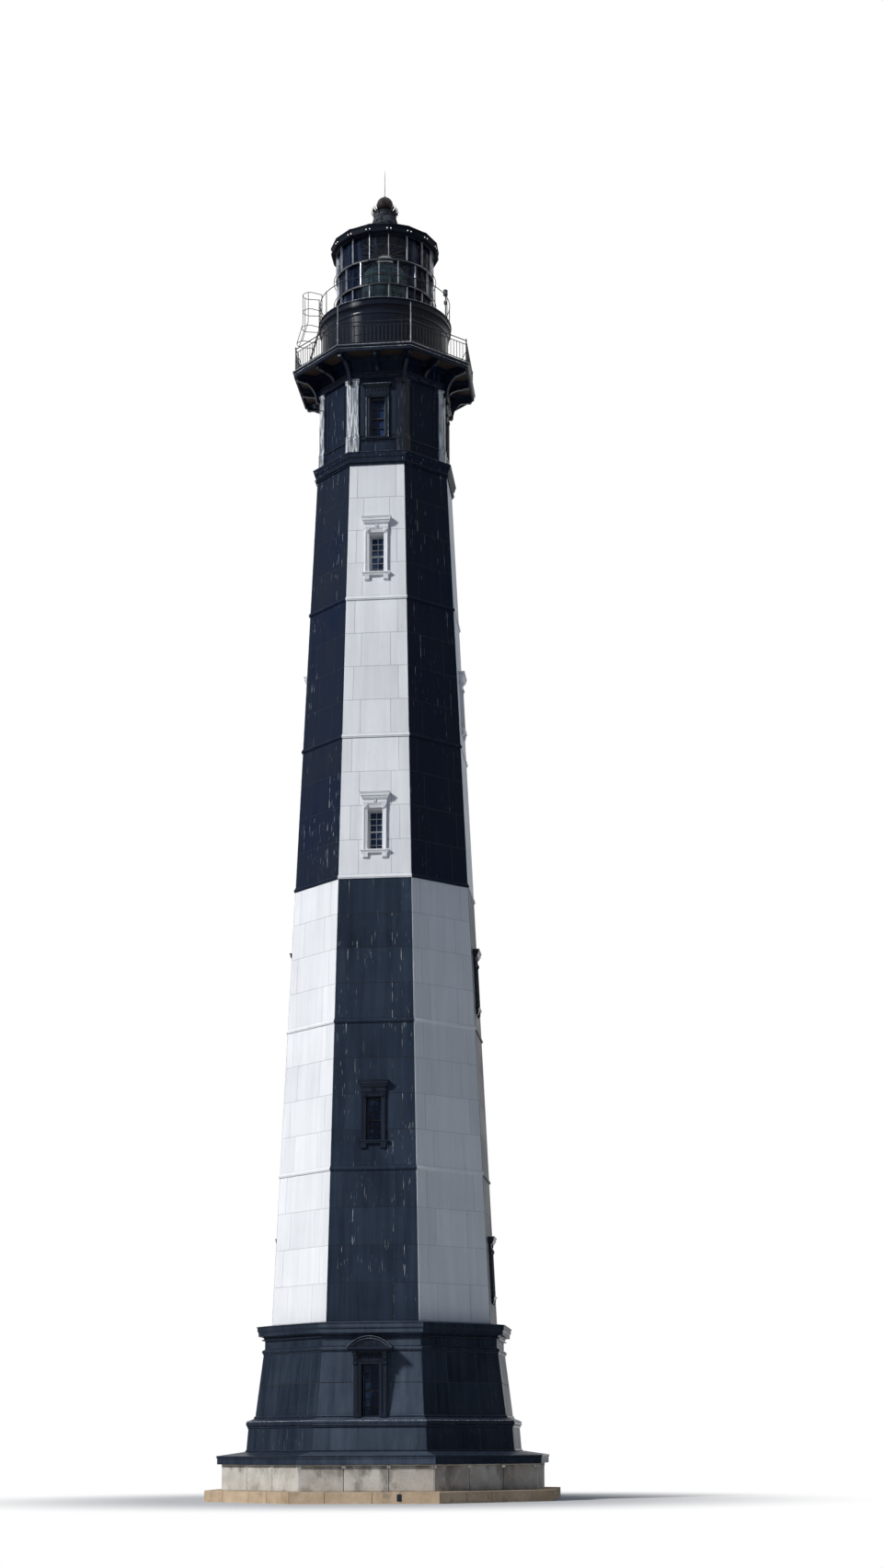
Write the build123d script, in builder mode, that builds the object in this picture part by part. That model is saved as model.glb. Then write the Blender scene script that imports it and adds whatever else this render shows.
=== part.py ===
from build123d import *
import math
import os

# An eight-sided cast-iron lighthouse, made as a half-size model. Lengths are millimetres of the model.
# The origin is on the ground under the tower's axis. The front face looks towards -Y.
# A ring's size is its inradius: the distance from the axis to the middle of a face.

# Faces of the tower and of its lantern
SIDES = 8
LANTERN_SIDES = 16
JOINT = 0.3
FIT = 0.3

# Stone footing
STEP_INRADIUS = 3049
STEP_HEIGHT = 195
PLINTH_INRADIUS = 2755
PLINTH_HEIGHT = 445

# Iron bed plate and lower course
BED_INRADIUS = 2849
BED_EDGE = 145
BED_LIP = 12
BED_LIP_HEIGHT = 38
BED_RISE = 75
COURSE_FOOT_INRADIUS = 2358
COURSE_TOP_INRADIUS = 2324
COURSE_HEIGHT = 425
LEDGE_INRADIUS = 2362
LEDGE_BEVEL = 20
LEDGE_EDGE = 95
LEDGE_RISE = 50

# Battered base wall, its string moulding and its cornice
BASE_FOOT_INRADIUS = 2214
BASE_TOP_INRADIUS = 2077
BASE_HEIGHT = 1135
FOOT_MOULD_PROJECTION = 20
FOOT_MOULD_HEIGHT = 50
STRING_PROJECTION = 32
STRING_HEIGHT = 70
FRIEZE_INRADIUS = 2056
FRIEZE_HEIGHT = 165
BED_MOULD_HEIGHT = 70
BED_MOULD_PROJECTION = 45
CORONA_INRADIUS = 2208
CORONA_HEIGHT = 70
CYMA_HEIGHT = 100
CYMA_PROJECTION = 40
CYMA_BOW = 8
CORNICE_RISE = 35

# Tapered shaft of six tiers
TIERS = 6
TIER_HEIGHT = 2630.5
SHAFT_FOOT_INRADIUS = 1941
SHAFT_TOP_INRADIUS = 1220
WALL = 250
BELT_PROJECTION = 22
BELT_HEIGHT = 70
BELT_FACE_HEIGHT = 42
LANDING_THICKNESS = 30
WATCH_LANDING_SETBACK = 40

# Windows of the shaft
OPENING_WIDTH = 265
OPENING_HEIGHT = 770
OPENING_RISE = 525
SASH_SETBACK = 190
SASH_DEPTH = 30
SASH_STILE = 24
GLASS = 8
ARCHITRAVE_WIDTH = 72
ARCHITRAVE_DEPTH = 45
BACKBAND_WIDTH = 14
BACKBAND_DEPTH = 25
WINDOW_FRIEZE_WIDTH = 435
WINDOW_FRIEZE_HEIGHT = 88
WINDOW_FRIEZE_DEPTH = 50
HOOD_WIDTH = 535
HOOD_DEPTH = 125
HOOD_BED_HEIGHT = 60
HOOD_CORONA_HEIGHT = 38
HOOD_CAP_HEIGHT = 26
HOOD_CAP_PROJECTION = 8
HOOD_BOW = 5
SILL_WIDTH = 523
SILL_HEIGHT = 62
SILL_DEPTH = 70
SILL_BLOCK_WIDTH = 92
SILL_BLOCK_HEIGHT = 90
SILL_BLOCK_DEPTH = 48

# Windows of the base, which stand upright on the ledge
BASE_OPENING_WIDTH = 300
BASE_OPENING_RISE = 15
BASE_JAMB_WIDTH = 137
BASE_SURROUND_PROJECTION = 40
BASE_HEAD_HEIGHT = 225
CONSOLE_WIDTH = 60
CONSOLE_HEIGHT = 220
CONSOLE_DEPTH = 70
PEDIMENT_WIDTH = 765
PEDIMENT_SLAB_HEIGHT = 62
PEDIMENT_RISE = 195
PEDIMENT_DEPTH = 150
PEDIMENT_RIM = 40
PEDIMENT_BEAD = 26
PEDIMENT_BEAD_SETBACK = 24
TYMPANUM_SETBACK = 60

# Watch room under the gallery
WATCH_LEDGE_HEIGHT = 238
WATCH_LEDGE_FOOT_INRADIUS = 1243
WATCH_LEDGE_TOP_INRADIUS = 1294
WATCH_LEDGE_INNER_INRADIUS = 1005
WATCH_BAND_LEAN = 12
WATCH_BAND_STEP = 22
WATCH_BAND_RISE = 30
WATCH_NOSE = 8
WATCH_NOSE_HEIGHT = 32
WATCH_WALL_INRADIUS = 1155
WATCH_DADO_INRADIUS = 1168
WATCH_DADO_HEIGHT = 262
WATCH_SILL_INRADIUS = 1180
WATCH_SILL_HEIGHT = 32
BAND_BEVEL = 6
WATCH_WALL_HEIGHT = 1470
PILASTER_INRADIUS = 1186
PILASTER_LEG = 135
PILASTER_BASE_HEIGHT = 390
PILASTER_BASE_PROJECTION = 16
PILASTER_CAP_HEIGHT = 70
PILASTER_CAP_PROJECTION = 20
WATCH_OPENING_WIDTH = 275
WATCH_OPENING_HEIGHT = 760
WATCH_OPENING_RISE = 45
WATCH_SETBACK = 85
WATCH_HOOD_WIDTH = 530
WATCH_HOOD_DEPTH = 90
WATCH_HOOD_HEIGHT = 62
WATCH_HOOD_STEP = 30
WATCH_FRIEZE_HEIGHT = 120
WATCH_FRIEZE_WIDTH = 440
WATCH_FRIEZE_DEPTH = 36

# Frieze under the gallery, and the gallery
FRIEZE_RING_INRADIUS = 1201
FRIEZE_RING_HEIGHT = 118
FRIEZE_BEAD_HEIGHT = 30
FRIEZE_BEAD_PROJECTION = 14
BRACKET_WALL_INRADIUS = 1172
BRACKET_ZONE_HEIGHT = 215
BRACKET_THICKNESS = 62
BRACKET_TOE = 70
BRACKET_KNEE = 95
BRACKET_FOOT = 55
BRACKET_SEAT = 20
BRACKET_BULGE = 26
BRACKET_HOLLOW = 0.12
CORNER_BRACKET_DROP = 245
DECK_INRADIUS = 1655
DECK_PLATE = 40
DECK_FASCIA = 115
DECK_STEP = 12
FASCIA_THICKNESS = 45
DECK_RIB = 90
RAIL_SETBACK = 40
RAIL_HEIGHT = 460
RAIL_SIZE = 18
SECOND_RAIL_DROP = 75
BOTTOM_RAIL_RISE = 60
BALUSTERS = 17
BALUSTER_SIZE = 12
POST_SIZE = 26
POST_CAP = 30
BRACE_SPREAD = 150
BRACE_HEIGHT = 210
BRACE_SIZE = 14
MAST_HEIGHT = 775
MAST_SIZE = 20

# Service room drum and lantern gallery
DRUM_RADIUS = 1210
DRUM_WALL = 80
DRUM_HEIGHT = 838
DRUM_SEGMENTS = 8
COVE_HEIGHT = 135
COVE_SETBACK = 30
COVE_HOLLOW = 18
LANTERN_DECK_OVERHANG = 55
LANTERN_DECK_HEIGHT = 140
DECK_LIP = 34
DECK_NOSE = 12
LANTERN_RAIL_SETBACK = 25
LANTERN_RAIL_HEIGHT = 450
LANTERN_RAIL_SIZE = 16
LANTERN_POST_SIZE = 18

# Lantern glazing
GLASS_RADIUS = 905
PANE = 10
GLAZING_HEIGHT = 1475
TRANSOM_RISES = (415, 900)
TRANSOM_SIZE = 26
GLAZING_RING_SIZE = 40
BAR_WIDTH = 26
BAR_DEPTH = 34
BAR_RECESS = 4
HANDHOLD_GAP = 32
HANDHOLD_SIZE = 14
HANDHOLD_CLIP = 12

# Lantern roof
CEILING = 24
CEILING_RIB = 22
RIB_CLEARANCE = 2
EAVE_RADIUS = 1030
EAVE_OVERLAP = 40
EAVE_HEIGHT = 150
GUTTER_WIDTH = 66
GUTTER_BEVEL = 14
GUTTER_LIP = 8
GUTTER_LIP_HEIGHT = 24
ROOF_RISE = 415
ROOF_TOP_RADIUS = 310
ROOF_SHELL = 30
COLLAR_HEIGHT = 310
COLLAR_TOP_RADIUS = 200
COLLAR_SETBACK = 12
COLLAR_FOOT_HEIGHT = 60
COLLAR_NECK_HEIGHT = 90
COLLAR_FLARE = 10
SPIKE_RADIUS = 256
SPIKE_DISC_RADIUS = 214
SPIKE_DISC_HEIGHT = 26
SPIKES = 32
SPIKE_SIZE = 8
SPIKE_ROOT = 12
BALL_RADIUS = 158
BALL_NECK_RADIUS = 90
BALL_NECK_HEIGHT = 20
ROD_HEIGHT = 570
ROD_RADIUS = 8
ROD_SIDES = 8

# Lens and the things that stand on the galleries
LENS_STAND_RADIUS = 260
LENS_STAND_HEIGHT = 125
LENS_RADIUS = 460
LENS_END_RADIUS = 300
LENS_SHOULDER_RADIUS = 415
LENS_DRUM_HEIGHT = 480
LENS_DOME_HEIGHT = 300
LENS_CANOPY_HEIGHT = 70
LENS_CHIMNEY_RADIUS = 90
LENS_PIPE_RADIUS = 72
RED_PANE_WIDTH = 220
RED_PANE_HEIGHT = 620
RED_PANE_ANGLE = -31
RED_PANE_OUT = 840
LADDER_ANGLE = -157
LADDER_FOOT_SETBACK = 110
LADDER_WIDTH = 220
LADDER_BAR = 16
LADDER_RUNGS = 12
RUNG_SIZE = 10
HOOP_REACH = 330
HOOPS = 4
HOOP_SIDE = 30
HOOP_SIZE = 12
HOOP_TURN = 30
HOOP_FIRST = 560
STRAP_WIDTH = 18
STRAP_ANGLES = (-60, 0, 60)
LAMP_ANGLE = -12
LAMP_POST_HEIGHT = 470
LAMP_POST_SIZE = 24
LAMP_BOX = 90
LAMP_BOX_HEIGHT = 130
LAMP_CLEARANCE = 2

# Heights of the courses, from the ground up
PLINTH_Z = STEP_HEIGHT
BED_Z = PLINTH_Z + PLINTH_HEIGHT
COURSE_Z = BED_Z + BED_EDGE + BED_RISE
LEDGE_Z = COURSE_Z + COURSE_HEIGHT
BASE_Z = LEDGE_Z + LEDGE_EDGE + LEDGE_RISE
STRING_Z = BASE_Z + BASE_HEIGHT
FRIEZE_Z = STRING_Z + STRING_HEIGHT
CORNICE_Z = FRIEZE_Z + FRIEZE_HEIGHT
CORNICE_LIP_Z = CORNICE_Z + BED_MOULD_HEIGHT + CORONA_HEIGHT + CYMA_HEIGHT
SHAFT_Z = CORNICE_LIP_Z + CORNICE_RISE
WATCH_LEDGE_Z = SHAFT_Z + TIERS * TIER_HEIGHT
WATCH_Z = WATCH_LEDGE_Z + WATCH_LEDGE_HEIGHT
FRIEZE_RING_Z = WATCH_Z + WATCH_WALL_HEIGHT
BRACKET_Z = FRIEZE_RING_Z + FRIEZE_RING_HEIGHT
DECK_UNDERSIDE_Z = BRACKET_Z + BRACKET_ZONE_HEIGHT
DECK_Z = DECK_UNDERSIDE_Z + DECK_FASCIA
COVE_Z = DECK_Z + DRUM_HEIGHT
LANTERN_DECK_UNDERSIDE_Z = COVE_Z + COVE_HEIGHT
LANTERN_Z = LANTERN_DECK_UNDERSIDE_Z + LANTERN_DECK_HEIGHT
CEILING_Z = LANTERN_Z + GLAZING_HEIGHT
EAVE_Z = CEILING_Z - EAVE_OVERLAP
ROOF_Z = EAVE_Z + EAVE_HEIGHT
COLLAR_Z = ROOF_Z + ROOF_RISE
SPIKE_Z = COLLAR_Z + COLLAR_HEIGHT
BALL_Z = SPIKE_Z + SPIKE_DISC_HEIGHT + BALL_NECK_HEIGHT + BALL_RADIUS

# Sizes that follow from the ones above
HALF_FACE = 180 / SIDES
CORNER = 1 / math.cos(math.radians(HALF_FACE))
BASE_INNER_INRADIUS = SHAFT_FOOT_INRADIUS - WALL
BASE_OPENING_HEIGHT = BASE_HEIGHT - BASE_HEAD_HEIGHT - 2 * BASE_OPENING_RISE
TIER_TAPER = (SHAFT_FOOT_INRADIUS - SHAFT_TOP_INRADIUS) / TIERS
SHAFT_LEAN = math.degrees(math.atan(TIER_TAPER / TIER_HEIGHT))
LANTERN_DECK_RADIUS = DRUM_RADIUS + LANTERN_DECK_OVERHANG
LANTERN_RAIL_RADIUS = LANTERN_DECK_RADIUS - LANTERN_RAIL_SETBACK
LADDER_FOOT_OUT = DECK_INRADIUS - LADDER_FOOT_SETBACK
FRONT_AND_BACK = 90
LEFT_AND_RIGHT = 0
LENS_Z = LANTERN_Z + LENS_STAND_HEIGHT
LENS_TOP_Z = LENS_Z + LENS_DRUM_HEIGHT + 2 * LENS_DOME_HEIGHT
WATCH_SILL_Z = WATCH_Z + WATCH_DADO_HEIGHT + WATCH_SILL_HEIGHT

os.makedirs("parts", exist_ok=True)


def shaft_inradius(height):
    """Inradius of the shaft's outer faces at a height."""
    return SHAFT_FOOT_INRADIUS - TIER_TAPER * (height - SHAFT_Z) / TIER_HEIGHT


def keep_sector(half_angle, joint=0.0):
    """Keep what lies within half_angle of +X, less half a joint at each end."""
    turn = math.radians(half_angle)
    for side in (1, -1):
        inward = Vector(math.sin(turn), -side * math.cos(turn), 0)
        split(bisect_by=Plane(origin=inward * (joint / 2), z_dir=inward), keep=Keep.TOP)


def draw_cyma(start, end, bow):
    """An S-shaped moulding line: two equal arcs that bow to opposite sides."""
    middle = ((start[0] + end[0]) / 2, (start[1] + end[1]) / 2)
    SagittaArc(start, middle, bow)
    SagittaArc(middle, end, -bow)


def mitred_face(outline, sides=SIDES, joint=0.0):
    """One straight face of a ring, centred on +X and mitred at both corners.

    The outline is a list of inradius and height pairs, or a function that draws it.
    """
    with BuildPart() as face:
        with BuildSketch(Plane.XZ):
            with BuildLine():
                if callable(outline):
                    outline()
                else:
                    Polyline(*outline, close=True)
            make_face()
        extrude(amount=STEP_INRADIUS, both=True)
        keep_sector(180 / sides, joint)
    return face.part


def write(name, part):
    """Label a finished piece and write it under the same name."""
    part.label = name
    export_step(part, f"parts/{name}.step")


def octagon(height, inradius):
    """A sketch of the tower's plan at a height."""
    with BuildSketch(Plane.XY.offset(height)) as plan:
        RegularPolygon(inradius, SIDES, major_radius=False, rotation=HALF_FACE)
    return plan.sketch


def wall_places(inradius, height, lean, start, count):
    """Places on the outer faces of a ring: x out of the wall, y along it and z up it."""
    on_wall = Location((inradius, 0, height), (0, -lean, 0))
    return [Location((0, 0, 0), (0, 0, start + 360 * k / count)) * on_wall for k in range(count)]


def tier_window_places(tier):
    """Places of the two windows of a tier, at the foot of the opening."""
    height = SHAFT_Z + (tier - 1) * TIER_HEIGHT + OPENING_RISE
    start = FRONT_AND_BACK if tier % 2 == 0 else LEFT_AND_RIGHT
    return wall_places(shaft_inradius(height), height, SHAFT_LEAN, start, 2)


def cut_windows(places, width, height, reach):
    """Cut a window opening through the wall at each place."""
    with Locations(*places):
        Box(
            2 * reach,
            width,
            height,
            align=(Align.CENTER, Align.CENTER, Align.MIN),
            mode=Mode.SUBTRACT,
        )


def standing_block(width, height, depth, foot=0.0, middle=0.0):
    """A block on a wall, from the wall's face outwards."""
    with Locations((0, middle, foot)):
        Box(depth, width, height, align=(Align.MIN, Align.CENTER, Align.MIN))


# Stone step and plinth
with BuildPart() as stone_step:
    add(octagon(0, STEP_INRADIUS))
    extrude(amount=STEP_HEIGHT)
write("stone_step", stone_step.part)

with BuildPart() as stone_plinth:
    add(octagon(PLINTH_Z, PLINTH_INRADIUS))
    extrude(amount=PLINTH_HEIGHT)
write("stone_plinth", stone_plinth.part)

# Iron bed plate: an upright edge under a lip, then a slope up to the foot of the lower course
with BuildPart() as bed_plate:
    add(octagon(BED_Z, BED_INRADIUS - BED_LIP))
    extrude(amount=BED_EDGE - BED_LIP_HEIGHT)
    add(octagon(BED_Z + BED_EDGE - BED_LIP_HEIGHT, BED_INRADIUS))
    extrude(amount=BED_LIP_HEIGHT)
    add(octagon(BED_Z + BED_EDGE, BED_INRADIUS))
    bed_slope = math.degrees(math.atan((BED_INRADIUS - COURSE_FOOT_INRADIUS) / BED_RISE))
    extrude(amount=BED_RISE, taper=bed_slope)
write("bed_plate", bed_plate.part)

# Lower course with its projecting ledge
lower_course_face = mitred_face(
    [
        (BASE_INNER_INRADIUS, COURSE_Z),
        (COURSE_FOOT_INRADIUS, COURSE_Z),
        (COURSE_TOP_INRADIUS, LEDGE_Z),
        (LEDGE_INRADIUS - LEDGE_BEVEL, LEDGE_Z),
        (LEDGE_INRADIUS, LEDGE_Z + LEDGE_BEVEL),
        (LEDGE_INRADIUS, LEDGE_Z + LEDGE_EDGE),
        (BASE_FOOT_INRADIUS + FOOT_MOULD_PROJECTION, BASE_Z),
        (BASE_INNER_INRADIUS, BASE_Z),
    ],
    joint=JOINT,
)
with BuildPart() as lower_course:
    with PolarLocations(0, SIDES):
        add(lower_course_face)
write("lower_course", lower_course.part)



def draw_base_face():
    """Foot moulding, battered wall and the rolled string at its head."""
    foot = BASE_FOOT_INRADIUS + FOOT_MOULD_PROJECTION
    mould_z = BASE_Z + FOOT_MOULD_HEIGHT
    batter = (BASE_FOOT_INRADIUS - BASE_TOP_INRADIUS) / BASE_HEIGHT
    string_foot = (BASE_TOP_INRADIUS, STRING_Z)
    string_nose = (BASE_TOP_INRADIUS + STRING_PROJECTION, (STRING_Z + FRIEZE_Z) / 2)
    string_top = (BASE_TOP_INRADIUS, FRIEZE_Z)
    ThreePointArc(string_foot, string_nose, string_top)
    Polyline(
        string_top,
        (BASE_INNER_INRADIUS, FRIEZE_Z),
        (BASE_INNER_INRADIUS, BASE_Z),
        (foot, BASE_Z),
        (foot, mould_z - FOOT_MOULD_PROJECTION),
        (BASE_FOOT_INRADIUS - batter * FOOT_MOULD_HEIGHT, mould_z),
        string_foot,
    )


# Battered base wall with its foot moulding and its string
base_face = mitred_face(draw_base_face, joint=JOINT)
base_opening_z = BASE_Z + BASE_OPENING_RISE
base_opening_places = wall_places(BASE_FOOT_INRADIUS, base_opening_z, 0, FRONT_AND_BACK, 2)
with BuildPart() as base_wall:
    with PolarLocations(0, SIDES):
        add(base_face)
    cut_windows(
        base_opening_places,
        BASE_OPENING_WIDTH,
        BASE_OPENING_HEIGHT,
        BASE_FOOT_INRADIUS - BASE_INNER_INRADIUS + WALL,
    )
write("base_wall", base_wall.part)


def draw_base_cornice():
    """Frieze, bed moulding, corona and cyma of the base, then a slope up to the shaft."""
    bed_z = CORNICE_Z + BED_MOULD_HEIGHT
    cyma_z = bed_z + CORONA_HEIGHT
    corona_out = CORONA_INRADIUS - CYMA_PROJECTION
    Polyline(
        (FRIEZE_INRADIUS, CORNICE_Z),
        (FRIEZE_INRADIUS, FRIEZE_Z),
        (BASE_INNER_INRADIUS, FRIEZE_Z),
        (BASE_INNER_INRADIUS, SHAFT_Z),
        (SHAFT_FOOT_INRADIUS, SHAFT_Z),
        (CORONA_INRADIUS, CORNICE_LIP_Z),
    )
    draw_cyma((CORONA_INRADIUS, CORNICE_LIP_Z), (corona_out, cyma_z), -CYMA_BOW)
    Polyline(
        (corona_out, cyma_z),
        (corona_out, bed_z),
        (FRIEZE_INRADIUS + BED_MOULD_PROJECTION, bed_z),
        (FRIEZE_INRADIUS, CORNICE_Z),
    )


base_cornice_face = mitred_face(draw_base_cornice, joint=JOINT)
with BuildPart() as base_cornice:
    with PolarLocations(0, SIDES):
        add(base_cornice_face)
write("base_cornice", base_cornice.part)


# Surround of a base window: upright jambs, a panelled head, consoles and a round-topped pediment
def draw_pediment(radius_cut):
    """A segment of a circle over a chord, drawn inwards by radius_cut."""
    half = PEDIMENT_WIDTH / 2 - radius_cut
    ThreePointArc((-half, 0), (0, PEDIMENT_RISE - radius_cut), (half, 0))
    Line((half, 0), (-half, 0))


base_front = BASE_SURROUND_PROJECTION
base_head_z = BASE_OPENING_HEIGHT
pediment_z = base_head_z + BASE_HEAD_HEIGHT
surround_height = pediment_z + BASE_OPENING_RISE
with BuildPart() as console:
    with BuildSketch(Plane.XZ):
        with BuildLine():
            Polyline(
                (base_front + CONSOLE_DEPTH, -CONSOLE_DEPTH),
                (base_front + CONSOLE_DEPTH, 0),
                (base_front - CONSOLE_DEPTH / 2, 0),
                (base_front - CONSOLE_DEPTH / 2, -CONSOLE_HEIGHT),
                (base_front + CONSOLE_DEPTH / 4, -CONSOLE_HEIGHT),
            )
            SagittaArc(
                (base_front + CONSOLE_DEPTH / 4, -CONSOLE_HEIGHT),
                (base_front + CONSOLE_DEPTH, -CONSOLE_DEPTH),
                CONSOLE_DEPTH / 5,
            )
        make_face()
    extrude(amount=CONSOLE_WIDTH / 2, both=True)
with BuildPart() as base_surround:
    jamb_middle = (BASE_OPENING_WIDTH + BASE_JAMB_WIDTH) / 2
    for side in (1, -1):
        standing_block(BASE_JAMB_WIDTH, surround_height, base_front, -BASE_OPENING_RISE, side * jamb_middle)
    standing_block(BASE_OPENING_WIDTH, BASE_HEAD_HEIGHT, base_front, base_head_z)
    with BuildSketch(Plane.YZ):
        with Locations((0, (pediment_z - BASE_OPENING_RISE) / 2)):
            Rectangle(BASE_OPENING_WIDTH + 2 * BASE_JAMB_WIDTH, surround_height)
        with Locations((0, (base_head_z - BASE_OPENING_RISE) / 2)):
            Rectangle(BASE_OPENING_WIDTH, base_head_z + BASE_OPENING_RISE, mode=Mode.SUBTRACT)
    extrude(amount=-WALL)
    console_y = BASE_OPENING_WIDTH / 2 + BASE_JAMB_WIDTH - CONSOLE_WIDTH / 2
    for side in (1, -1):
        add(console.part.moved(Location((0, side * console_y, pediment_z))))
    standing_block(
        PEDIMENT_WIDTH,
        PEDIMENT_SLAB_HEIGHT,
        base_front + PEDIMENT_DEPTH,
        pediment_z,
    )
    with BuildSketch(Plane.YZ):
        with Locations((0, pediment_z + PEDIMENT_SLAB_HEIGHT / 2)):
            Rectangle(PEDIMENT_WIDTH, PEDIMENT_SLAB_HEIGHT)
    extrude(amount=-WALL)
    with BuildSketch(Plane.YZ.offset(-WALL)):
        with Locations((0, pediment_z + PEDIMENT_SLAB_HEIGHT)):
            with BuildLine():
                draw_pediment(0)
            make_face()
    extrude(amount=WALL + base_front + PEDIMENT_DEPTH)
    for rim, setback in (
        (PEDIMENT_RIM, PEDIMENT_BEAD_SETBACK),
        (PEDIMENT_RIM + PEDIMENT_BEAD, TYMPANUM_SETBACK),
    ):
        with BuildSketch(Plane.YZ.offset(base_front + PEDIMENT_DEPTH)):
            with Locations((0, pediment_z + PEDIMENT_SLAB_HEIGHT)):
                with BuildLine():
                    draw_pediment(rim)
                make_face()
        extrude(amount=-setback, mode=Mode.SUBTRACT)
    to_wall = Location((BASE_FOOT_INRADIUS, 0, base_opening_z)).inverse()
    add(base_face.moved(to_wall), mode=Mode.SUBTRACT)
    add(base_cornice_face.moved(to_wall), mode=Mode.SUBTRACT)
    add(lower_course_face.moved(to_wall), mode=Mode.SUBTRACT)
with BuildPart() as base_window_surrounds:
    with Locations(*base_opening_places):
        add(base_surround.part)
write("base_window_surrounds", base_window_surrounds.part)


# Six tiers of wall plates. The faces that look along X and Y carry the windows.
def tier_face(tier):
    """One face of a tier, with the belt at its foot. The lowest tier has no belt."""
    foot = SHAFT_Z + (tier - 1) * TIER_HEIGHT
    top = foot + TIER_HEIGHT
    belt = BELT_PROJECTION if tier > 1 else 0
    return mitred_face(
        [
            (shaft_inradius(foot) - WALL, foot),
            (shaft_inradius(foot) + belt, foot),
            (shaft_inradius(foot) + belt, foot + BELT_FACE_HEIGHT),
            (shaft_inradius(foot + BELT_HEIGHT), foot + BELT_HEIGHT),
            (shaft_inradius(top), top),
            (shaft_inradius(top) - WALL, top),
        ]
    )


for tier in range(1, TIERS + 1):
    face = tier_face(tier)
    with BuildPart() as window_plates:
        with PolarLocations(0, SIDES // 2):
            add(face)
        cut_windows(tier_window_places(tier), OPENING_WIDTH, OPENING_HEIGHT, 2 * WALL)
    write(f"tier_{tier}_window_side_plates", window_plates.part)
    with BuildPart() as plain_plates:
        with PolarLocations(0, SIDES // 2, start_angle=360 / SIDES):
            add(face)
    write(f"tier_{tier}_diagonal_plates", plain_plates.part)

# Floor plates: one at the foot of each tier and one under the watch room
with BuildPart() as landings:
    for level in range(TIERS):
        foot = SHAFT_Z + level * TIER_HEIGHT
        add(octagon(foot, shaft_inradius(foot) - WALL - FIT))
        extrude(amount=LANDING_THICKNESS, taper=SHAFT_LEAN)
    add(octagon(WATCH_LEDGE_Z, SHAFT_TOP_INRADIUS - WATCH_LANDING_SETBACK))
    extrude(amount=LANDING_THICKNESS)
write("landings", landings.part)

# Moulding under a window hood: the same cyma on its front and on both its ends
hood_front = HOOD_DEPTH - HOOD_CAP_PROJECTION
hood_half = HOOD_WIDTH / 2
hood_foot_half = WINDOW_FRIEZE_WIDTH / 2
with BuildPart() as hood_bed:
    with BuildSketch(Plane.XZ):
        with BuildLine():
            Polyline((WINDOW_FRIEZE_DEPTH, 0), (0, 0), (0, HOOD_BED_HEIGHT), (hood_front, HOOD_BED_HEIGHT))
            draw_cyma((hood_front, HOOD_BED_HEIGHT), (WINDOW_FRIEZE_DEPTH, 0), HOOD_BOW)
        make_face()
    extrude(amount=HOOD_WIDTH, both=True)
    with BuildSketch(Plane.YZ):
        with BuildLine():
            Line((-hood_foot_half, 0), (hood_foot_half, 0))
            draw_cyma((hood_foot_half, 0), (hood_half, HOOD_BED_HEIGHT), HOOD_BOW)
            Line((hood_half, HOOD_BED_HEIGHT), (-hood_half, HOOD_BED_HEIGHT))
            draw_cyma((-hood_half, HOOD_BED_HEIGHT), (-hood_foot_half, 0), -HOOD_BOW)
        make_face()
    extrude(amount=HOOD_DEPTH, mode=Mode.INTERSECT)

# Cast surround of a shaft window, on a wall face at x = 0
with BuildPart() as shaft_surround:
    frame_width = OPENING_WIDTH + 2 * ARCHITRAVE_WIDTH
    frame_height = OPENING_HEIGHT + ARCHITRAVE_WIDTH
    with BuildSketch(Plane.YZ):
        with Locations((0, frame_height / 2)):
            Rectangle(frame_width, frame_height)
        with Locations((0, OPENING_HEIGHT / 2)):
            Rectangle(OPENING_WIDTH, OPENING_HEIGHT, mode=Mode.SUBTRACT)
    extrude(amount=ARCHITRAVE_DEPTH)
    with BuildSketch(Plane.YZ):
        with Locations((0, frame_height / 2)):
            Rectangle(frame_width + 2 * BACKBAND_WIDTH, frame_height)
            Rectangle(frame_width, frame_height, mode=Mode.SUBTRACT)
    extrude(amount=BACKBAND_DEPTH)
    standing_block(WINDOW_FRIEZE_WIDTH, WINDOW_FRIEZE_HEIGHT, WINDOW_FRIEZE_DEPTH, frame_height)
    hood_z = frame_height + WINDOW_FRIEZE_HEIGHT
    add(hood_bed.part.moved(Location((0, 0, hood_z))))
    standing_block(HOOD_WIDTH, HOOD_CORONA_HEIGHT, hood_front, hood_z + HOOD_BED_HEIGHT)
    cap_z = hood_z + HOOD_BED_HEIGHT + HOOD_CORONA_HEIGHT
    standing_block(HOOD_WIDTH + 2 * HOOD_CAP_PROJECTION, HOOD_CAP_HEIGHT, HOOD_DEPTH, cap_z)
    standing_block(SILL_WIDTH, SILL_HEIGHT, SILL_DEPTH, -SILL_HEIGHT)
    block_y = (frame_width - SILL_BLOCK_WIDTH) / 2 + BACKBAND_WIDTH
    for side in (1, -1):
        standing_block(
            SILL_BLOCK_WIDTH,
            SILL_BLOCK_HEIGHT,
            SILL_BLOCK_DEPTH,
            -SILL_HEIGHT - SILL_BLOCK_HEIGHT,
            side * block_y,
        )
    split(bisect_by=Plane.YZ, keep=Keep.TOP)

white_places = [place for tier in (4, 5, 6) for place in tier_window_places(tier)]
black_places = [place for tier in (1, 2, 3) for place in tier_window_places(tier)]
with BuildPart() as white_window_surrounds:
    with Locations(*white_places):
        add(shaft_surround.part)
write("white_window_surrounds", white_window_surrounds.part)
with BuildPart() as black_window_surrounds:
    with Locations(*black_places):
        add(shaft_surround.part)
write("black_window_surrounds", black_window_surrounds.part)


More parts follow.
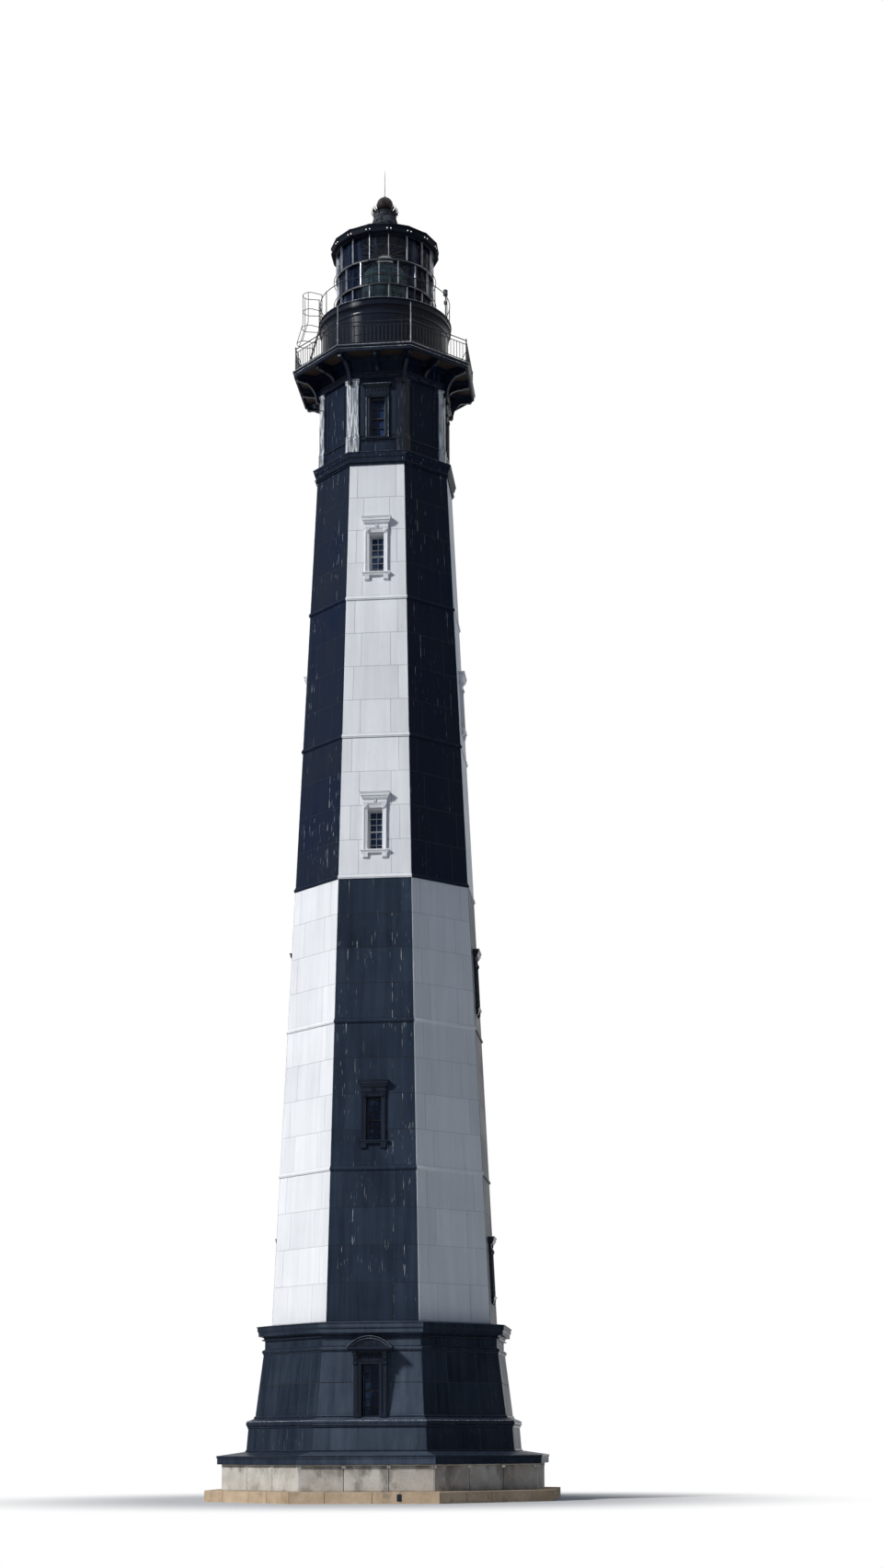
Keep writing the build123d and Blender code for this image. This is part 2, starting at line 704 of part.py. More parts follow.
def sash(width, height, setback):
    """A pair of sashes behind the wall's face: a frame and the rail where the two sashes meet."""
    light = (height - 3 * SASH_STILE) / 2
    with BuildPart() as frame:
        with BuildSketch(Plane.YZ.offset(-setback)):
            with Locations((0, height / 2)):
                Rectangle(width - 2 * FIT, height - 2 * FIT)
            with Locations((0, SASH_STILE + light / 2), (0, height - SASH_STILE - light / 2)):
                Rectangle(width - 2 * SASH_STILE, light, mode=Mode.SUBTRACT)
        extrude(amount=-SASH_DEPTH)
    return frame.part


def pane(width, height, setback):
    """The sheet of glass behind a pair of sashes."""
    with BuildPart() as sheet:
        with BuildSketch(Plane.YZ.offset(-setback - SASH_DEPTH)):
            with Locations((0, height / 2)):
                Rectangle(width - 2 * FIT, height - 2 * FIT)
        extrude(amount=-GLASS)
    return sheet.part


# Sashes and glass of every window
watch_opening_z = WATCH_SILL_Z + WATCH_OPENING_RISE
watch_window_places = wall_places(WATCH_WALL_INRADIUS, watch_opening_z, 0, LEFT_AND_RIGHT, 4)
shaft_sash = sash(OPENING_WIDTH, OPENING_HEIGHT, SASH_SETBACK)
base_sash = sash(BASE_OPENING_WIDTH, BASE_OPENING_HEIGHT, SASH_SETBACK)
watch_sash = sash(WATCH_OPENING_WIDTH, WATCH_OPENING_HEIGHT, WATCH_SETBACK)
with BuildPart() as white_sashes:
    with Locations(*white_places):
        add(shaft_sash)
write("white_sashes", white_sashes.part)
with BuildPart() as black_sashes:
    with Locations(*black_places):
        add(shaft_sash)
    with Locations(*base_opening_places):
        add(base_sash)
    with Locations(*watch_window_places):
        add(watch_sash)
write("black_sashes", black_sashes.part)
with BuildPart() as window_glass:
    with Locations(*white_places, *black_places):
        add(pane(OPENING_WIDTH, OPENING_HEIGHT, SASH_SETBACK))
    with Locations(*base_opening_places):
        add(pane(BASE_OPENING_WIDTH, BASE_OPENING_HEIGHT, SASH_SETBACK))
    with Locations(*watch_window_places):
        add(pane(WATCH_OPENING_WIDTH, WATCH_OPENING_HEIGHT, WATCH_SETBACK))
write("window_glass", window_glass.part)

# Watch room: ledge, recessed walls, corner pilasters and window surrounds
watch_landing_out = SHAFT_TOP_INRADIUS - WATCH_LANDING_SETBACK + FIT
band_z = WATCH_LEDGE_Z + WATCH_LEDGE_HEIGHT / 2
band_inradius = WATCH_LEDGE_FOOT_INRADIUS + WATCH_BAND_LEAN
watch_ledge_face = mitred_face(
    [
        (WATCH_LEDGE_INNER_INRADIUS, WATCH_LEDGE_Z + LANDING_THICKNESS + FIT),
        (watch_landing_out, WATCH_LEDGE_Z + LANDING_THICKNESS + FIT),
        (watch_landing_out, WATCH_LEDGE_Z),
        (WATCH_LEDGE_FOOT_INRADIUS, WATCH_LEDGE_Z),
        (band_inradius, band_z),
        (band_inradius + WATCH_BAND_STEP, band_z + WATCH_BAND_RISE),
        (WATCH_LEDGE_TOP_INRADIUS - WATCH_NOSE, WATCH_Z - WATCH_NOSE_HEIGHT - WATCH_NOSE),
        (WATCH_LEDGE_TOP_INRADIUS, WATCH_Z - WATCH_NOSE_HEIGHT),
        (WATCH_LEDGE_TOP_INRADIUS, WATCH_Z - WATCH_NOSE),
        (PILASTER_INRADIUS + PILASTER_BASE_PROJECTION, WATCH_Z),
        (WATCH_LEDGE_INNER_INRADIUS, WATCH_Z),
    ],
    joint=JOINT,
)
with BuildPart() as watch_room_ledge:
    with PolarLocations(0, SIDES):
        add(watch_ledge_face)
write("watch_room_ledge", watch_room_ledge.part)

watch_face = mitred_face(
    [
        (WATCH_LEDGE_INNER_INRADIUS, WATCH_Z),
        (WATCH_DADO_INRADIUS, WATCH_Z),
        (WATCH_DADO_INRADIUS, WATCH_Z + WATCH_DADO_HEIGHT),
        (WATCH_SILL_INRADIUS, WATCH_Z + WATCH_DADO_HEIGHT + BAND_BEVEL),
        (WATCH_SILL_INRADIUS, WATCH_SILL_Z - BAND_BEVEL),
        (WATCH_WALL_INRADIUS, WATCH_SILL_Z),
        (WATCH_WALL_INRADIUS, FRIEZE_RING_Z),
        (WATCH_LEDGE_INNER_INRADIUS, FRIEZE_RING_Z),
    ],
    joint=JOINT,
)
with BuildPart() as watch_room_walls:
    with PolarLocations(0, SIDES):
        add(watch_face)
    cut_windows(watch_window_places, WATCH_OPENING_WIDTH, WATCH_OPENING_HEIGHT, WALL)
write("watch_room_walls", watch_room_walls.part)


def corner_block(projection, foot, height, leg):
    """A block bent round a corner of the watch room, with its corner on +X."""
    turn = math.radians(HALF_FACE)
    along = Vector(-math.sin(turn), math.cos(turn))
    out = Vector(math.cos(turn), math.sin(turn))
    inner_corner = Vector(WATCH_WALL_INRADIUS * CORNER, 0)
    outer_corner = Vector((PILASTER_INRADIUS + projection) * CORNER, 0)
    end = outer_corner + along * leg
    thickness = PILASTER_INRADIUS + projection - WATCH_WALL_INRADIUS
    root = end - out * thickness
    with BuildPart() as block:
        with BuildSketch(Plane.XY.offset(foot)):
            with BuildLine():
                Polyline(
                    inner_corner,
                    root,
                    end,
                    outer_corner,
                    (end.X, -end.Y),
                    (root.X, -root.Y),
                    close=True,
                )
            make_face()
        extrude(amount=height)
    return block.part


with BuildPart() as pilaster:
    cap_foot = FRIEZE_RING_Z - PILASTER_CAP_HEIGHT
    add(corner_block(0, WATCH_Z, WATCH_WALL_HEIGHT, PILASTER_LEG))
    base_leg = PILASTER_LEG + PILASTER_BASE_PROJECTION
    add(corner_block(PILASTER_BASE_PROJECTION, WATCH_Z, PILASTER_BASE_HEIGHT, base_leg))
    cap_leg = PILASTER_LEG + PILASTER_CAP_PROJECTION
    add(corner_block(PILASTER_CAP_PROJECTION, cap_foot, PILASTER_CAP_HEIGHT, cap_leg))
    add(watch_face.rotate(Axis.Z, HALF_FACE), mode=Mode.SUBTRACT)
    add(watch_face.rotate(Axis.Z, -HALF_FACE), mode=Mode.SUBTRACT)
with BuildPart() as watch_room_pilasters:
    with PolarLocations(0, SIDES, start_angle=HALF_FACE):
        add(pilaster.part)
write("watch_room_pilasters", watch_room_pilasters.part)

with BuildPart() as watch_surround:
    frame_width = WATCH_OPENING_WIDTH + 2 * ARCHITRAVE_WIDTH
    frame_height = WATCH_OPENING_HEIGHT + ARCHITRAVE_WIDTH
    with BuildSketch(Plane.YZ):
        with Locations((0, (frame_height - WATCH_OPENING_RISE) / 2)):
            Rectangle(frame_width, frame_height + WATCH_OPENING_RISE)
        with Locations((0, WATCH_OPENING_HEIGHT / 2)):
            Rectangle(WATCH_OPENING_WIDTH, WATCH_OPENING_HEIGHT, mode=Mode.SUBTRACT)
    extrude(amount=ARCHITRAVE_DEPTH)
    standing_block(WATCH_FRIEZE_WIDTH, WATCH_FRIEZE_HEIGHT, WATCH_FRIEZE_DEPTH, frame_height)
    hood_z = frame_height + WATCH_FRIEZE_HEIGHT
    standing_block(
        WATCH_HOOD_WIDTH - 2 * WATCH_HOOD_STEP,
        WATCH_HOOD_HEIGHT / 2,
        WATCH_HOOD_DEPTH - WATCH_HOOD_STEP,
        hood_z,
    )
    standing_block(
        WATCH_HOOD_WIDTH,
        WATCH_HOOD_HEIGHT / 2,
        WATCH_HOOD_DEPTH,
        hood_z + WATCH_HOOD_HEIGHT / 2,
    )
with BuildPart() as watch_window_surrounds:
    with Locations(*watch_window_places):
        add(watch_surround.part)
write("watch_window_surrounds", watch_window_surrounds.part)

# Frieze over the watch room, and the wall that the gallery brackets stand on
frieze_bead_inradius = FRIEZE_RING_INRADIUS + FRIEZE_BEAD_PROJECTION
frieze_outline = [
    (WATCH_LEDGE_INNER_INRADIUS, FRIEZE_RING_Z),
    (FRIEZE_RING_INRADIUS, FRIEZE_RING_Z),
    (FRIEZE_RING_INRADIUS, BRACKET_Z - FRIEZE_BEAD_HEIGHT),
    (frieze_bead_inradius, BRACKET_Z - FRIEZE_BEAD_HEIGHT + FRIEZE_BEAD_PROJECTION),
    (frieze_bead_inradius, BRACKET_Z - BAND_BEVEL),
    (BRACKET_WALL_INRADIUS, BRACKET_Z),
    (BRACKET_WALL_INRADIUS, DECK_UNDERSIDE_Z),
    (WATCH_LEDGE_INNER_INRADIUS, DECK_UNDERSIDE_Z),
]
with BuildPart() as gallery_frieze:
    with PolarLocations(0, SIDES):
        add(mitred_face(frieze_outline, joint=JOINT))
write("gallery_frieze", gallery_frieze.part)


def gallery_bracket(wall, foot_z, reach):
    """A scrolled bracket from the wall to the deck's rim, drawn in the plane of +X."""
    with BuildPart() as bracket:
        with BuildSketch(Plane.XZ):
            with BuildLine():
                heel = (wall - BRACKET_SEAT, foot_z)
                foot = (wall + BRACKET_FOOT, foot_z)
                knee = ((foot[0] + reach) / 2, DECK_UNDERSIDE_Z - BRACKET_KNEE)
                toe = (reach, DECK_UNDERSIDE_Z - BRACKET_TOE)
                Polyline(foot, heel, (heel[0], DECK_UNDERSIDE_Z), (reach, DECK_UNDERSIDE_Z), toe)
                SagittaArc(toe, knee, BRACKET_BULGE)
                SagittaArc(knee, foot, -BRACKET_HOLLOW * math.dist(knee, foot))
            make_face()
        extrude(amount=BRACKET_THICKNESS / 2, both=True)
    return bracket.part


# Brackets: one in the middle of each face, and a deeper one that runs down each corner's pilaster
face_reach = DECK_INRADIUS - FASCIA_THICKNESS
corner_reach = face_reach * CORNER - BRACKET_THICKNESS / 2 * math.tan(math.radians(HALF_FACE))
frieze_sector = mitred_face(frieze_outline)
with BuildPart() as face_bracket:
    add(gallery_bracket(BRACKET_WALL_INRADIUS, BRACKET_Z, face_reach))
    add(frieze_sector, mode=Mode.SUBTRACT)
with BuildPart() as corner_bracket:
    add(gallery_bracket(PILASTER_INRADIUS * CORNER, BRACKET_Z - CORNER_BRACKET_DROP, corner_reach))
    add(frieze_sector.rotate(Axis.Z, HALF_FACE), mode=Mode.SUBTRACT)
    add(frieze_sector.rotate(Axis.Z, -HALF_FACE), mode=Mode.SUBTRACT)
    add(pilaster.part, mode=Mode.SUBTRACT)
with BuildPart() as gallery_brackets:
    with PolarLocations(0, SIDES):
        add(face_bracket.part)
    with PolarLocations(0, SIDES, start_angle=HALF_FACE):
        add(corner_bracket.part)
write("gallery_brackets", gallery_brackets.part)

# Main gallery deck: a plate with a deep rim and ribs over the brackets
pocket_face = mitred_face(
    [
        (BRACKET_WALL_INRADIUS + DECK_RIB, DECK_UNDERSIDE_Z),
        (DECK_INRADIUS - FASCIA_THICKNESS, DECK_UNDERSIDE_Z),
        (DECK_INRADIUS - FASCIA_THICKNESS, DECK_Z - DECK_PLATE),
        (BRACKET_WALL_INRADIUS + DECK_RIB, DECK_Z - DECK_PLATE),
    ],
    joint=DECK_RIB,
)
with BuildPart() as deck_pocket:
    add(pocket_face)
    with Locations((DECK_INRADIUS, 0, DECK_UNDERSIDE_Z)):
        Box(DECK_INRADIUS, DECK_RIB, 2 * DECK_FASCIA, mode=Mode.SUBTRACT)
with BuildPart() as gallery_deck:
    add(octagon(DECK_UNDERSIDE_Z, DECK_INRADIUS - DECK_STEP))
    extrude(amount=DECK_FASCIA - DECK_PLATE)
    add(octagon(DECK_Z - DECK_PLATE, DECK_INRADIUS))
    extrude(amount=DECK_PLATE)
    with PolarLocations(0, SIDES):
        add(deck_pocket.part, mode=Mode.SUBTRACT)
write("gallery_deck", gallery_deck.part)

# Railing of the main gallery: one panel a face, between the corner posts
rail_inradius = DECK_INRADIUS - RAIL_SETBACK


def gallery_rail(rise):
    """One straight rail of the main gallery, its top at a height over the deck."""
    return mitred_face(
        [
            (rail_inradius - RAIL_SIZE / 2, DECK_Z + rise - RAIL_SIZE),
            (rail_inradius + RAIL_SIZE / 2, DECK_Z + rise - RAIL_SIZE),
            (rail_inradius + RAIL_SIZE / 2, DECK_Z + rise),
            (rail_inradius - RAIL_SIZE / 2, DECK_Z + rise),
        ],
        joint=POST_SIZE,
    )


second_rail_rise = RAIL_HEIGHT - SECOND_RAIL_DROP
with BuildPart() as railing_panel:
    add(gallery_rail(RAIL_HEIGHT))
    add(gallery_rail(second_rail_rise))
    add(gallery_rail(BOTTOM_RAIL_RISE))
    panel_width = 2 * rail_inradius * math.tan(math.radians(HALF_FACE)) - POST_SIZE
    with Locations((rail_inradius, 0, DECK_Z + BOTTOM_RAIL_RISE)):
        with GridLocations(0, panel_width / (BALUSTERS + 1), 1, BALUSTERS):
            Box(
                BALUSTER_SIZE,
                BALUSTER_SIZE,
                second_rail_rise - RAIL_SIZE - BOTTOM_RAIL_RISE,
                align=(Align.CENTER, Align.CENTER, Align.MIN),
            )
with BuildPart() as gallery_railing:
    with PolarLocations(0, SIDES):
        add(railing_panel.part)
write("gallery_railing", gallery_railing.part)

# Corner posts with a raking brace, two of them with a mast beside them
post_radius = rail_inradius * CORNER
brace_cut = BRACE_SIZE * math.hypot(BRACE_SPREAD, BRACE_HEIGHT)
with BuildPart() as gallery_post:
    with Locations((post_radius, 0, DECK_Z)):
        Box(POST_SIZE, POST_SIZE, RAIL_HEIGHT, align=(Align.CENTER, Align.CENTER, Align.MIN))
    with Locations((post_radius, 0, DECK_Z + RAIL_HEIGHT)):
        Box(POST_CAP, POST_CAP, POST_CAP, align=(Align.CENTER, Align.CENTER, Align.MIN))
    with BuildSketch(Plane.XZ):
        with BuildLine():
            Polyline(
                (post_radius, DECK_Z + BRACE_HEIGHT),
                (post_radius - BRACE_SPREAD, DECK_Z),
                (post_radius - BRACE_SPREAD - brace_cut / BRACE_HEIGHT, DECK_Z),
                (post_radius, DECK_Z + BRACE_HEIGHT + brace_cut / BRACE_SPREAD),
                close=True,
            )
        make_face()
    extrude(amount=BRACE_SIZE / 2, both=True)
with BuildPart() as gallery_posts:
    with PolarLocations(0, SIDES, start_angle=HALF_FACE):
        add(gallery_post.part)
    with PolarLocations(0, 2, start_angle=-90 - HALF_FACE, angular_range=4 * HALF_FACE):
        with Locations((post_radius + (POST_CAP + MAST_SIZE) / 2, 0, DECK_Z)):
            Box(MAST_SIZE, MAST_SIZE, MAST_HEIGHT, align=(Align.CENTER, Align.CENTER, Align.MIN))
write("gallery_posts", gallery_posts.part)

# Service room: a round wall in segments, with a cove at its head
drum_inner = DRUM_RADIUS - DRUM_WALL
cove_out = LANTERN_DECK_RADIUS - COVE_SETBACK
with BuildPart() as drum_segment:
    with BuildSketch(Plane.XZ):
        with BuildLine():
            Polyline(
                (DRUM_RADIUS, COVE_Z),
                (DRUM_RADIUS, DECK_Z),
                (drum_inner, DECK_Z),
                (drum_inner, LANTERN_DECK_UNDERSIDE_Z),
                (cove_out, LANTERN_DECK_UNDERSIDE_Z),
            )
            SagittaArc((cove_out, LANTERN_DECK_UNDERSIDE_Z), (DRUM_RADIUS, COVE_Z), -COVE_HOLLOW)
        make_face()
    revolve(axis=Axis.Z)
    keep_sector(180 / DRUM_SEGMENTS, JOINT)
with BuildPart() as service_room_wall:
    with PolarLocations(0, DRUM_SEGMENTS):
        add(drum_segment.part)
write("service_room_wall", service_room_wall.part)

with BuildPart() as lantern_deck:
    with BuildSketch(Plane.XZ):
        with BuildLine():
            Polyline(
                (0, LANTERN_DECK_UNDERSIDE_Z),
                (LANTERN_DECK_RADIUS - DECK_NOSE, LANTERN_DECK_UNDERSIDE_Z),
                (LANTERN_DECK_RADIUS - DECK_NOSE, LANTERN_Z - DECK_LIP),
                (LANTERN_DECK_RADIUS, LANTERN_Z - DECK_LIP),
                (LANTERN_DECK_RADIUS, LANTERN_Z),
                (0, LANTERN_Z),
                close=True,
            )
        make_face()
    revolve(axis=Axis.Z)
write("lantern_deck", lantern_deck.part)


def ring_plan(height, outer, inner):
    """A many-sided ring, its corners where the lantern's bars stand."""
    with BuildSketch(Plane.XY.offset(height)) as plan:
        RegularPolygon(outer, 2 * LANTERN_SIDES)
        RegularPolygon(inner, 2 * LANTERN_SIDES, mode=Mode.SUBTRACT)
    return plan.sketch


# Railing of the lantern gallery: a single rail, with a post in the middle of each bay
half_bay = 180 / LANTERN_SIDES
with BuildPart() as lantern_rail_bay:
    add(
        ring_plan(
            LANTERN_Z + LANTERN_RAIL_HEIGHT - LANTERN_RAIL_SIZE,
            LANTERN_RAIL_RADIUS + LANTERN_RAIL_SIZE / 2,
            LANTERN_RAIL_RADIUS - LANTERN_RAIL_SIZE / 2,
        )
    )
    extrude(amount=LANTERN_RAIL_SIZE)
    keep_sector(half_bay, JOINT)
    with Locations((LANTERN_RAIL_RADIUS, 0, LANTERN_Z)):
        Box(
            LANTERN_POST_SIZE,
            LANTERN_POST_SIZE,
            LANTERN_RAIL_HEIGHT,
            align=(Align.CENTER, Align.CENTER, Align.MIN),
        )
with BuildPart() as lantern_railing:
    with PolarLocations(0, LANTERN_SIDES, start_angle=half_bay):
        add(lantern_rail_bay.part)
write("lantern_railing", lantern_railing.part)

# Lantern glass: one tall pane a bay, bent at its middle
with BuildPart() as lantern_pane:
    add(ring_plan(LANTERN_Z, GLASS_RADIUS, GLASS_RADIUS - PANE))
    extrude(amount=GLAZING_HEIGHT)
    keep_sector(half_bay, JOINT)
with BuildPart() as lantern_glass:
    with PolarLocations(0, LANTERN_SIDES):
        add(lantern_pane.part)
write("lantern_glass", lantern_glass.part)

# Glazing frame outside the glass: four rings, and bars that change places in the middle row
bar_inner = GLASS_RADIUS + FIT
ring_feet = (0, TRANSOM_RISES[0], TRANSOM_RISES[1], GLAZING_HEIGHT - GLAZING_RING_SIZE)
ring_heights = (GLAZING_RING_SIZE, TRANSOM_SIZE, TRANSOM_SIZE, GLAZING_RING_SIZE)
with BuildPart() as glazing_frame:
    for foot, height in zip(ring_feet, ring_heights):
        add(ring_plan(LANTERN_Z + foot, bar_inner + BAR_DEPTH, bar_inner))
        extrude(amount=height)
    for row in range(3):
        foot = ring_feet[row] + ring_heights[row]
        start = 0 if row == 1 else half_bay
        with PolarLocations(0, LANTERN_SIDES, start_angle=start):
            with Locations((bar_inner, 0, LANTERN_Z + foot)):
                Box(
                    BAR_DEPTH - BAR_RECESS,
                    BAR_WIDTH,
                    ring_feet[row + 1] - foot,
                    align=(Align.MIN, Align.CENTER, Align.MIN),
                )
write("glazing_frame", glazing_frame.part)

# Two handhold rings round the glass, held off the transoms by clips
handhold_inner = bar_inner + BAR_DEPTH + HANDHOLD_GAP
with BuildPart() as lantern_handholds:
    for rise in TRANSOM_RISES:
        middle = LANTERN_Z + rise + TRANSOM_SIZE / 2
        add(ring_plan(middle - HANDHOLD_SIZE / 2, handhold_inner + HANDHOLD_SIZE, handhold_inner))
        extrude(amount=HANDHOLD_SIZE)
        with PolarLocations(0, LANTERN_SIDES, start_angle=half_bay):
            with Locations((bar_inner + BAR_DEPTH + FIT, 0, middle)):
                Box(
                    HANDHOLD_GAP + HANDHOLD_SIZE / 2,
                    HANDHOLD_CLIP,
                    HANDHOLD_CLIP,
                    align=(Align.MIN, Align.CENTER, Align.CENTER),
                )
write("lantern_handholds", lantern_handholds.part)

# Ceiling of the lantern, which reaches out to the gutter, with its radial ribs
eave_inradius = EAVE_RADIUS * math.cos(math.radians(half_bay))
gutter_inner = eave_inradius - GUTTER_WIDTH
with BuildPart() as lantern_ceiling:
    with BuildSketch(Plane.XY.offset(CEILING_Z)):
        RegularPolygon(gutter_inner - FIT, LANTERN_SIDES, major_radius=False, rotation=half_bay)
    extrude(amount=CEILING)
    rib_reach = (GLASS_RADIUS - PANE) * math.cos(math.radians(half_bay / 2)) - RIB_CLEARANCE
    with PolarLocations(0, LANTERN_SIDES, start_angle=half_bay):
        with Locations((0, 0, CEILING_Z)):
            Box(rib_reach, CEILING_RIB, CEILING_RIB, align=(Align.MIN, Align.CENTER, Align.MAX))
write("lantern_ceiling", lantern_ceiling.part)

# Gutter round the eave, and the roof over it
gutter_face = mitred_face(
    [
        (gutter_inner, EAVE_Z + GUTTER_BEVEL),
        (eave_inradius - GUTTER_BEVEL, EAVE_Z),
        (eave_inradius, EAVE_Z + GUTTER_BEVEL),
        (eave_inradius, ROOF_Z - GUTTER_LIP_HEIGHT - GUTTER_LIP),
        (eave_inradius + GUTTER_LIP, ROOF_Z - GUTTER_LIP_HEIGHT),
        (eave_inradius + GUTTER_LIP, ROOF_Z),
        (gutter_inner, ROOF_Z),
    ],
    sides=LANTERN_SIDES,
    joint=JOINT,
)
with BuildPart() as eave_gutter:
    with PolarLocations(0, LANTERN_SIDES):
        add(gutter_face)
write("eave_gutter", eave_gutter.part)


def roof_prism(foot, radius, rise):
    """A many-sided spire frustum with the roof's own slope."""
    with BuildPart() as prism:
        with BuildSketch(Plane.XY.offset(foot)):
            RegularPolygon(radius, LANTERN_SIDES, rotation=half_bay)
        extrude(amount=rise, taper=roof_slope)
    return prism.part


roof_slope = math.degrees(
    math.atan((EAVE_RADIUS - ROOF_TOP_RADIUS) * math.cos(math.radians(half_bay)) / ROOF_RISE)
)
with BuildPart() as lantern_roof:
    add(roof_prism(ROOF_Z, EAVE_RADIUS, ROOF_RISE))
    add(roof_prism(ROOF_Z, EAVE_RADIUS - ROOF_SHELL * 2, ROOF_RISE - ROOF_SHELL), mode=Mode.SUBTRACT)
write("lantern_roof", lantern_roof.part)

# Ventilator: a conical collar under a disc of spikes, the ball and its rod
with BuildPart() as ventilator_collar:
    with BuildSketch(Plane.XZ):
        with BuildLine():
            Polyline(
                (0, COLLAR_Z),
                (ROOF_TOP_RADIUS - COLLAR_SETBACK, COLLAR_Z),
                (ROOF_TOP_RADIUS - 2 * COLLAR_SETBACK, COLLAR_Z + COLLAR_FOOT_HEIGHT),
                (COLLAR_TOP_RADIUS + COLLAR_FLARE, SPIKE_Z - COLLAR_NECK_HEIGHT),
                (COLLAR_TOP_RADIUS, SPIKE_Z),
                (0, SPIKE_Z),
                close=True,
            )
        make_face()
    revolve(axis=Axis.Z)
    with BuildSketch(Plane.XY.offset(SPIKE_Z)):
        RegularPolygon(SPIKE_DISC_RADIUS, SPIKES)
    extrude(amount=SPIKE_DISC_HEIGHT)
    with PolarLocations(0, SPIKES, start_angle=180 / SPIKES):
        with Locations((SPIKE_DISC_RADIUS - SPIKE_ROOT, 0, SPIKE_Z + SPIKE_DISC_HEIGHT / 2)):
            Box(
                SPIKE_RADIUS - SPIKE_DISC_RADIUS + SPIKE_ROOT,
                SPIKE_SIZE,
                SPIKE_SIZE,
                align=(Align.MIN, Align.CENTER, Align.CENTER),
            )
write("ventilator_collar", ventilator_collar.part)

with BuildPart() as ventilator_ball:
    with BuildSketch(Plane.XZ):
        with BuildLine():
            neck_z = SPIKE_Z + SPIKE_DISC_HEIGHT
            crown = (0, BALL_Z + BALL_RADIUS)
            neck = (BALL_NECK_RADIUS, BALL_Z - math.sqrt(BALL_RADIUS**2 - BALL_NECK_RADIUS**2))
            Polyline(crown, (0, neck_z), (BALL_NECK_RADIUS, neck_z), neck)
            ThreePointArc(neck, (BALL_RADIUS, BALL_Z), crown)
        make_face()
    revolve(axis=Axis.Z)
write("ventilator_ball", ventilator_ball.part)

with BuildPart() as lightning_rod:
    with BuildSketch(Plane.XY.offset(BALL_Z + BALL_RADIUS)):
        RegularPolygon(ROD_RADIUS, ROD_SIDES)
    extrude(amount=ROD_HEIGHT)
write("lightning_rod", lightning_rod.part)

# Lens, with the stand under it and the canopy over it
with BuildPart() as lens:
    with BuildSketch(Plane.XZ):
        with BuildLine():
            drum_foot = LENS_Z + LENS_DOME_HEIGHT
            drum_top = drum_foot + LENS_DRUM_HEIGHT
            Polyline(
                (LENS_RADIUS, drum_foot),
                (LENS_SHOULDER_RADIUS, LENS_Z + LENS_DOME_HEIGHT / 2),
                (LENS_END_RADIUS, LENS_Z),
                (0, LENS_Z),
                (0, LENS_TOP_Z),
                (LENS_END_RADIUS, LENS_TOP_Z),
                (LENS_SHOULDER_RADIUS, LENS_TOP_Z - LENS_DOME_HEIGHT / 2),
                (LENS_RADIUS, drum_top),
                close=True,
            )
        make_face()
    revolve(axis=Axis.Z)
write("lens", lens.part)

canopy_slope = math.degrees(math.atan((LENS_END_RADIUS - LENS_CHIMNEY_RADIUS) / LENS_CANOPY_HEIGHT))
canopy_top_z = LENS_TOP_Z + LENS_CANOPY_HEIGHT
with BuildPart() as lens_frame:
    with BuildSketch(Plane.XY.offset(LANTERN_Z)):
        RegularPolygon(LENS_STAND_RADIUS, LANTERN_SIDES)
    extrude(amount=LENS_STAND_HEIGHT)
    with BuildSketch(Plane.XY.offset(LENS_TOP_Z)):
        RegularPolygon(LENS_END_RADIUS, LANTERN_SIDES)
    extrude(amount=LENS_CANOPY_HEIGHT, taper=canopy_slope)
    with BuildSketch(Plane.XY.offset(canopy_top_z)):
        RegularPolygon(LENS_PIPE_RADIUS, LANTERN_SIDES)
    extrude(amount=CEILING_Z - CEILING_RIB - FIT - canopy_top_z)
write("lens_frame", lens_frame.part)

# Red pane of the sector, inside the glass
with BuildPart() as red_sector_pane:
    with PolarLocations(0, 1, start_angle=RED_PANE_ANGLE):
        with Locations((RED_PANE_OUT, 0, LANTERN_Z)):
            Box(GLASS, RED_PANE_WIDTH, RED_PANE_HEIGHT, align=(Align.CENTER, Align.CENTER, Align.MIN))
write("red_sector_pane", red_sector_pane.part)

# Ladder from the main gallery to the lantern gallery, and its cage of hoops
ladder_head_z = LANTERN_Z + LANTERN_RAIL_HEIGHT
ladder_bend_z = LANTERN_DECK_UNDERSIDE_Z
ladder_top_out = LANTERN_DECK_RADIUS + FIT + LADDER_BAR / 2


def ladder_out(height):
    """Distance of the ladder's middle line from the axis at a height."""
    lean = (LADDER_FOOT_OUT - ladder_top_out) / (ladder_bend_z - DECK_Z)
    return max(ladder_top_out, LADDER_FOOT_OUT - lean * (height - DECK_Z))


with BuildPart() as ladder_side:
    with BuildSketch(Plane.XZ):
        with BuildLine():
            half_bar = LADDER_BAR / 2
            Polyline(
                (LADDER_FOOT_OUT - half_bar, DECK_Z),
                (LADDER_FOOT_OUT + half_bar, DECK_Z),
                (ladder_top_out + half_bar, ladder_bend_z),
                (ladder_top_out + half_bar, ladder_head_z),
                (ladder_top_out - half_bar, ladder_head_z),
                (ladder_top_out - half_bar, ladder_bend_z),
                close=True,
            )
        make_face()
    extrude(amount=LADDER_BAR / 2, both=True)
with BuildPart() as ladder_frame:
    for side in (1, -1):
        add(ladder_side.part.moved(Location((0, side * (LADDER_WIDTH - LADDER_BAR) / 2, 0))))
    rung_step = (ladder_bend_z - DECK_Z) / LADDER_RUNGS
    for rung in range(1, LADDER_RUNGS):
        with Locations((ladder_out(DECK_Z + rung * rung_step), 0, DECK_Z + rung * rung_step)):
            Box(RUNG_SIZE, LADDER_WIDTH - LADDER_BAR, RUNG_SIZE)
with BuildPart() as gallery_ladder:
    with PolarLocations(0, 1, start_angle=LADDER_ANGLE):
        add(ladder_frame.part)
write("gallery_ladder", gallery_ladder.part)

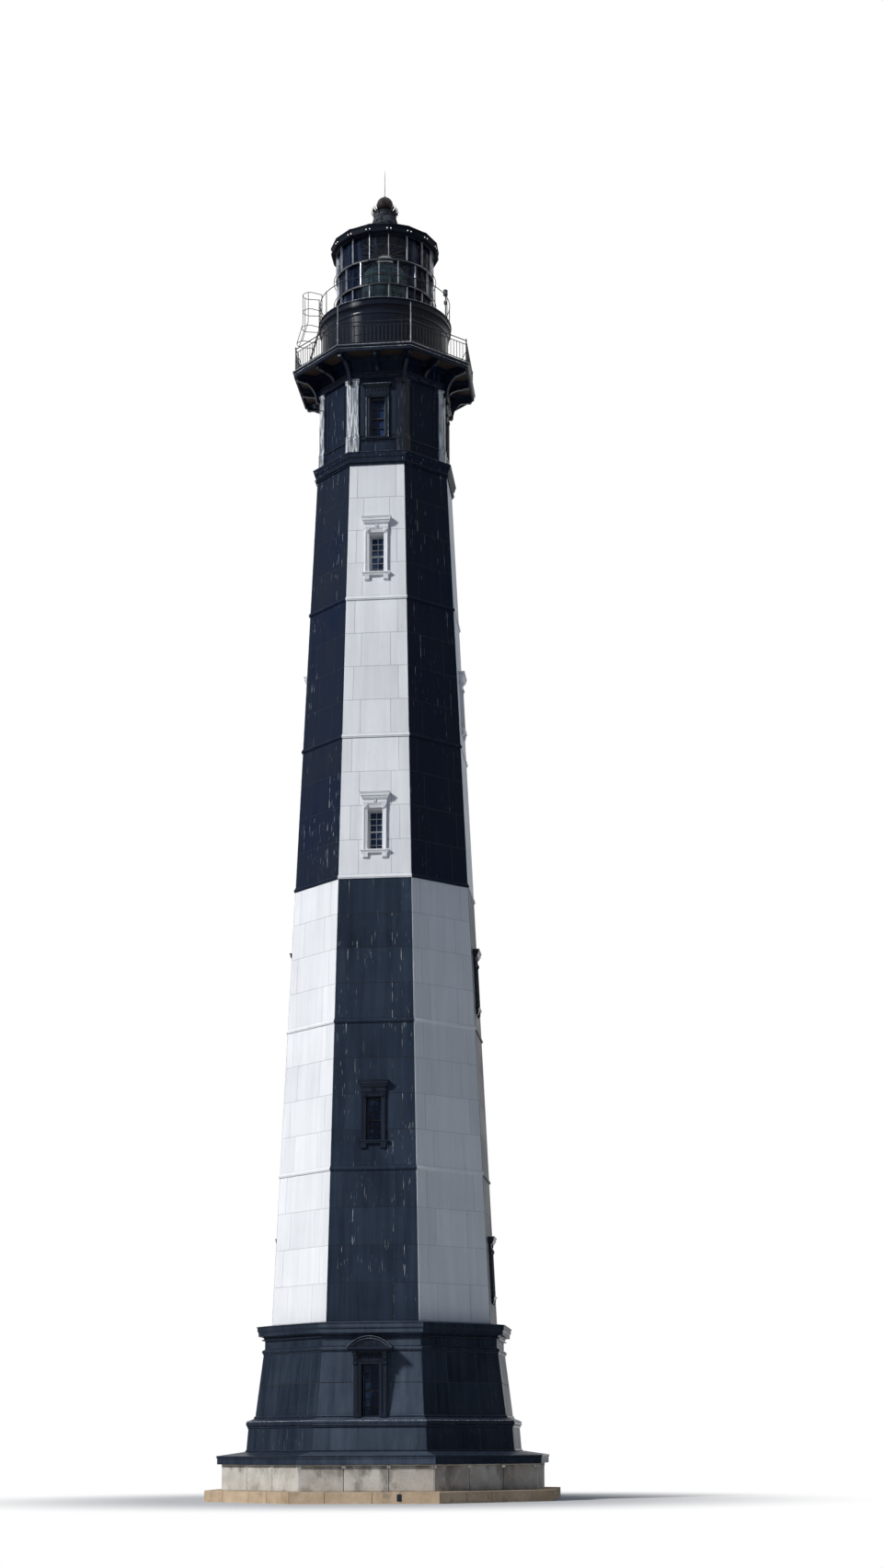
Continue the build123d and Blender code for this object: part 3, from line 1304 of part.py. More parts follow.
cage_radius = LADDER_WIDTH / 2 + HOOP_SIDE
cage_centre = HOOP_REACH - cage_radius
hoop_first_z = DECK_Z + HOOP_FIRST
hoop_step = (ladder_head_z - HOOP_SIZE - hoop_first_z) / (HOOPS - 1)


def hoop_plan(height):
    """A hoop in plan: half of a twelve-sided ring with two legs back to the ladder."""
    near = ladder_out(height) + half_bar + FIT
    leg = LADDER_WIDTH / 2 - half_bar
    middle = near + cage_centre
    turns = [math.radians(angle) for angle in range(-90, 91, HOOP_TURN)]
    bend = [(middle + cage_radius * math.cos(turn), cage_radius * math.sin(turn)) for turn in turns]
    with BuildSketch(Plane.XY.offset(height)) as plan:
        with BuildLine():
            Polyline((near, -leg), *bend, (near, leg))
        trace(line_width=HOOP_SIZE)
        with Locations((near - HOOP_SIZE, 0)):
            Rectangle(2 * HOOP_SIZE, 2 * cage_radius, mode=Mode.SUBTRACT)
    return plan.sketch


def cage_strap(angle):
    """A flat strap down the outside of the hoops, following the ladder's lean."""
    out = half_bar + cage_centre + cage_radius * math.cos(math.radians(angle))
    low = (ladder_out(hoop_first_z) + out, hoop_first_z)
    bend = (ladder_top_out + out, ladder_bend_z)
    high = (ladder_top_out + out, hoop_first_z + (HOOPS - 1) * hoop_step + HOOP_SIZE)
    with BuildPart() as strap:
        with BuildSketch(Plane.XZ.offset(-cage_radius * math.sin(math.radians(angle)))):
            with BuildLine():
                Polyline(
                    low,
                    bend,
                    high,
                    (high[0] + HOOP_SIZE, high[1]),
                    (bend[0] + HOOP_SIZE, bend[1]),
                    (low[0] + HOOP_SIZE, low[1]),
                    close=True,
                )
            make_face()
        extrude(amount=STRAP_WIDTH / 2, both=True)
    return strap.part


with BuildPart() as cage_frame:
    for hoop in range(HOOPS):
        add(hoop_plan(hoop_first_z + hoop * hoop_step))
        extrude(amount=HOOP_SIZE)
    for angle in STRAP_ANGLES:
        add(cage_strap(angle))
with BuildPart() as ladder_cage:
    with PolarLocations(0, 1, start_angle=LADDER_ANGLE):
        add(cage_frame.part)
write("ladder_cage", ladder_cage.part)

# Signal lamp on a post just inside the lantern gallery's railing
lamp_out = LANTERN_RAIL_RADIUS - (LANTERN_POST_SIZE + LAMP_POST_SIZE) / 2 - LAMP_CLEARANCE
with BuildPart() as signal_lamp:
    with PolarLocations(0, 1, start_angle=LAMP_ANGLE):
        with Locations((lamp_out, 0, LANTERN_Z)):
            Box(
                LAMP_POST_SIZE,
                LAMP_POST_SIZE,
                LAMP_POST_HEIGHT,
                align=(Align.CENTER, Align.CENTER, Align.MIN),
            )
        with Locations((lamp_out, 0, LANTERN_Z + LAMP_POST_HEIGHT)):
            Box(LAMP_BOX, LAMP_BOX, LAMP_BOX_HEIGHT, align=(Align.CENTER, Align.CENTER, Align.MIN))
write("signal_lamp", signal_lamp.part)
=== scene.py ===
import logging
import math
from dataclasses import dataclass
from enum import Enum
from functools import cache
from typing import Any, Optional, Sequence

import bpy
import numpy as np
from mathutils import Matrix


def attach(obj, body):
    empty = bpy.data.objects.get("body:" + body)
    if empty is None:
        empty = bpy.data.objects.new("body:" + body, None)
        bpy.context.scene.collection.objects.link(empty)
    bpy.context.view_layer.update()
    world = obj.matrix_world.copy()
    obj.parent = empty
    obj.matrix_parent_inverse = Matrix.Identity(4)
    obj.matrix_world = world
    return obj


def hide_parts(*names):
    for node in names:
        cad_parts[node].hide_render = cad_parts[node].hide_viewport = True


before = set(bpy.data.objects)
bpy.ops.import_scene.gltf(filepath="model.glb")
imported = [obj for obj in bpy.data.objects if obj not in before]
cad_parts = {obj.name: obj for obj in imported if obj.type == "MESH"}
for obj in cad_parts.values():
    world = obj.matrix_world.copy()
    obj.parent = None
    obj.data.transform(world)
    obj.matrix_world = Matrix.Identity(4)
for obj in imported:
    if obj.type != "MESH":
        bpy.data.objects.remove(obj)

# A half-size model of an eight-sided cast-iron lighthouse. Lengths are metres of the model.
# The origin is on the ground under the tower's axis, the front face looks towards -Y, and a
# ring's size is its inradius: the distance from the axis to the middle of a face.

log = logging.getLogger("lighthouse")
Colour = tuple[float, float, float]
Faces = list[np.ndarray]

SIDES = 8
LANTERN_SIDES = 16
HALF_FACE = math.pi / SIDES
HALF_PANE = math.pi / LANTERN_SIDES
IMAGE_HEIGHT = 1704


class Side(Enum):
    """The two sets of tower faces: those along X and Y, and those between them."""

    WINDOW = 0.0
    DIAGONAL = 2 * HALF_FACE


class Plane(Enum):
    """The order that turns a path's (a, b, c) into a wall's (out, along, up)."""

    WALL = (2, 0, 1)
    LEVEL = (1, 0, 2)
    UPRIGHT = (0, 2, 1)


def linear(colour: Colour) -> Colour:
    """Turn a colour of 0 to 255 a channel into linear light, by the sRGB standard's curve.

    Args:
        colour: red, green and blue, each of 0 to 255

    Returns:
        The same channels in linear light, of 0 to 1.
    """
    parts = np.array(colour) / 255
    light = np.where(parts <= 0.04045, parts / 12.92, ((parts + 0.055) / 1.055) ** 2.4)
    return tuple(float(part) for part in light)


# Shader recipes


class Signal:
    """A number that varies over a surface, ready for Python arithmetic."""

    def __init__(self, recipe: "Recipe", socket: Any) -> None:
        """Keep the socket and the recipe that it belongs to."""
        self.recipe = recipe
        self.socket = socket

    def maths(self, operation: str, *others: Any) -> "Signal":
        """Add one Math node.

        Args:
            operation: name of the Math operation
            others: its other values, after this one

        Returns:
            The result of the node.
        """
        values = {number: value for number, value in enumerate((self, *others))}
        return self.recipe.node("ShaderNodeMath", {"operation": operation}, values)

    def __add__(self, other: Any) -> "Signal":
        """Sum."""
        return self.maths("ADD", other)

    __radd__ = __add__

    def __mul__(self, other: Any) -> "Signal":
        """Product."""
        return self.maths("MULTIPLY", other)

    __rmul__ = __mul__

    def __sub__(self, other: Any) -> "Signal":
        """Difference."""
        return self.maths("SUBTRACT", other)

    def __rsub__(self, other: Any) -> "Signal":
        """Difference the other way round."""
        return self.maths("MULTIPLY_ADD", -1.0, other)

    def __truediv__(self, other: Any) -> "Signal":
        """Quotient."""
        return self.maths("DIVIDE", other)

    def step(self, low: float, high: float) -> "Signal":
        """Rise smoothly from 0 at low to 1 at high."""
        settings = {"interpolation_type": "SMOOTHSTEP"}
        return self.recipe.node("ShaderNodeMapRange", settings, {0: self, 1: low, 2: high})

    def held(self) -> "Signal":
        """Keep the value from 0 to 1."""
        return self.recipe.node("ShaderNodeClamp", {}, {0: self})


class Recipe:
    """The nodes of one material or world under construction."""

    def __init__(self, owner: Any, output: str = "ShaderNodeOutputMaterial") -> None:
        """Start with an empty tree, the output node and the object's coordinates.

        Args:
            owner: the material or the world that holds the nodes
            output: type of its output node
        """
        self.owner = owner
        owner.use_nodes = True
        self.tree = owner.node_tree
        self.tree.nodes.clear()
        self.out = self.tree.nodes.new(output)
        self.place = self.node("ShaderNodeTexCoord", {}, {}, "Object")

    def node(self, kind: str, settings: dict[str, Any], inputs: dict[Any, Any], output: Any = 0) -> Signal:
        """Add a node, set it up and fill its sockets.

        Args:
            kind: type of the node
            settings: its properties
            inputs: a value or a Signal for each socket, by name or number; a colour of three
                numbers is from 0 to 255, and one of four is in linear light
            output: the output that is wanted, by name or number

        Returns:
            The wanted output.
        """
        node = self.tree.nodes.new(kind)
        for name, value in settings.items():
            setattr(node, name, value)
        for key, value in inputs.items():
            socket = node.inputs[key]
            if isinstance(value, Signal):
                self.tree.links.new(value.socket, socket)
            elif socket.type == "RGBA" and len(value) == 3:
                socket.default_value = (*linear(value), 1.0)
            else:
                socket.default_value = value
        return Signal(self, node.outputs[output])

    def stretched(self, along_x: float, along_y: float, along_z: float) -> Signal:
        """The object's coordinates, multiplied along each axis."""
        inputs = {0: self.place, 1: (along_x, along_y, along_z)}
        return self.node("ShaderNodeVectorMath", {"operation": "MULTIPLY"}, inputs)

    def part(self, axis: str) -> Signal:
        """One of the object's coordinates."""
        return self.node("ShaderNodeSeparateXYZ", {}, {0: self.place}, axis)

    def noise(self, where: Signal, scale: float, detail: float = 3.0, rough: float = 0.55) -> Signal:
        """Cloudy noise from 0 to 1.

        Args:
            where: coordinates
            scale: clouds in a metre
            detail: layers of finer noise
            rough: weight of the finer layers

        Returns:
            The noise's value.
        """
        inputs = {"Vector": where, "Scale": scale, "Detail": detail, "Roughness": rough}
        return self.node("ShaderNodeTexNoise", {}, inputs)

    def attribute(self, name: str) -> Signal:
        """A value that the piece's mesh carries, 0 where it has none."""
        return self.node("ShaderNodeAttribute", {"attribute_name": name}, {}, "Fac")

    def ray(self, kind: str) -> Signal:
        """Whether the ray that looks is of a kind, as 0 or 1."""
        return self.node("ShaderNodeLightPath", {}, {}, f"Is {kind} Ray")

    def blend(self, below: Any, above: Any, amount: Any) -> Signal:
        """Mix two colours: below where the amount is 0, above where it is 1."""
        return self.node("ShaderNodeMix", {"data_type": "RGBA"}, {0: amount, 6: below, 7: above}, 2)

    def mixed(self, below: Signal, above: Signal, amount: Signal) -> Signal:
        """Mix two shaders: below where the amount is 0, above where it is 1."""
        return self.node("ShaderNodeMixShader", {}, {0: amount, 1: below, 2: above})

    def bump(self, height: Signal, distance: float, strength: float) -> Signal:
        """A normal that follows heights of 0 to 1 over a distance in metres, by a share."""
        inputs = {"Height": height, "Distance": distance, "Strength": strength}
        return self.node("ShaderNodeBump", {}, inputs, "Normal")

    def shade(self, **inputs: Any) -> Signal:
        """A Principled shader; sockets are named with _ for a space."""
        named = {name.replace("_", " "): value for name, value in inputs.items()}
        return self.node("ShaderNodeBsdfPrincipled", {}, named)

    def finish(self, shader: Signal) -> Any:
        """Connect the shader and hand over the material or world."""
        self.tree.links.new(shader.socket, self.out.inputs["Surface"])
        return self.owner


# Shapes, as numpy arrays


@dataclass(frozen=True)
class Place:
    """A spot on a wall, with the directions out of it, along it and up it."""

    origin: np.ndarray
    out: np.ndarray
    along: np.ndarray
    up: np.ndarray

    @staticmethod
    def on_wall(inradius: float, height: float, lean: float, turn: float) -> "Place":
        """The middle of a face of a ring.

        Args:
            inradius: distance from the axis
            height: height over the ground
            lean: lean of the wall towards the axis, in radians
            turn: direction of the face, in radians from +X

        Returns:
            The place.
        """
        cosine, sine = math.cos(turn), math.sin(turn)
        out = np.array([math.cos(lean) * cosine, math.cos(lean) * sine, math.sin(lean)])
        up = np.array([-math.sin(lean) * cosine, -math.sin(lean) * sine, math.cos(lean)])
        origin = np.array([inradius * cosine, inradius * sine, height])
        return Place(origin, out, np.array([-sine, cosine, 0.0]), up)

    def put(self, points: np.ndarray) -> np.ndarray:
        """Move (out, along, up) points to the wall: the origin plus each part along its axis."""
        return self.origin + points @ np.stack([self.out, self.along, self.up])

    def moved(self, out: float) -> "Place":
        """The same place, further out."""
        return Place(self.put(np.array([out, 0.0, 0.0])), self.out, self.along, self.up)


WORLD = Place(np.zeros(3), *np.eye(3))


def upright(turn: float) -> Place:
    """A place on the axis at ground level: out is a distance from the axis, up is a height."""
    return Place.on_wall(0.0, 0.0, 0.0, turn)


def wall_turns(start: float, count: int) -> list[float]:
    """Directions of count faces, evenly round the axis from start."""
    return [start + 2 * math.pi * number / count for number in range(count)]


def round_places(start: float, count: int) -> list[Place]:
    """Places on the axis at ground level that face count ways, evenly round from start."""
    return [upright(turn) for turn in wall_turns(start, count)]


def arc(middle: Sequence[float], radius: float, start: float, end: float, steps: int) -> np.ndarray:
    """Points of a circle's arc: the middle plus the radius along each angle, in degrees."""
    angles = np.radians(np.linspace(start, end, steps + 1))
    return np.stack([middle[0] + radius * np.cos(angles), middle[1] + radius * np.sin(angles)], -1)


def cyma(start: Sequence[float], end: Sequence[float], steps: int = 8) -> np.ndarray:
    """An S-curve between two points: along the chord the side step follows t - sin(2 pi t) / 2 pi.

    Args:
        start: first point
        end: last point
        steps: number of parts of the curve

    Returns:
        Points from start to end, one row each.
    """
    t = np.linspace(0, 1, steps + 1)
    s = t - np.sin(2 * np.pi * t) / (2 * np.pi)
    first, last = np.asarray(start, float), np.asarray(end, float)
    return np.stack([first[0] + (last[0] - first[0]) * t, first[1] + (last[1] - first[1]) * s], -1)


def line(*parts: Any) -> np.ndarray:
    """Join points and runs of points into one line."""
    return np.concatenate([np.atleast_2d(np.asarray(part, float)) for part in parts])


def portal(half: float, foot: float, head: float) -> np.ndarray:
    """A path up one side, across and down the other, half a width each side of the middle."""
    return line((-half, foot), (-half, head), (half, head), (half, foot))


def circle(radius: float, height: float, count: int) -> np.ndarray:
    """Points of a level circle round the axis."""
    angle = 2 * np.pi * np.arange(count) / count
    return np.stack([radius * np.cos(angle), radius * np.sin(angle), np.full(count, height)], -1)


def ring_faces(count_u: int, count_v: int, closed_v: bool) -> Faces:
    """Quads of a grid of loops: u runs round each loop, and v from loop to loop.

    Args:
        count_u: points in a loop
        count_v: number of loops
        closed_v: whether the last loop joins the first, and otherwise both ends get a cap

    Returns:
        Arrays of faces, for points numbered loop by loop.
    """
    u = np.arange(count_u)
    v = np.arange(count_v if closed_v else count_v - 1)
    here = v[:, None] * count_u + u
    there = (v[:, None] + 1) % count_v * count_u + u
    quads = np.stack([here, np.roll(here, -1, 1), np.roll(there, -1, 1), there], -1)
    faces = [quads.reshape(-1, 4)]
    if not closed_v:
        faces += [u[None, ::-1], (count_v - 1) * count_u + u[None]]
    return faces


def inset(outline: np.ndarray, amount: float) -> np.ndarray:
    """Move an outline inwards: each corner goes along the sum of its two edges' inner normals,
    divided by one plus their product, so that every edge moves by the same amount.

    Args:
        outline: corners of a closed outline, in either turn
        amount: how far every edge moves

    Returns:
        The moved corners.
    """
    edge = np.roll(outline, -1, 0) - outline
    edge = edge / np.linalg.norm(edge, axis=1, keepdims=True)
    normal = np.stack([-edge[:, 1], edge[:, 0]], -1)
    before = np.roll(normal, 1, 0)
    cross = np.roll(outline, -1, 0)
    area = np.sum(outline[:, 0] * cross[:, 1] - cross[:, 0] * outline[:, 1])
    mitre = (normal + before) / (1 + np.sum(normal * before, 1, keepdims=True))
    return outline + math.copysign(amount, area) * mitre


class Shell:
    """Collects closed shapes into one mesh."""

    def __init__(self) -> None:
        """Start empty."""
        self.points: list[np.ndarray] = []
        self.faces: list[np.ndarray] = []
        self.tones: list[np.ndarray] = []
        self.count = 0

    def add(self, points: np.ndarray, faces: Faces, place: Place = WORLD, tone: float = 0.0) -> None:
        """Add one closed shape, turned right side out.

        The signed volume is the sum over the faces' fans of a . (b x c); where it is below
        zero, the faces are turned round.

        Args:
            points: (n, 3) array of out, along and up
            faces: arrays of point numbers, one array for each number of corners
            place: where the shape goes
            tone: lightness of the shape's paint, about 0
        """
        moved = place.put(points)
        centre = moved.mean(0)
        volume = 0.0
        for group in faces:
            corner = moved[group] - centre
            fan = np.cross(corner[:, 1:-1], corner[:, 2:])
            volume += float(np.sum(corner[:, :1] * fan))
        turned = [group[:, ::-1] if volume < 0 else group for group in faces]
        self.points.append(moved)
        self.faces += [group + self.count for group in turned]
        self.tones.append(np.full(len(moved), tone))
        self.count += len(moved)

    def loops(self, loops: np.ndarray, closed: bool = False, place: Place = WORLD, tone: float = 0.0) -> None:
        """Add a solid through (v, u, 3) loops, capped unless it is closed."""
        faces = ring_faces(loops.shape[1], loops.shape[0], closed)
        self.add(loops.reshape(-1, 3), faces, place, tone)

    def carry(
        self, profile: np.ndarray, corners: np.ndarray, plane: Plane, place: Place, closed: bool = False
    ) -> None:
        """Carry a closed profile along a flat path, mitred at its corners.

        At a corner the profile's first number is measured along the sum of the two normals
        over one plus their product, and its second number along the third axis.

        Args:
            profile: (n, 2) array: distance to the right of the path, and height over it
            corners: (m, 2) array of the path's corners
            plane: how the path lies on the wall
            place: where the shape goes
            closed: whether the path comes back to its start
        """
        step = np.roll(corners, -1, 0) - corners
        step = step / np.maximum(np.linalg.norm(step, axis=1, keepdims=True), 1e-9)
        normal = np.stack([step[:, 1], -step[:, 0]], -1)
        before = np.roll(normal, 1, 0)
        if not closed:
            before[0] = normal[0]
            normal[-1] = before[-1]
        mitre = (normal + before) / (1 + np.sum(normal * before, 1, keepdims=True))
        flat = corners[:, None] + profile[None, :, :1] * mitre[:, None]
        third = np.broadcast_to(profile[None, :, 1:], (*flat.shape[:2], 1))
        loops = np.concatenate([flat, third], -1)[..., list(plane.value)]
        self.loops(loops, closed, place)

    def slab(
        self,
        outline: np.ndarray,
        foot: float,
        top: float,
        bevel: float = 0.0,
        plane: Plane = Plane.WALL,
        place: Place = WORLD,
        tone: float = 0.0,
    ) -> None:
        """Add a flat shape with a bevelled upper edge.

        Args:
            outline: (n, 2) corners
            foot: third coordinate of its back
            top: third coordinate of its front
            bevel: size of the slope round the front
            plane: how the outline lies on the wall
            place: where the shape goes
            tone: lightness of the paint
        """
        rings = [(outline, foot), (outline, top)]
        if bevel > 0:
            rings = [(outline, foot), (outline, top - bevel), (inset(outline, bevel), top)]
        loops = np.stack([np.column_stack([ring, np.full(len(ring), third)]) for ring, third in rings])
        self.loops(loops[..., list(plane.value)], False, place, tone)

    def block(self, low: Sequence[float], high: Sequence[float], bevel: float, place: Place) -> None:
        """Add a block between two corners (out, along, up), its outer edges bevelled."""
        outline = line((low[1], low[2]), (high[1], low[2]), (high[1], high[2]), (low[1], high[2]))
        self.slab(outline, low[0], high[0], bevel, Plane.WALL, place)

    def ring(self, profile: np.ndarray, count: int, faceted: bool = False) -> None:
        """Turn a closed profile round the tower's axis into a ring.

        Each point is its radius times the cosine and sine of the angle. On a faceted ring
        the profile is given at the middle of a face, so its radius is over the cosine of
        half a face's angle, and the ring is turned by that half angle.

        Args:
            profile: (n, 2) radius and height, never on the axis
            count: number of steps round
            faceted: whether the steps are the ring's flat faces
        """
        corner = math.pi / count if faceted else 0.0
        angle = corner + 2 * np.pi * np.arange(count)[:, None] / count
        radius = profile[:, 0] / math.cos(corner)
        height = np.broadcast_to(profile[:, 1], (count, len(profile)))
        self.loops(np.stack([radius * np.cos(angle), radius * np.sin(angle), height], -1), True)

    def bead(self, radius: float, height: float, size: float, count: int = SIDES) -> None:
        """Add a round bead about the axis: on the tower's eight faces, on the lantern's sixteen,
        or with more steps as a round ring."""
        profile = arc((radius, height), size, 0, 315, 7)
        self.ring(profile, count, count <= LANTERN_SIDES)

    def turned(self, profile: np.ndarray, count: int, place: Place = WORLD) -> None:
        """Turn an open profile of radius and height, closed with a cap at each end."""
        self.loops(np.stack([circle(radius, height, count) for radius, height in profile]), False, place)

    def tube(
        self, path: np.ndarray, radius: Any, sides: int, place: Place = WORLD, closed: bool = False
    ) -> None:
        """Carry a circle along a path.

        The circle's two axes are square to the path's direction, which is the line between
        the neighbours of each point; the first axis is square to a fixed helper direction.

        Args:
            path: (n, 3) points
            radius: one radius, or one for each point
            sides: corners of the circle
            place: where it goes
            closed: whether the path joins its start
        """
        if closed:
            direction = np.roll(path, -1, 0) - np.roll(path, 1, 0)
        else:
            direction = np.gradient(path, axis=0)
        direction = direction / np.linalg.norm(direction, axis=1, keepdims=True)
        spread = np.abs(direction).max(0)
        helper = np.eye(3)[int(np.argmin(spread))]
        first = np.cross(direction, helper)
        first = first / np.linalg.norm(first, axis=1, keepdims=True)
        second = np.cross(direction, first)
        angle = (2 * np.pi * np.arange(sides) / sides)[None, :, None]
        size = np.broadcast_to(np.asarray(radius, float), (len(path),))[:, None, None]
        across = first[:, None] * np.cos(angle) + second[:, None] * np.sin(angle)
        self.loops(path[:, None] + size * across, closed, place)

    def knob(self, middle: Sequence[float], radius: float, flat: float, place: Place) -> None:
        """Add a ball, or a flattened one as a bolt's head: flat scales it along the way out.

        Args:
            middle: centre: out, along and up
            radius: the ball's radius
            flat: share of the radius that is left along the way out
            place: the frame that it stands in
        """
        rings, sides = 5, 10
        theta = np.linspace(0, np.pi, rings + 2)[1:-1]
        angle = 2 * np.pi * np.arange(sides) / sides
        out = flat * radius * np.cos(theta)[:, None] * np.ones(sides)
        side = radius * np.sin(theta)[:, None]
        loops = np.stack([out, side * np.cos(angle), side * np.sin(angle)], -1) + np.asarray(middle)
        self.loops(loops, False, place)

    def piece(self, name: str, finish: "Finish", slot: str, node: str = "", smooth: float = 30.0) -> None:
        """Make the mesh and its object, and hand it to the frame.

        Args:
            name: name of the piece
            finish: its finish
            slot: name of a material slot; not used
            node: the CAD node that it stands for, if any
            smooth: largest angle in degrees between faces that shade as one surface
        """
        points = np.concatenate(self.points)
        mesh = bpy.data.meshes.new(name)
        sizes = np.concatenate([np.full(len(group), group.shape[1]) for group in self.faces])
        corners = np.concatenate([group.reshape(-1) for group in self.faces])
        mesh.vertices.add(len(points))
        mesh.vertices.foreach_set("co", points.astype(np.float32).reshape(-1))
        mesh.loops.add(len(corners))
        mesh.loops.foreach_set("vertex_index", corners.astype(np.int32))
        mesh.polygons.add(len(sizes))
        starts = np.concatenate([[0], np.cumsum(sizes)[:-1]]).astype(np.int32)
        mesh.polygons.foreach_set("loop_start", starts)
        mesh.polygons.foreach_set("use_smooth", np.ones(len(sizes), bool))
        tone = mesh.attributes.new("tone", "FLOAT", "POINT")
        tone.data.foreach_set("value", np.concatenate(self.tones).astype(np.float32))
        mesh.update(calc_edges=True)
        mesh.validate()
        mesh.set_sharp_from_angle(angle=math.radians(smooth))
        mesh.materials.append(finish.material())
        piece = bpy.data.objects.new(name, mesh)
        bpy.context.scene.collection.objects.link(piece)
        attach(piece, "root")
        if node:
            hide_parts(node)
        log.info("%s: %d points, %d faces", name, len(points), len(sizes))


# Finishes

# Clouds in a metre along x, y and z, of the marks that water and wind leave.
RAIN = (7, 7, 0.35)
DRIPS = (16, 16, 1.6)
FLECKS = (64, 64, 2.6)
# The window panes' clouds: dust, and a painted reflection of the sky.
PANE_CLOUDS = (4, 4, 1.8)
SALT = (6, 6, 0.8)
WARM_WHITE = (1.0, 0.95, 0.85, 1.0)


@dataclass(frozen=True)
class IronPaint:
    """Old paint on cast iron: rain streaks, flecks where it has chipped, and rust, with a painted shade on
    the diagonal faces where a turned colour is given.
    """

    name: str
    coat: Colour
    streak: Colour
    fleck: Colour
    rust: Colour
    fleck_share: float = 0.3
    rust_share: float = 0.25
    roughness: float = 0.42
    gloss: float = 0.22
    tone_share: float = 1.0
    patch_from: float = 0.5
    fleck_from: float = 0.66
    # Painted shade: a darker colour that the diagonal faces take, for how the light falls on them.
    turned: Optional[Colour] = None
    relief: float = 0.55

    def make(self) -> bpy.types.Material:
        """Streaks are noise drawn out downwards, and flecks are the peaks of a finer one.

        A face between the X and the Y faces takes the turned colour, a painted shade: there
        the smaller of |x| and |y| is over tan 22.5 degrees times the larger.

        Returns:
            The material.
        """
        recipe = Recipe(bpy.data.materials.new(self.name))
        rain = recipe.noise(recipe.stretched(*RAIN), 1.0, 6, 0.62)
        cloud = recipe.noise(recipe.place, 1.1, 4)
        grain = recipe.noise(recipe.stretched(1, 1, 0.6), 42, 4, 0.6)
        tone = recipe.attribute("tone")
        wash = ((rain - 0.5) * 1.5 + (cloud - 0.5) * 0.9 + tone * self.tone_share + 0.5).held()
        coat = self.coat
        # Painted shade: the diagonal faces take the darker turned colour.
        if self.turned is not None:
            x = recipe.part("X").maths("ABSOLUTE")
            y = recipe.part("Y").maths("ABSOLUTE")
            share = x.maths("MINIMUM", y) / x.maths("MAXIMUM", y)
            coat = recipe.blend(self.coat, self.turned, share.step(0.412, 0.416))
        colour = recipe.blend(self.streak, coat, wash)
        patch = recipe.noise(recipe.place, 0.8, 3).step(self.patch_from, self.patch_from + 0.14)
        dash = recipe.noise(recipe.stretched(*FLECKS), 1.0, 2, 0.5)
        dash = dash.step(self.fleck_from, self.fleck_from + 0.05)
        colour = recipe.blend(colour, self.fleck, (dash * patch * self.fleck_share).held())
        drip = recipe.noise(recipe.stretched(*DRIPS), 1.0, 5, 0.65).step(0.64, 0.74)
        spread = recipe.noise(recipe.place, 2.3, 4, 0.6).step(0.5, 0.66)
        colour = recipe.blend(colour, self.rust, (drip * spread * self.rust_share).held())
        roughness = (cloud - 0.5) * 0.3 + (rain - 0.5) * 0.25 + self.roughness
        return recipe.finish(recipe.shade(
            Base_Color=colour,
            Roughness=roughness.held(),
            Normal=recipe.bump(grain * 0.35 + rain * 0.65, 0.006, self.relief),
            Specular_IOR_Level=self.gloss,
        ))


@dataclass(frozen=True)
class Slabstone:
    """Weathered granite: mottled, stained where water stands, speckled close by."""

    name: str
    light: Colour
    warm: Colour
    stain: Colour
    stain_share: float
    damp_from: float = 9.0

    def make(self) -> bpy.types.Material:
        """Two cloud layers mix the stone's colours, and a sharper one lays the stains.

        Returns:
            The finished material.
        """
        recipe = Recipe(bpy.data.materials.new(self.name))
        cloud = recipe.noise(recipe.place, 2.2, 6, 0.62)
        fine = recipe.noise(recipe.place, 38, 5, 0.7)
        mix = ((cloud - 0.5) * 2.2 + (fine - 0.5) * 1.1 + recipe.attribute("tone") + 0.5).held()
        colour = recipe.blend(self.warm, self.light, mix)
        wet = recipe.noise(recipe.stretched(1.8, 1.8, 1.0), 1.4, 6, 0.66)
        wet = (wet + recipe.part("Z").step(self.damp_from, self.damp_from + 0.2) * 0.08).step(0.51, 0.68)
        colour = recipe.blend(colour, self.stain, (wet * self.stain_share).held())
        speck = recipe.noise(recipe.place, 150, 2, 0.5).step(0.6, 0.68)
        colour = recipe.blend(colour, self.stain, (speck * 0.35).held())
        return recipe.finish(recipe.shade(
            Base_Color=colour,
            Roughness=(fine * 0.25 + 0.68).held(),
            Normal=recipe.bump(cloud * 0.6 + fine * 0.4, 0.014, 0.8),
        ))


@dataclass(frozen=True)
class BareMetal:
    """Metal without paint: dulled in clouds, with darker grime in streaks."""

    name: str
    colour: Colour
    grime: Colour
    metallic: float
    roughness: float
    grime_share: float = 0.6
    grime_scale: float = 6.0
    gloss: float = 0.5

    def make(self) -> bpy.types.Material:
        """Clouds dull the metal and lower how metallic it is where the grime lies.

        Returns:
            The finished material.
        """
        recipe = Recipe(bpy.data.materials.new(self.name))
        cloud = recipe.noise(recipe.stretched(1, 1, 0.5), self.grime_scale, 5, 0.62)
        fine = recipe.noise(recipe.place, 60, 3)
        dirt = (cloud.step(0.42, 0.68) * self.grime_share + (fine - 0.5) * 0.25).held()
        return recipe.finish(recipe.shade(
            Base_Color=recipe.blend(self.colour, self.grime, dirt),
            Metallic=(dirt * -0.5 + self.metallic).held(),
            Roughness=(dirt * 0.35 + self.roughness).held(),
            Normal=recipe.bump(fine * 0.5 + cloud * 0.5, 0.003, 0.5),
            Specular_IOR_Level=self.gloss,
        ))


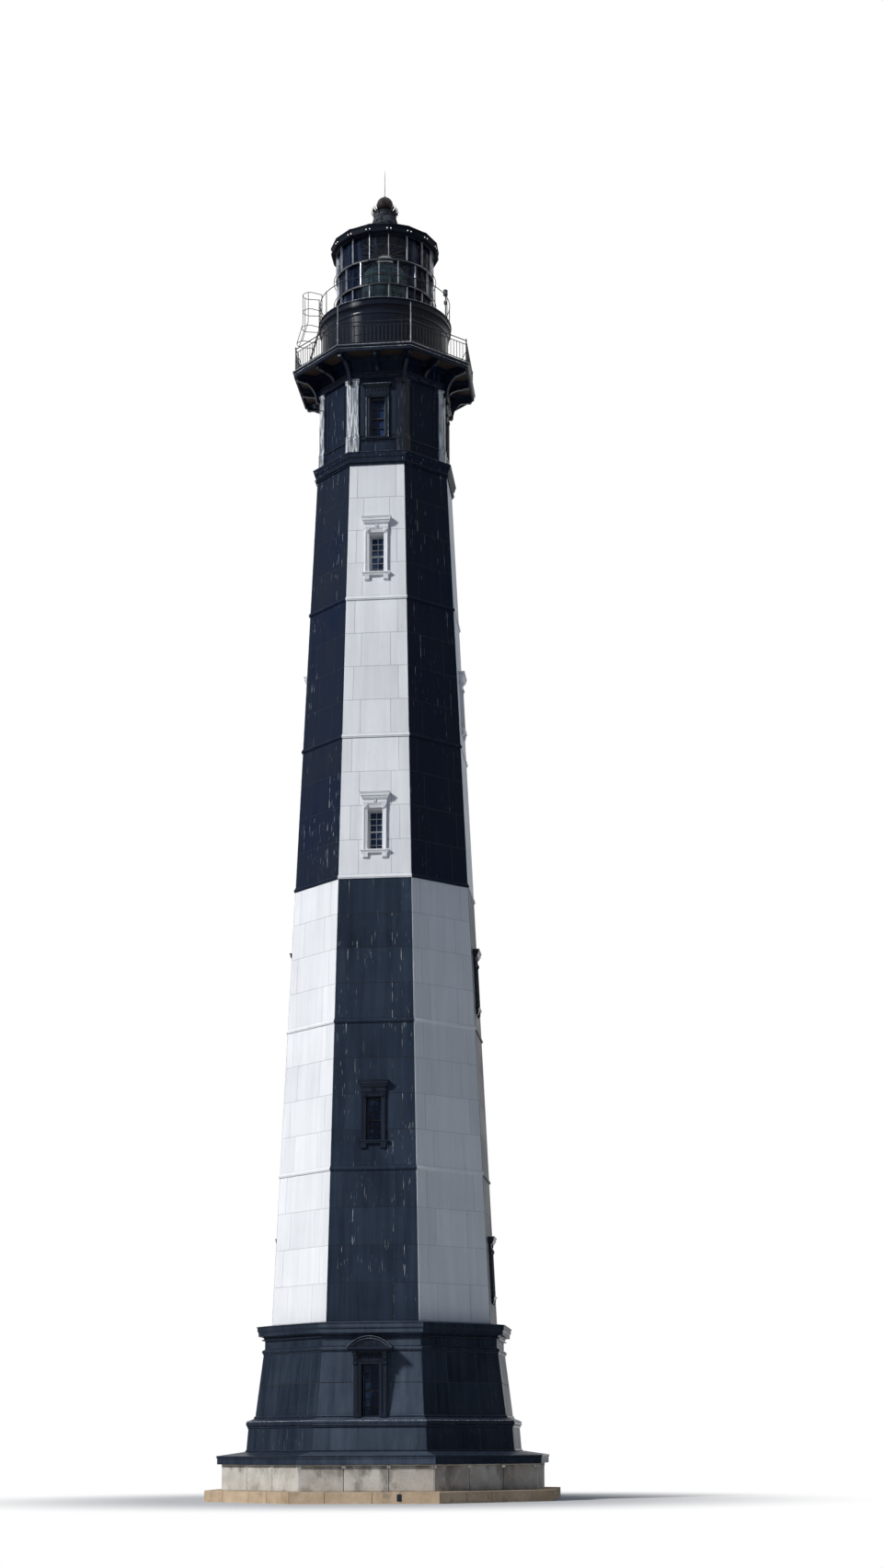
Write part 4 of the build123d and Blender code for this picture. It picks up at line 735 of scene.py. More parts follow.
@dataclass(frozen=True)
class DarkPane:
    """Window glass with a dark room behind it: a dirty, slightly wavy sheet whose dark blue is a painted
    shade of the room.
    """

    name: str
    colour: Colour
    dust_and_reflection: Colour

    def make(self) -> bpy.types.Material:
        """Pale blue clouds are dust and a painted reflection of the sky, and a slow wave bends the
        reflections.

        Returns:
            The finished material.
        """
        recipe = Recipe(bpy.data.materials.new(self.name))
        # Painted reflection: the pale blue clouds stand for the sky's reflection as well as dust.
        dust_and_reflection = recipe.noise(recipe.stretched(*PANE_CLOUDS), 1.0, 4, 0.6).step(0.5, 0.66)
        return recipe.finish(recipe.shade(
            Base_Color=recipe.blend(self.colour, self.dust_and_reflection, (dust_and_reflection * 0.6).held()),
            Roughness=(dust_and_reflection * 0.25 + 0.06).held(),
            Normal=recipe.bump(recipe.noise(recipe.place, 3.5, 2), 0.01, 0.5),
            Specular_IOR_Level=0.06,
        ))


@dataclass(frozen=True)
class ClearPane:
    """Clear glass: mostly see-through, with a reflection and streaks of salt on it."""

    name: str
    tint: Colour
    depth: Colour
    salt: Colour
    body: float
    salt_share: float
    # A glow above 0 is painted light: it lights a pane that is no lamp.
    glow: float = 0.0

    def make(self) -> bpy.types.Material:
        """The mix factor is a Fresnel reflection plus a little body and the salt's streaks.

        Returns:
            The finished material.
        """
        recipe = Recipe(bpy.data.materials.new(self.name))
        salt = recipe.noise(recipe.stretched(*SALT), 1.0, 6, 0.65).step(0.45, 0.85)
        mirror = recipe.node("ShaderNodeFresnel", {}, {"IOR": 1.5})
        film = recipe.shade(
            Base_Color=recipe.blend(self.depth, self.salt, salt),
            Roughness=(salt * 0.3 + 0.05).held(),
            Normal=recipe.bump(recipe.noise(recipe.place, 4, 2), 0.006, 0.4),
            Specular_IOR_Level=0.4,
            Emission_Color=self.depth,
            Emission_Strength=self.glow,
        )
        clear = recipe.node("ShaderNodeBsdfTransparent", {}, {"Color": self.tint})
        amount = (mirror * 0.9 + salt * self.salt_share + self.body).held()
        return recipe.finish(recipe.mixed(clear, film, amount))


@dataclass(frozen=True)
class PrismGlass:
    """The lens: thick ribbed glass, with pale green glints and dark depths painted into its colour."""

    name: str
    deep: Colour
    glint: Colour

    def make(self) -> bpy.types.Material:
        """Bands of height and broken patches change the glass from its painted dark to painted glints.

        Returns:
            The finished material.
        """
        recipe = Recipe(bpy.data.materials.new(self.name))
        patch = recipe.noise(recipe.stretched(5, 5, 3), 1.0, 4, 0.7).step(0.42, 0.62)
        rib = recipe.noise(recipe.stretched(0.4, 0.4, 24), 1.0, 2).step(0.4, 0.6)
        amount = (patch * 0.55 + rib * 0.45).held()
        prism = recipe.shade(
            Base_Color=recipe.blend(self.deep, self.glint, amount),
            Roughness=(patch * 0.08 + 0.05).held(),
            Specular_IOR_Level=0.8,
            Coat_Weight=0.8,
            Coat_Roughness=0.03,
            # A faint painted glow in the glint's colour, though the lens is no lamp.
            Emission_Color=self.glint,
            Emission_Strength=0.03,
        )
        clear = recipe.node("ShaderNodeBsdfTransparent", {}, {"Color": self.glint})
        return recipe.finish(recipe.mixed(clear, prism, (amount * 0.2 + 0.6).held()))


@dataclass(frozen=True)
class Bulb:
    """A small cap that glows faintly: the eave's lamps, and the vent shade, whose glow is painted light as it
    is no lamp.
    """

    name: str
    colour: Colour
    strength: float

    def make(self) -> bpy.types.Material:
        """A pale cap with a steady glow, a little uneven from lamp to lamp.

        Returns:
            The finished material.
        """
        recipe = Recipe(bpy.data.materials.new(self.name))
        uneven = recipe.noise(recipe.place, 3, 2)
        colour = recipe.blend(self.colour, WARM_WHITE, uneven)
        return recipe.finish(recipe.shade(
            Base_Color=colour,
            Roughness=(uneven * 0.2 + 0.15).held(),
            Emission_Color=colour,
            Emission_Strength=self.strength,
        ))


class Finish(Enum):
    """Every finish of the lighthouse. Its colours are from 0 to 255 a channel."""

    # BLACK: the coat's blue grey is partly the paint and partly a painted sheen for the sky's reflection, as
    # the gloss is low; the turned colour is a painted shade on the diagonal faces.
    BLACK = IronPaint(
        "black_paint", (49, 59, 74), (26, 33, 45), (176, 180, 184), (60, 50, 46), 0.5, 0.25, 0.4, 0.03,
        tone_share=0.8, patch_from=0.44, fleck_from=0.67, turned=(12, 25, 47),
    )
    # BASE_BLACK: the coat's blue grey is partly the paint and partly a painted sheen for the sky's
    # reflection, as the gloss is low; the turned colour is a painted shade on the diagonal faces.
    BASE_BLACK = IronPaint(
        "base_paint", (76, 85, 98), (46, 54, 67), (150, 156, 162), (66, 54, 48), 0.25, 0.2, 0.4, 0.03,
        tone_share=0.8, turned=(9, 21, 34),
    )
    # The turned colour is a painted shade on the diagonal faces.
    MOULDING = IronPaint(
        "moulding_paint", (32, 41, 55), (16, 23, 35), (150, 156, 162), (60, 52, 48), 0.3, 0.2, 0.26, 0.12,
        turned=(18, 30, 50),
    )
    WHITE = IronPaint(
        "white_paint", (228, 229, 230), (206, 207, 209), (150, 148, 142), (158, 132, 104), 0.35, 0.3, 0.55,
        0.35,
    )
    JOINERY = IronPaint(
        "window_bar_paint", (205, 206, 205), (170, 171, 170), (110, 108, 104), (140, 116, 92), 0.4, 0.3, 0.5
    )
    SEAM = IronPaint(
        "seam_on_white", (200, 202, 205), (164, 166, 170), (90, 88, 86), (136, 108, 84), 0.4, 0.5, 0.75
    )
    DARK_SEAM = IronPaint(
        "seam_on_black", (24, 29, 38), (12, 15, 20), (96, 98, 102), (70, 46, 32), 0.5, 0.6, 0.7
    )
    CHIPPED = IronPaint(
        "chipped_joint", (26, 32, 42), (14, 18, 25), (188, 190, 192), (90, 66, 52), 1.0, 0.5, 0.65,
        patch_from=0.42, fleck_from=0.55,
    )
    # The turned colour is a painted shade on the diagonal faces.
    PALE_SEAM = IronPaint(
        "pale_joint", (76, 87, 102), (50, 60, 75), (120, 128, 138), (84, 70, 60), 0.6, 0.3, 0.65, 0.1,
        fleck_from=0.6, turned=(44, 58, 78),
    )
    DRUM = IronPaint(
        "drum_paint", (22, 31, 46), (12, 18, 29), (150, 154, 158), (54, 46, 42), 0.3, 0.2, 0.16, 0.07,
        relief=0.12,
    )
    RING = IronPaint(
        "glazing_ring", (40, 46, 56), (20, 24, 32), (150, 152, 156), (78, 56, 44), 0.5, 0.3, 0.4, 0.15
    )
    BLACK_JOINERY = IronPaint(
        "black_bar_paint", (44, 48, 56), (24, 27, 33), (150, 152, 154), (78, 56, 44), 0.6, 0.3, 0.4
    )
    WORN = IronPaint(
        "worn_paint", (26, 34, 48), (14, 20, 31), (130, 135, 142), (66, 56, 50), 0.4, 0.2, 0.3, 0.12,
        patch_from=0.42, fleck_from=0.6, relief=1.0,
    )
    # Painted highlight: a pale coat thick with bright flecks, for the edges and pilasters that catch the
    # sun's glare.
    BLEACHED = IronPaint(
        "painted_highlight_paint", (132, 138, 146), (58, 66, 78), (232, 234, 236), (96, 84, 76), 0.9, 0.2, 0.34, 0.6,
        patch_from=0.38, fleck_from=0.52, relief=1.0,
    )
    RAIL = IronPaint(
        "rail_paint", (30, 34, 42), (16, 19, 24), (140, 142, 146), (84, 60, 46), 0.4, 0.4, 0.4, 0.2
    )
    MAST = IronPaint(
        "mast_paint", (182, 184, 188), (120, 122, 126), (60, 60, 62), (130, 96, 70), 0.4, 0.4, 0.4, 0.4
    )
    ROOF = IronPaint(
        "roof_iron", (24, 30, 41), (13, 17, 25), (110, 110, 110), (60, 50, 46), 0.4, 0.4, 0.6, 0.03
    )
    SOFFIT = IronPaint("deck_soffit", (44, 34, 28), (26, 22, 20), (60, 52, 46), (88, 54, 34), 0.3, 0.8, 0.7)
    FLOOR = IronPaint("floor_iron", (62, 62, 62), (44, 44, 45), (92, 90, 88), (86, 62, 48), 0.4, 0.5, 0.6)
    STEP_STONE = Slabstone("step_stone", (190, 168, 142), (152, 130, 102), (84, 68, 54), 0.5)
    PLINTH_STONE = Slabstone("plinth_stone", (196, 192, 184), (150, 141, 129), (70, 65, 60), 0.6, 0.38)
    MORTAR = Slabstone("plinth_joint", (70, 64, 58), (50, 46, 42), (30, 28, 26), 0.5)
    BEDDING = Slabstone("bed_mortar", (214, 206, 190), (176, 162, 138), (96, 84, 70), 0.6)
    CLIP = BareMetal("joint_clip", (196, 196, 192), (120, 112, 100), 0.4, 0.5)
    BARS = BareMetal("bright_bars", (176, 181, 190), (62, 67, 76), 0.65, 0.28, 0.7, 9.0)
    COLLAR = BareMetal("collar_iron", (72, 74, 80), (24, 26, 31), 0.05, 0.6, 1.0, 14.0, 0.05)
    BALL = BareMetal("ball_bronze", (58, 48, 43), (18, 17, 20), 0.2, 0.42, 1.0, 9.0, 0.2)
    SPIKE = BareMetal("spike_iron", (28, 28, 32), (14, 14, 17), 0.0, 0.7, 1.0, 9.0, 0.02)
    ROD = BareMetal("rod_metal", (130, 140, 156), (84, 92, 106), 0.3, 0.4)
    LENS_METAL = BareMetal("lens_metal", (150, 130, 96), (60, 50, 40), 0.8, 0.4, 0.8, 8.0)
    CEILING = BareMetal("ceiling_iron", (84, 84, 84), (44, 44, 46), 0.2, 0.6, 0.7, 3.0)
    RIB = BareMetal("ceiling_rib", (176, 170, 160), (96, 92, 88), 0.3, 0.5)
    LAMP = BareMetal("lamp_housing", (48, 50, 54), (26, 26, 28), 0.5, 0.4)
    # The vent shade over the lens is no lamp: its glow is painted light, to show its cream colour in the
    # shaded lantern.
    SHADE = Bulb("lamp_shade", (222, 212, 176), 0.6)
    BULB = Bulb("eave_light", (255, 250.46, 243.45), 0.6)
    WINDOW = DarkPane("window_glass", (30, 50, 84), (112, 142, 182))
    LANTERN = ClearPane("lantern_glass", (214, 221, 230), (22, 36, 60), (92, 112, 142), 0.06, 0.25)
    # The red pane is no lamp: its glow of 0.5 is painted light, so that it shows in the shaded lantern.
    RED = ClearPane("red_glass", (150, 20, 36), (128, 12, 34), (150, 50, 64), 0.6, 0.2, 0.5)
    LENS = PrismGlass("lens_glass", (26, 30, 36), (196, 222, 208))

    @cache
    def material(self) -> bpy.types.Material:
        """The finish's material, made when it is first asked for."""
        return self.value.make()


# Stone footing


@dataclass
class Footing:
    """The sandy step, the granite slabs on it and the light clips at their joints."""

    step_inradius: float = 3.046
    step_inner: float = 2.70
    step_height: float = 0.195
    plinth_inradius: float = 2.755
    plinth_height: float = 0.445
    bed: float = 0.022
    joint: float = 0.008
    clip_height: float = 0.040
    clip_half: float = 0.034
    end_clip_half: float = 0.022
    vent_along: float = 0.59
    vent_half: float = 0.042
    vent_span: tuple[float, float] = (0.035, 0.155)

    def build(self) -> None:
        """Lay the step's stones, the plinth's slabs, the joints and the vent."""
        rng = np.random.default_rng(5)
        stones, core, vent = Shell(), Shell(), Shell()
        slabs, mortar, clips, bedding = Shell(), Shell(), Shell(), Shell()
        corners = np.array([(math.cos(turn), math.sin(turn)) for turn in wall_turns(HALF_FACE, SIDES)])
        outline = corners * (self.step_inradius - 0.005) / math.cos(HALF_FACE)
        core.slab(outline, 0.0, self.step_height - 0.008, 0.0, Plane.LEVEL)
        for turn in wall_turns(0.0, SIDES):
            self.stones(stones, upright(turn), rng)
            self.slabs(slabs, mortar, clips, bedding, turn, rng)
        self.vent(vent, upright(-math.pi / 2))
        stones.piece("step_stones", Finish.STEP_STONE, "step_stone")
        core.piece("step_core", Finish.MORTAR, "step_stone", "stone_step")
        slabs.piece("plinth_slabs", Finish.PLINTH_STONE, "plinth_stone")
        mortar.piece("plinth_joints", Finish.MORTAR, "plinth_stone")
        clips.piece("joint_clips", Finish.CLIP, "plinth_stone")
        bedding.piece("plinth_bedding", Finish.BEDDING, "plinth_stone")
        vent.piece("step_vent", Finish.RING, "step_stone")

    def stones(self, shell: Shell, place: Place, rng: np.random.Generator) -> None:
        """Stones of one side of the step, from a mitre to the next: the outer half width is
        the inradius times tan 22.5 degrees, and so is the inner one.

        Args:
            shell: collects the stones
            place: frame that looks out through the middle of the side
            rng: gives the joints' places, and each stone's height and tone
        """
        slope, gap = math.tan(HALF_FACE), self.joint / 2
        outer, inner = self.step_inradius * slope, self.step_inner * slope
        marks = [-1.0, *np.sort(rng.uniform(-0.12, 0.12, 3) + [-0.52, 0.0, 0.52]), 1.0]
        for left, right in zip(marks[:-1], marks[1:]):
            ends = []
            for mark, side in ((left, gap), (right, -gap)):
                inside = mark * (inner if abs(mark) == 1 else outer)
                ends.append(line((inside + side, self.step_inner), (mark * outer + side, self.step_inradius)))
            outline = line(ends[0][:1], ends[1], ends[0][1:])
            tone = float(rng.uniform(-0.2, 0.2))
            top = self.step_height - float(rng.uniform(0, 0.003))
            shell.slab(outline, 0.0, top, 0.008, Plane.LEVEL, place, tone)

    def slabs(
        self, slabs: Shell, mortar: Shell, clips: Shell, bedding: Shell, turn: float, rng: np.random.Generator
    ) -> None:
        """Three slabs of one face of the plinth, with a clip over each joint and each end.

        Args:
            slabs: collects the slabs
            mortar: collects the joints
            clips: collects the clips
            bedding: collects the pale bed over the slabs
            turn: direction of the face
            rng: gives each slab its own tone
        """
        place = Place.on_wall(self.plinth_inradius, self.step_height, 0.0, turn)
        top = self.plinth_height - self.bed
        face = PlateFace(
            place, self.plinth_inradius, 0.0, 0.003, top, 1, ((1 / 3,),), joint=self.joint, proud=0.006,
            bevel=0.005, filler_width=0.014, filler_proud=0.001,
        )
        face.lay(slabs, mortar, mortar, rng)
        half = face.half_width(0.0)
        head = self.plinth_height - 0.001
        bedding.block((-0.003, -half - 0.002, top), (0.009, half + 0.002, head), 0.004, place)
        inner, outer = self.clip_half, self.end_clip_half
        end = half * 0.985 - outer
        for middle, width in ((outer - half, outer), (-half / 3, inner), (half / 3, inner), (end, outer)):
            low = (0.0, middle - width, top - self.clip_height)
            clips.block(low, (0.013, middle + width, top + 0.002), 0.003, place)

    def vent(self, shell: Shell, place: Place) -> None:
        """A small grating in the front of the step: a frame and five upright slats.

        Args:
            shell: collects the grating
            place: frame that looks out through the middle of the side
        """
        wide, (low, high) = self.vent_half, self.vent_span
        back, front = self.step_inradius - 0.02, self.step_inradius + 0.002
        spot = Place(place.put(np.array([0.0, self.vent_along, 0.0])), place.out, place.along, place.up)
        for left, right, foot, head in (
            (-wide, wide, low, low + 0.012),
            (-wide, wide, high - 0.012, high),
            (-wide, -wide + 0.010, low, high),
            (wide - 0.010, wide, low, high),
        ):
            shell.block((back, left, foot), (front, right, head), 0.001, spot)
        shell.block((back, -wide, low), (self.step_inradius + 0.0004, wide, high), 0.0, spot)
        for slat in np.linspace(-0.026, 0.026, 5):
            shell.block((back, slat - 0.003, low), (front - 0.0008, slat + 0.003, high), 0.0005, spot)


# Walls of cast plates


@dataclass(frozen=True)
class Shaft:
    """The tapered shaft of six tiers: the sizes that its plates and windows share."""

    foot: float = 3.075
    tiers: int = 6
    tier_height: float = 2.6305
    foot_inradius: float = 1.941
    top_inradius: float = 1.220
    window_rise: float = 0.525

    @property
    def taper(self) -> float:
        """How much the inradius shrinks in a metre of height."""
        return (self.foot_inradius - self.top_inradius) / (self.tiers * self.tier_height)

    @property
    def lean(self) -> float:
        """Lean of the walls, in radians."""
        return math.atan(self.taper)

    def inradius(self, height: float) -> float:
        """Inradius of the outer faces at a height."""
        return self.foot_inradius - self.taper * (height - self.foot)

    def foot_of(self, tier: int) -> float:
        """Height of a tier's foot."""
        return self.foot + (tier - 1) * self.tier_height

    def is_white(self, tier: int, side: Side) -> bool:
        """Whether a set of faces is white: the two sets change colour half way up."""
        return (side is Side.WINDOW) == (tier > self.tiers // 2)

    def window_turns(self, tier: int) -> list[float]:
        """Directions of a tier's two windows: even tiers face front and back."""
        return wall_turns(math.pi / 2 if tier % 2 == 0 else 0.0, 2)

    def window_places(self, tier: int) -> list[Place]:
        """Places of a tier's two windows, at the foot of the opening.

        Args:
            tier: number of the tier, from 1 at the foot

        Returns:
            One place for each window.
        """
        height = self.foot_of(tier) + self.window_rise
        inradius = self.inradius(height)
        return [Place.on_wall(inradius, height, self.lean, turn) for turn in self.window_turns(tier)]


SHAFT = Shaft()


Edge = tuple[float, float]
Band = tuple[float, float, float, float]
Hole = tuple[float, float, float]


@dataclass
class PlateFace:
    """One wall face laid with cast plates in running bond, with a filled joint between them."""

    place: Place
    inradius: float
    lean: float
    low: float
    high: float
    rows: int
    shares: tuple[tuple[float, ...], ...] = ((0.46,), (0.70,))
    hole: Optional[Hole] = None
    joint: float = 0.009
    proud: float = 0.004
    bevel: float = 0.0025
    filler_width: float = 0.016
    filler_proud: float = 0.0012

    def half_width(self, up: float) -> float:
        """Half the face at a distance up the wall: the inradius there times tan 22.5 degrees."""
        return (self.inradius - up * math.sin(self.lean)) * math.tan(HALF_FACE)

    def lay(self, plates: Shell, fillers: Shell, uprights: Shell, rng: np.random.Generator) -> None:
        """Lay the plates, and the filler in the level and the upright joints.

        Args:
            plates: collects the plates
            fillers: collects the level joints
            uprights: collects the upright joints
            rng: gives each plate its own tone
        """
        lines = np.linspace(self.low, self.high, self.rows + 1)
        for row, (foot, head) in enumerate(zip(lines[:-1], lines[1:])):
            shares = self.shares[row % len(self.shares)]
            marks = [-1.0, *(-share for share in reversed(shares)), *shares, 1.0]
            low_edges = [mark * self.half_width(foot) for mark in marks]
            high_edges = [mark * self.half_width(head) for mark in marks]
            for number in range(len(marks) - 1):
                left = (low_edges[number], high_edges[number])
                right = (low_edges[number + 1], high_edges[number + 1])
                tone = float(rng.uniform(-0.22, 0.22))
                for outline in self.cut(left, right, foot, head):
                    plates.slab(outline, -0.003, self.proud, self.bevel, Plane.WALL, self.place, tone)
            wide = self.half_width(head)
            if row < self.rows - 1:
                self.strip(fillers, (-wide, head), (wide, head))
            for start, end in zip(low_edges[1:-1], high_edges[1:-1]):
                self.strip(uprights, (start, foot), (end, head))

    def cut(self, left: Edge, right: Edge, foot: float, head: float) -> list[np.ndarray]:
        """Outlines of one plate, less half a joint all round and less the window's hole.

        Args:
            left: left edge at the foot and at the head
            right: right edge at the foot and at the head
            foot: lower edge
            head: upper edge

        Returns:
            One outline, or two where the hole parts the plate.
        """
        gap = self.joint / 2
        low, high = foot + gap, head - gap
        corners = line(
            (left[0] + gap, low), (right[0] - gap, low), (right[1] - gap, high), (left[1] + gap, high)
        )
        if self.hole is None:
            return [corners]
        half, sill, top = self.hole
        beside = left[0] > -half or right[0] < half
        if beside or high < sill or low > top:
            return [corners]
        if low < sill:
            return [line(corners[:3], (half, high), (half, sill), (-half, sill), (-half, high), corners[3])]
        if high > top:
            return [line(corners[0], portal(half, low, top), corners[1:])]
        lefts = line(corners[0], (-half, low), (-half, high), corners[3])
        return [lefts, line((half, low), corners[1], corners[2], (half, high))]

    def strip(self, shell: Shell, start: Edge, end: Edge) -> None:
        """Fill a joint with a thin strip, except where the window's hole is.

        Args:
            shell: collects the strip
            start: first end: along and up
            end: last end: along and up
        """
        spans = [line(start, end)]
        if self.hole is not None:
            half, sill, top = self.hole
            level = start[1]
            if level == end[1] and sill < level < top:
                spans = [line(start, (-half, level)), line((half, level), end)]
        for first, last in spans:
            along = (last - first) / np.linalg.norm(last - first)
            side = np.array([-along[1], along[0]]) * self.filler_width / 2
            outline = np.stack([first - side, last - side, last + side, first + side])
            shell.slab(outline, -0.004, self.filler_proud, 0.0, Plane.WALL, self.place)


@dataclass
class ShaftPlates:
    """The cast plates of the six tiers. The two sets of faces change colour half way up."""

    rows: int = 4
    belt: float = 0.07
    hole: Hole = (0.20, -0.06, 0.98)

    def build(self) -> None:
        """Lay each tier's two sets of faces."""
        rng = np.random.default_rng(7)
        levels, joints = {True: Shell(), False: Shell()}, {True: Shell(), False: Shell()}
        for tier in range(1, SHAFT.tiers + 1):
            for side in Side:
                white = SHAFT.is_white(tier, side)
                plates = Shell()
                for turn in wall_turns(side.value, SIDES // 2):
                    self.face(tier, turn, side).lay(plates, levels[white], joints[white], rng)
                name = f"tier_{tier}_{side.name.lower()}_cast_plates"
                finish = Finish.WHITE if white else Finish.BLACK
                plates.piece(name, finish, "white_paint" if white else "black_paint")
        levels[True].piece("white_level_joints", Finish.SEAM, "white_paint")
        joints[True].piece("white_upright_joints", Finish.SEAM, "white_paint")
        levels[False].piece("black_level_joints", Finish.DARK_SEAM, "black_paint")
        joints[False].piece("black_upright_joints", Finish.CHIPPED, "black_paint")

    def face(self, tier: int, turn: float, side: Side) -> PlateFace:
        """The plates of one face of a tier, between the belts.

        Args:
            tier: number of the tier, from 1 at the foot
            turn: direction of the face
            side: the set of faces that it belongs to

        Returns:
            The face, with a hole where it has a window.
        """
        foot = SHAFT.foot_of(tier)
        slant = SHAFT.tier_height / math.cos(SHAFT.lean)
        low = self.belt + 0.006 if tier > 1 else 0.004
        hole = None
        turns = [math.cos(turn - other) for other in SHAFT.window_turns(tier)]
        if side is Side.WINDOW and max(turns) > 0.99:
            rise = SHAFT.window_rise / math.cos(SHAFT.lean)
            hole = (self.hole[0], rise + self.hole[1], rise + self.hole[2])
        place = Place.on_wall(SHAFT.inradius(foot), foot, SHAFT.lean, turn)
        high = slant - 0.004
        return PlateFace(place, SHAFT.inradius(foot), SHAFT.lean, low, high, self.rows, hole=hole)


@dataclass
class ShaftBelts:
    """The moulded belt at the foot of each tier but the lowest: a bead over a fillet."""

    height: float = 0.07
    projection: float = 0.022

    def build(self) -> None:
        """Carry the belt along each face, in the colour of the tier above."""
        shells = {True: Shell(), False: Shell()}
        for tier in range(2, SHAFT.tiers + 1):
            foot = SHAFT.foot_of(tier)
            for side in Side:
                for turn in wall_turns(side.value, SIDES // 2):
                    self.face(shells[SHAFT.is_white(tier, side)], foot, turn)
        shells[True].piece("white_belts", Finish.WHITE, "white_paint")
        shells[False].piece("black_belts", Finish.BLACK, "black_paint")

    def profile(self, inradius: float) -> np.ndarray:
        """Inradius and height of the belt's section, from the wall out and back.

        Args:
            inradius: inradius of the wall at the belt's foot

        Returns:
            The section's points: inradius, and height over the belt's foot.
        """
        out, height = self.projection, self.height
        bead = arc((out - 0.004, height * 0.34), 0.012, -70, 80, 8)
        return line(
            (-0.03, -0.002), (out - 0.004, -0.002), (out, 0.003), bead, (0.013, height * 0.6),
            (0.012, height * 0.86), (0.004, height + 0.006), (-0.03, height + 0.006),
        ) + [inradius, 0]

    def face(self, shell: Shell, foot: float, turn: float) -> None:
        """One face of a belt: its section at both corners, so that it is mitred there.

        Args:
            shell: collects the belt
            foot: height of the belt's foot
            turn: direction of the face
        """
        section = self.profile(SHAFT.inradius(foot))
        radius = section[:, 0] / math.cos(HALF_FACE)
        angle = turn + np.array([[-HALF_FACE], [HALF_FACE]])
        height = np.broadcast_to(foot + section[:, 1], (2, len(section)))
        shell.loops(np.stack([radius * np.cos(angle), radius * np.sin(angle), height], -1))


@dataclass
class BasePlates:
    """Plates, joints and mouldings of the black base."""

    course: Band = (0.86, 2.358, 1.285, 2.324)
    wall: Band = (1.48, 2.208, 2.565, 2.077)
    frieze: Band = (2.635, 2.056, 2.80, 2.056)
    edge: Band = (0.640, 2.837, 0.747, 2.837)
    surround_half: float = 0.287
    pediment_half: float = 0.383
    beads: tuple[tuple[float, float, float], ...] = (
        (2.330, 1.272, 0.016), (2.362, 1.335, 0.010), (2.234, 1.447, 0.008), (2.083, 2.560, 0.012),
        (2.060, 2.640, 0.010), (2.100, 2.808, 0.012), (2.168, 2.944, 0.009), (2.366, 0.868, 0.014),
        (2.849, 0.778, 0.010), (2.841, 0.744, 0.007),
    )

    def build(self) -> None:
        """Lay the lower course, the battered wall, the frieze and the bed plate's edge."""
        rng = np.random.default_rng(11)
        plates, level, joints = Shell(), Shell(), Shell()
        for side in Side:
            for turn in wall_turns(side.value, SIDES // 2):
                window = abs(math.sin(turn)) > 0.99
                for band, rows, shares, covered in (
                    (self.course, 1, (0.23, 0.69), 0.0),
                    (self.wall, 2, (0.38, 0.69), self.surround_half),
                    (self.frieze, 1, (0.56,), self.pediment_half),
                    (self.edge, 1, (0.26, 0.78), 0.0),
                ):
                    hole = (covered - 0.02, -0.1, 9.0) if window and covered else None
                    self.face(band, turn, rows, shares, hole).lay(plates, level, joints, rng)
        plates.piece("base_cast_plates", Finish.BASE_BLACK, "black_paint")
        level.piece("base_level_joints", Finish.DARK_SEAM, "black_paint")
        joints.piece("base_upright_joints", Finish.PALE_SEAM, "black_paint")
        self.mouldings()

    def face(
        self, band: Band, turn: float, rows: int, shares: tuple[float, ...], hole: Optional[Hole]
    ) -> PlateFace:
        """The plates of one face of a band, given by its foot, its head and their inradii.

        Args:
            band: foot, inradius there, head, inradius there
            turn: direction of the face
            rows: rows of plates
            shares: upright joints, as shares of the half width
            hole: half width, foot and head of what covers the plates, if anything does

        Returns:
            The face, ready to be laid.
        """
        foot, low, head, high = band
        lean = math.atan((low - high) / (head - foot))
        slant = (head - foot) / math.cos(lean)
        place = Place.on_wall(low, foot, lean, turn)
        return PlateFace(
            place, low, lean, 0.004, slant - 0.004, rows, (shares,), hole,
            filler_width=0.010, filler_proud=0.0042,
        )

    def mouldings(self) -> None:
        """Beads under the ledge, the string and the corona, and a fillet on the bed plate."""
        shell = Shell()
        for radius, height, size in self.beads:
            shell.bead(radius, height, size)
        shell.piece("base_beads", Finish.MOULDING, "black_paint")


# Windows


def rosette(
    shell: Shell, place: Place, middle: Sequence[float], radius: float, depth: float, petals: int
) -> None:
    """Add a round flower: each ring's radius swells with the cosine of the petals' angle,
    less and less towards the middle, while the surface rises and dips.

    Args:
        shell: collects the shape
        place: the wall
        middle: out, along and up of the middle of its back
        radius: radius of the rim
        depth: how far it stands out
        petals: number of petals
    """
    share = np.array([1.0, 1.0, 0.86, 0.62, 0.46, 0.38, 0.24, 0.08])
    rise = np.array([-0.4, 0.35, 0.8, 0.72, 0.42, 0.8, 1.0, 1.05])
    swell = np.array([0.12, 0.12, 0.11, 0.07, 0.03, 0.0, 0.0, 0.0])
    angle = 2 * np.pi * np.arange(4 * petals) / (4 * petals)
    reach = radius * share[:, None] * (1 + swell[:, None] * np.cos(petals * angle)[None])
    out = np.broadcast_to(depth * rise[:, None], reach.shape)
    loops = np.stack([out, reach * np.cos(angle), reach * np.sin(angle)], -1) + np.asarray(middle)
    shell.loops(loops, False, place)


def corner_blocks(shell: Shell, place: Place, half: float, band: float, level: float, out: float) -> None:
    """Add the blocks on an architrave's two upper corners, each with a rosette.

    Args:
        shell: collects the shapes
        place: the wall
        half: half the opening's width
        band: width of the architrave
        level: height of the blocks' top
        out: how far the blocks stand out
    """
    size = band / 2 + 0.004
    for side in (-1, 1):
        middle = side * (half + band / 2)
        shell.block((-0.01, middle - size, level - 2 * size), (out, middle + size, level), 0.004, place)
        rosette(shell, place, (out, middle, level - size), 0.029, 0.016, 8)


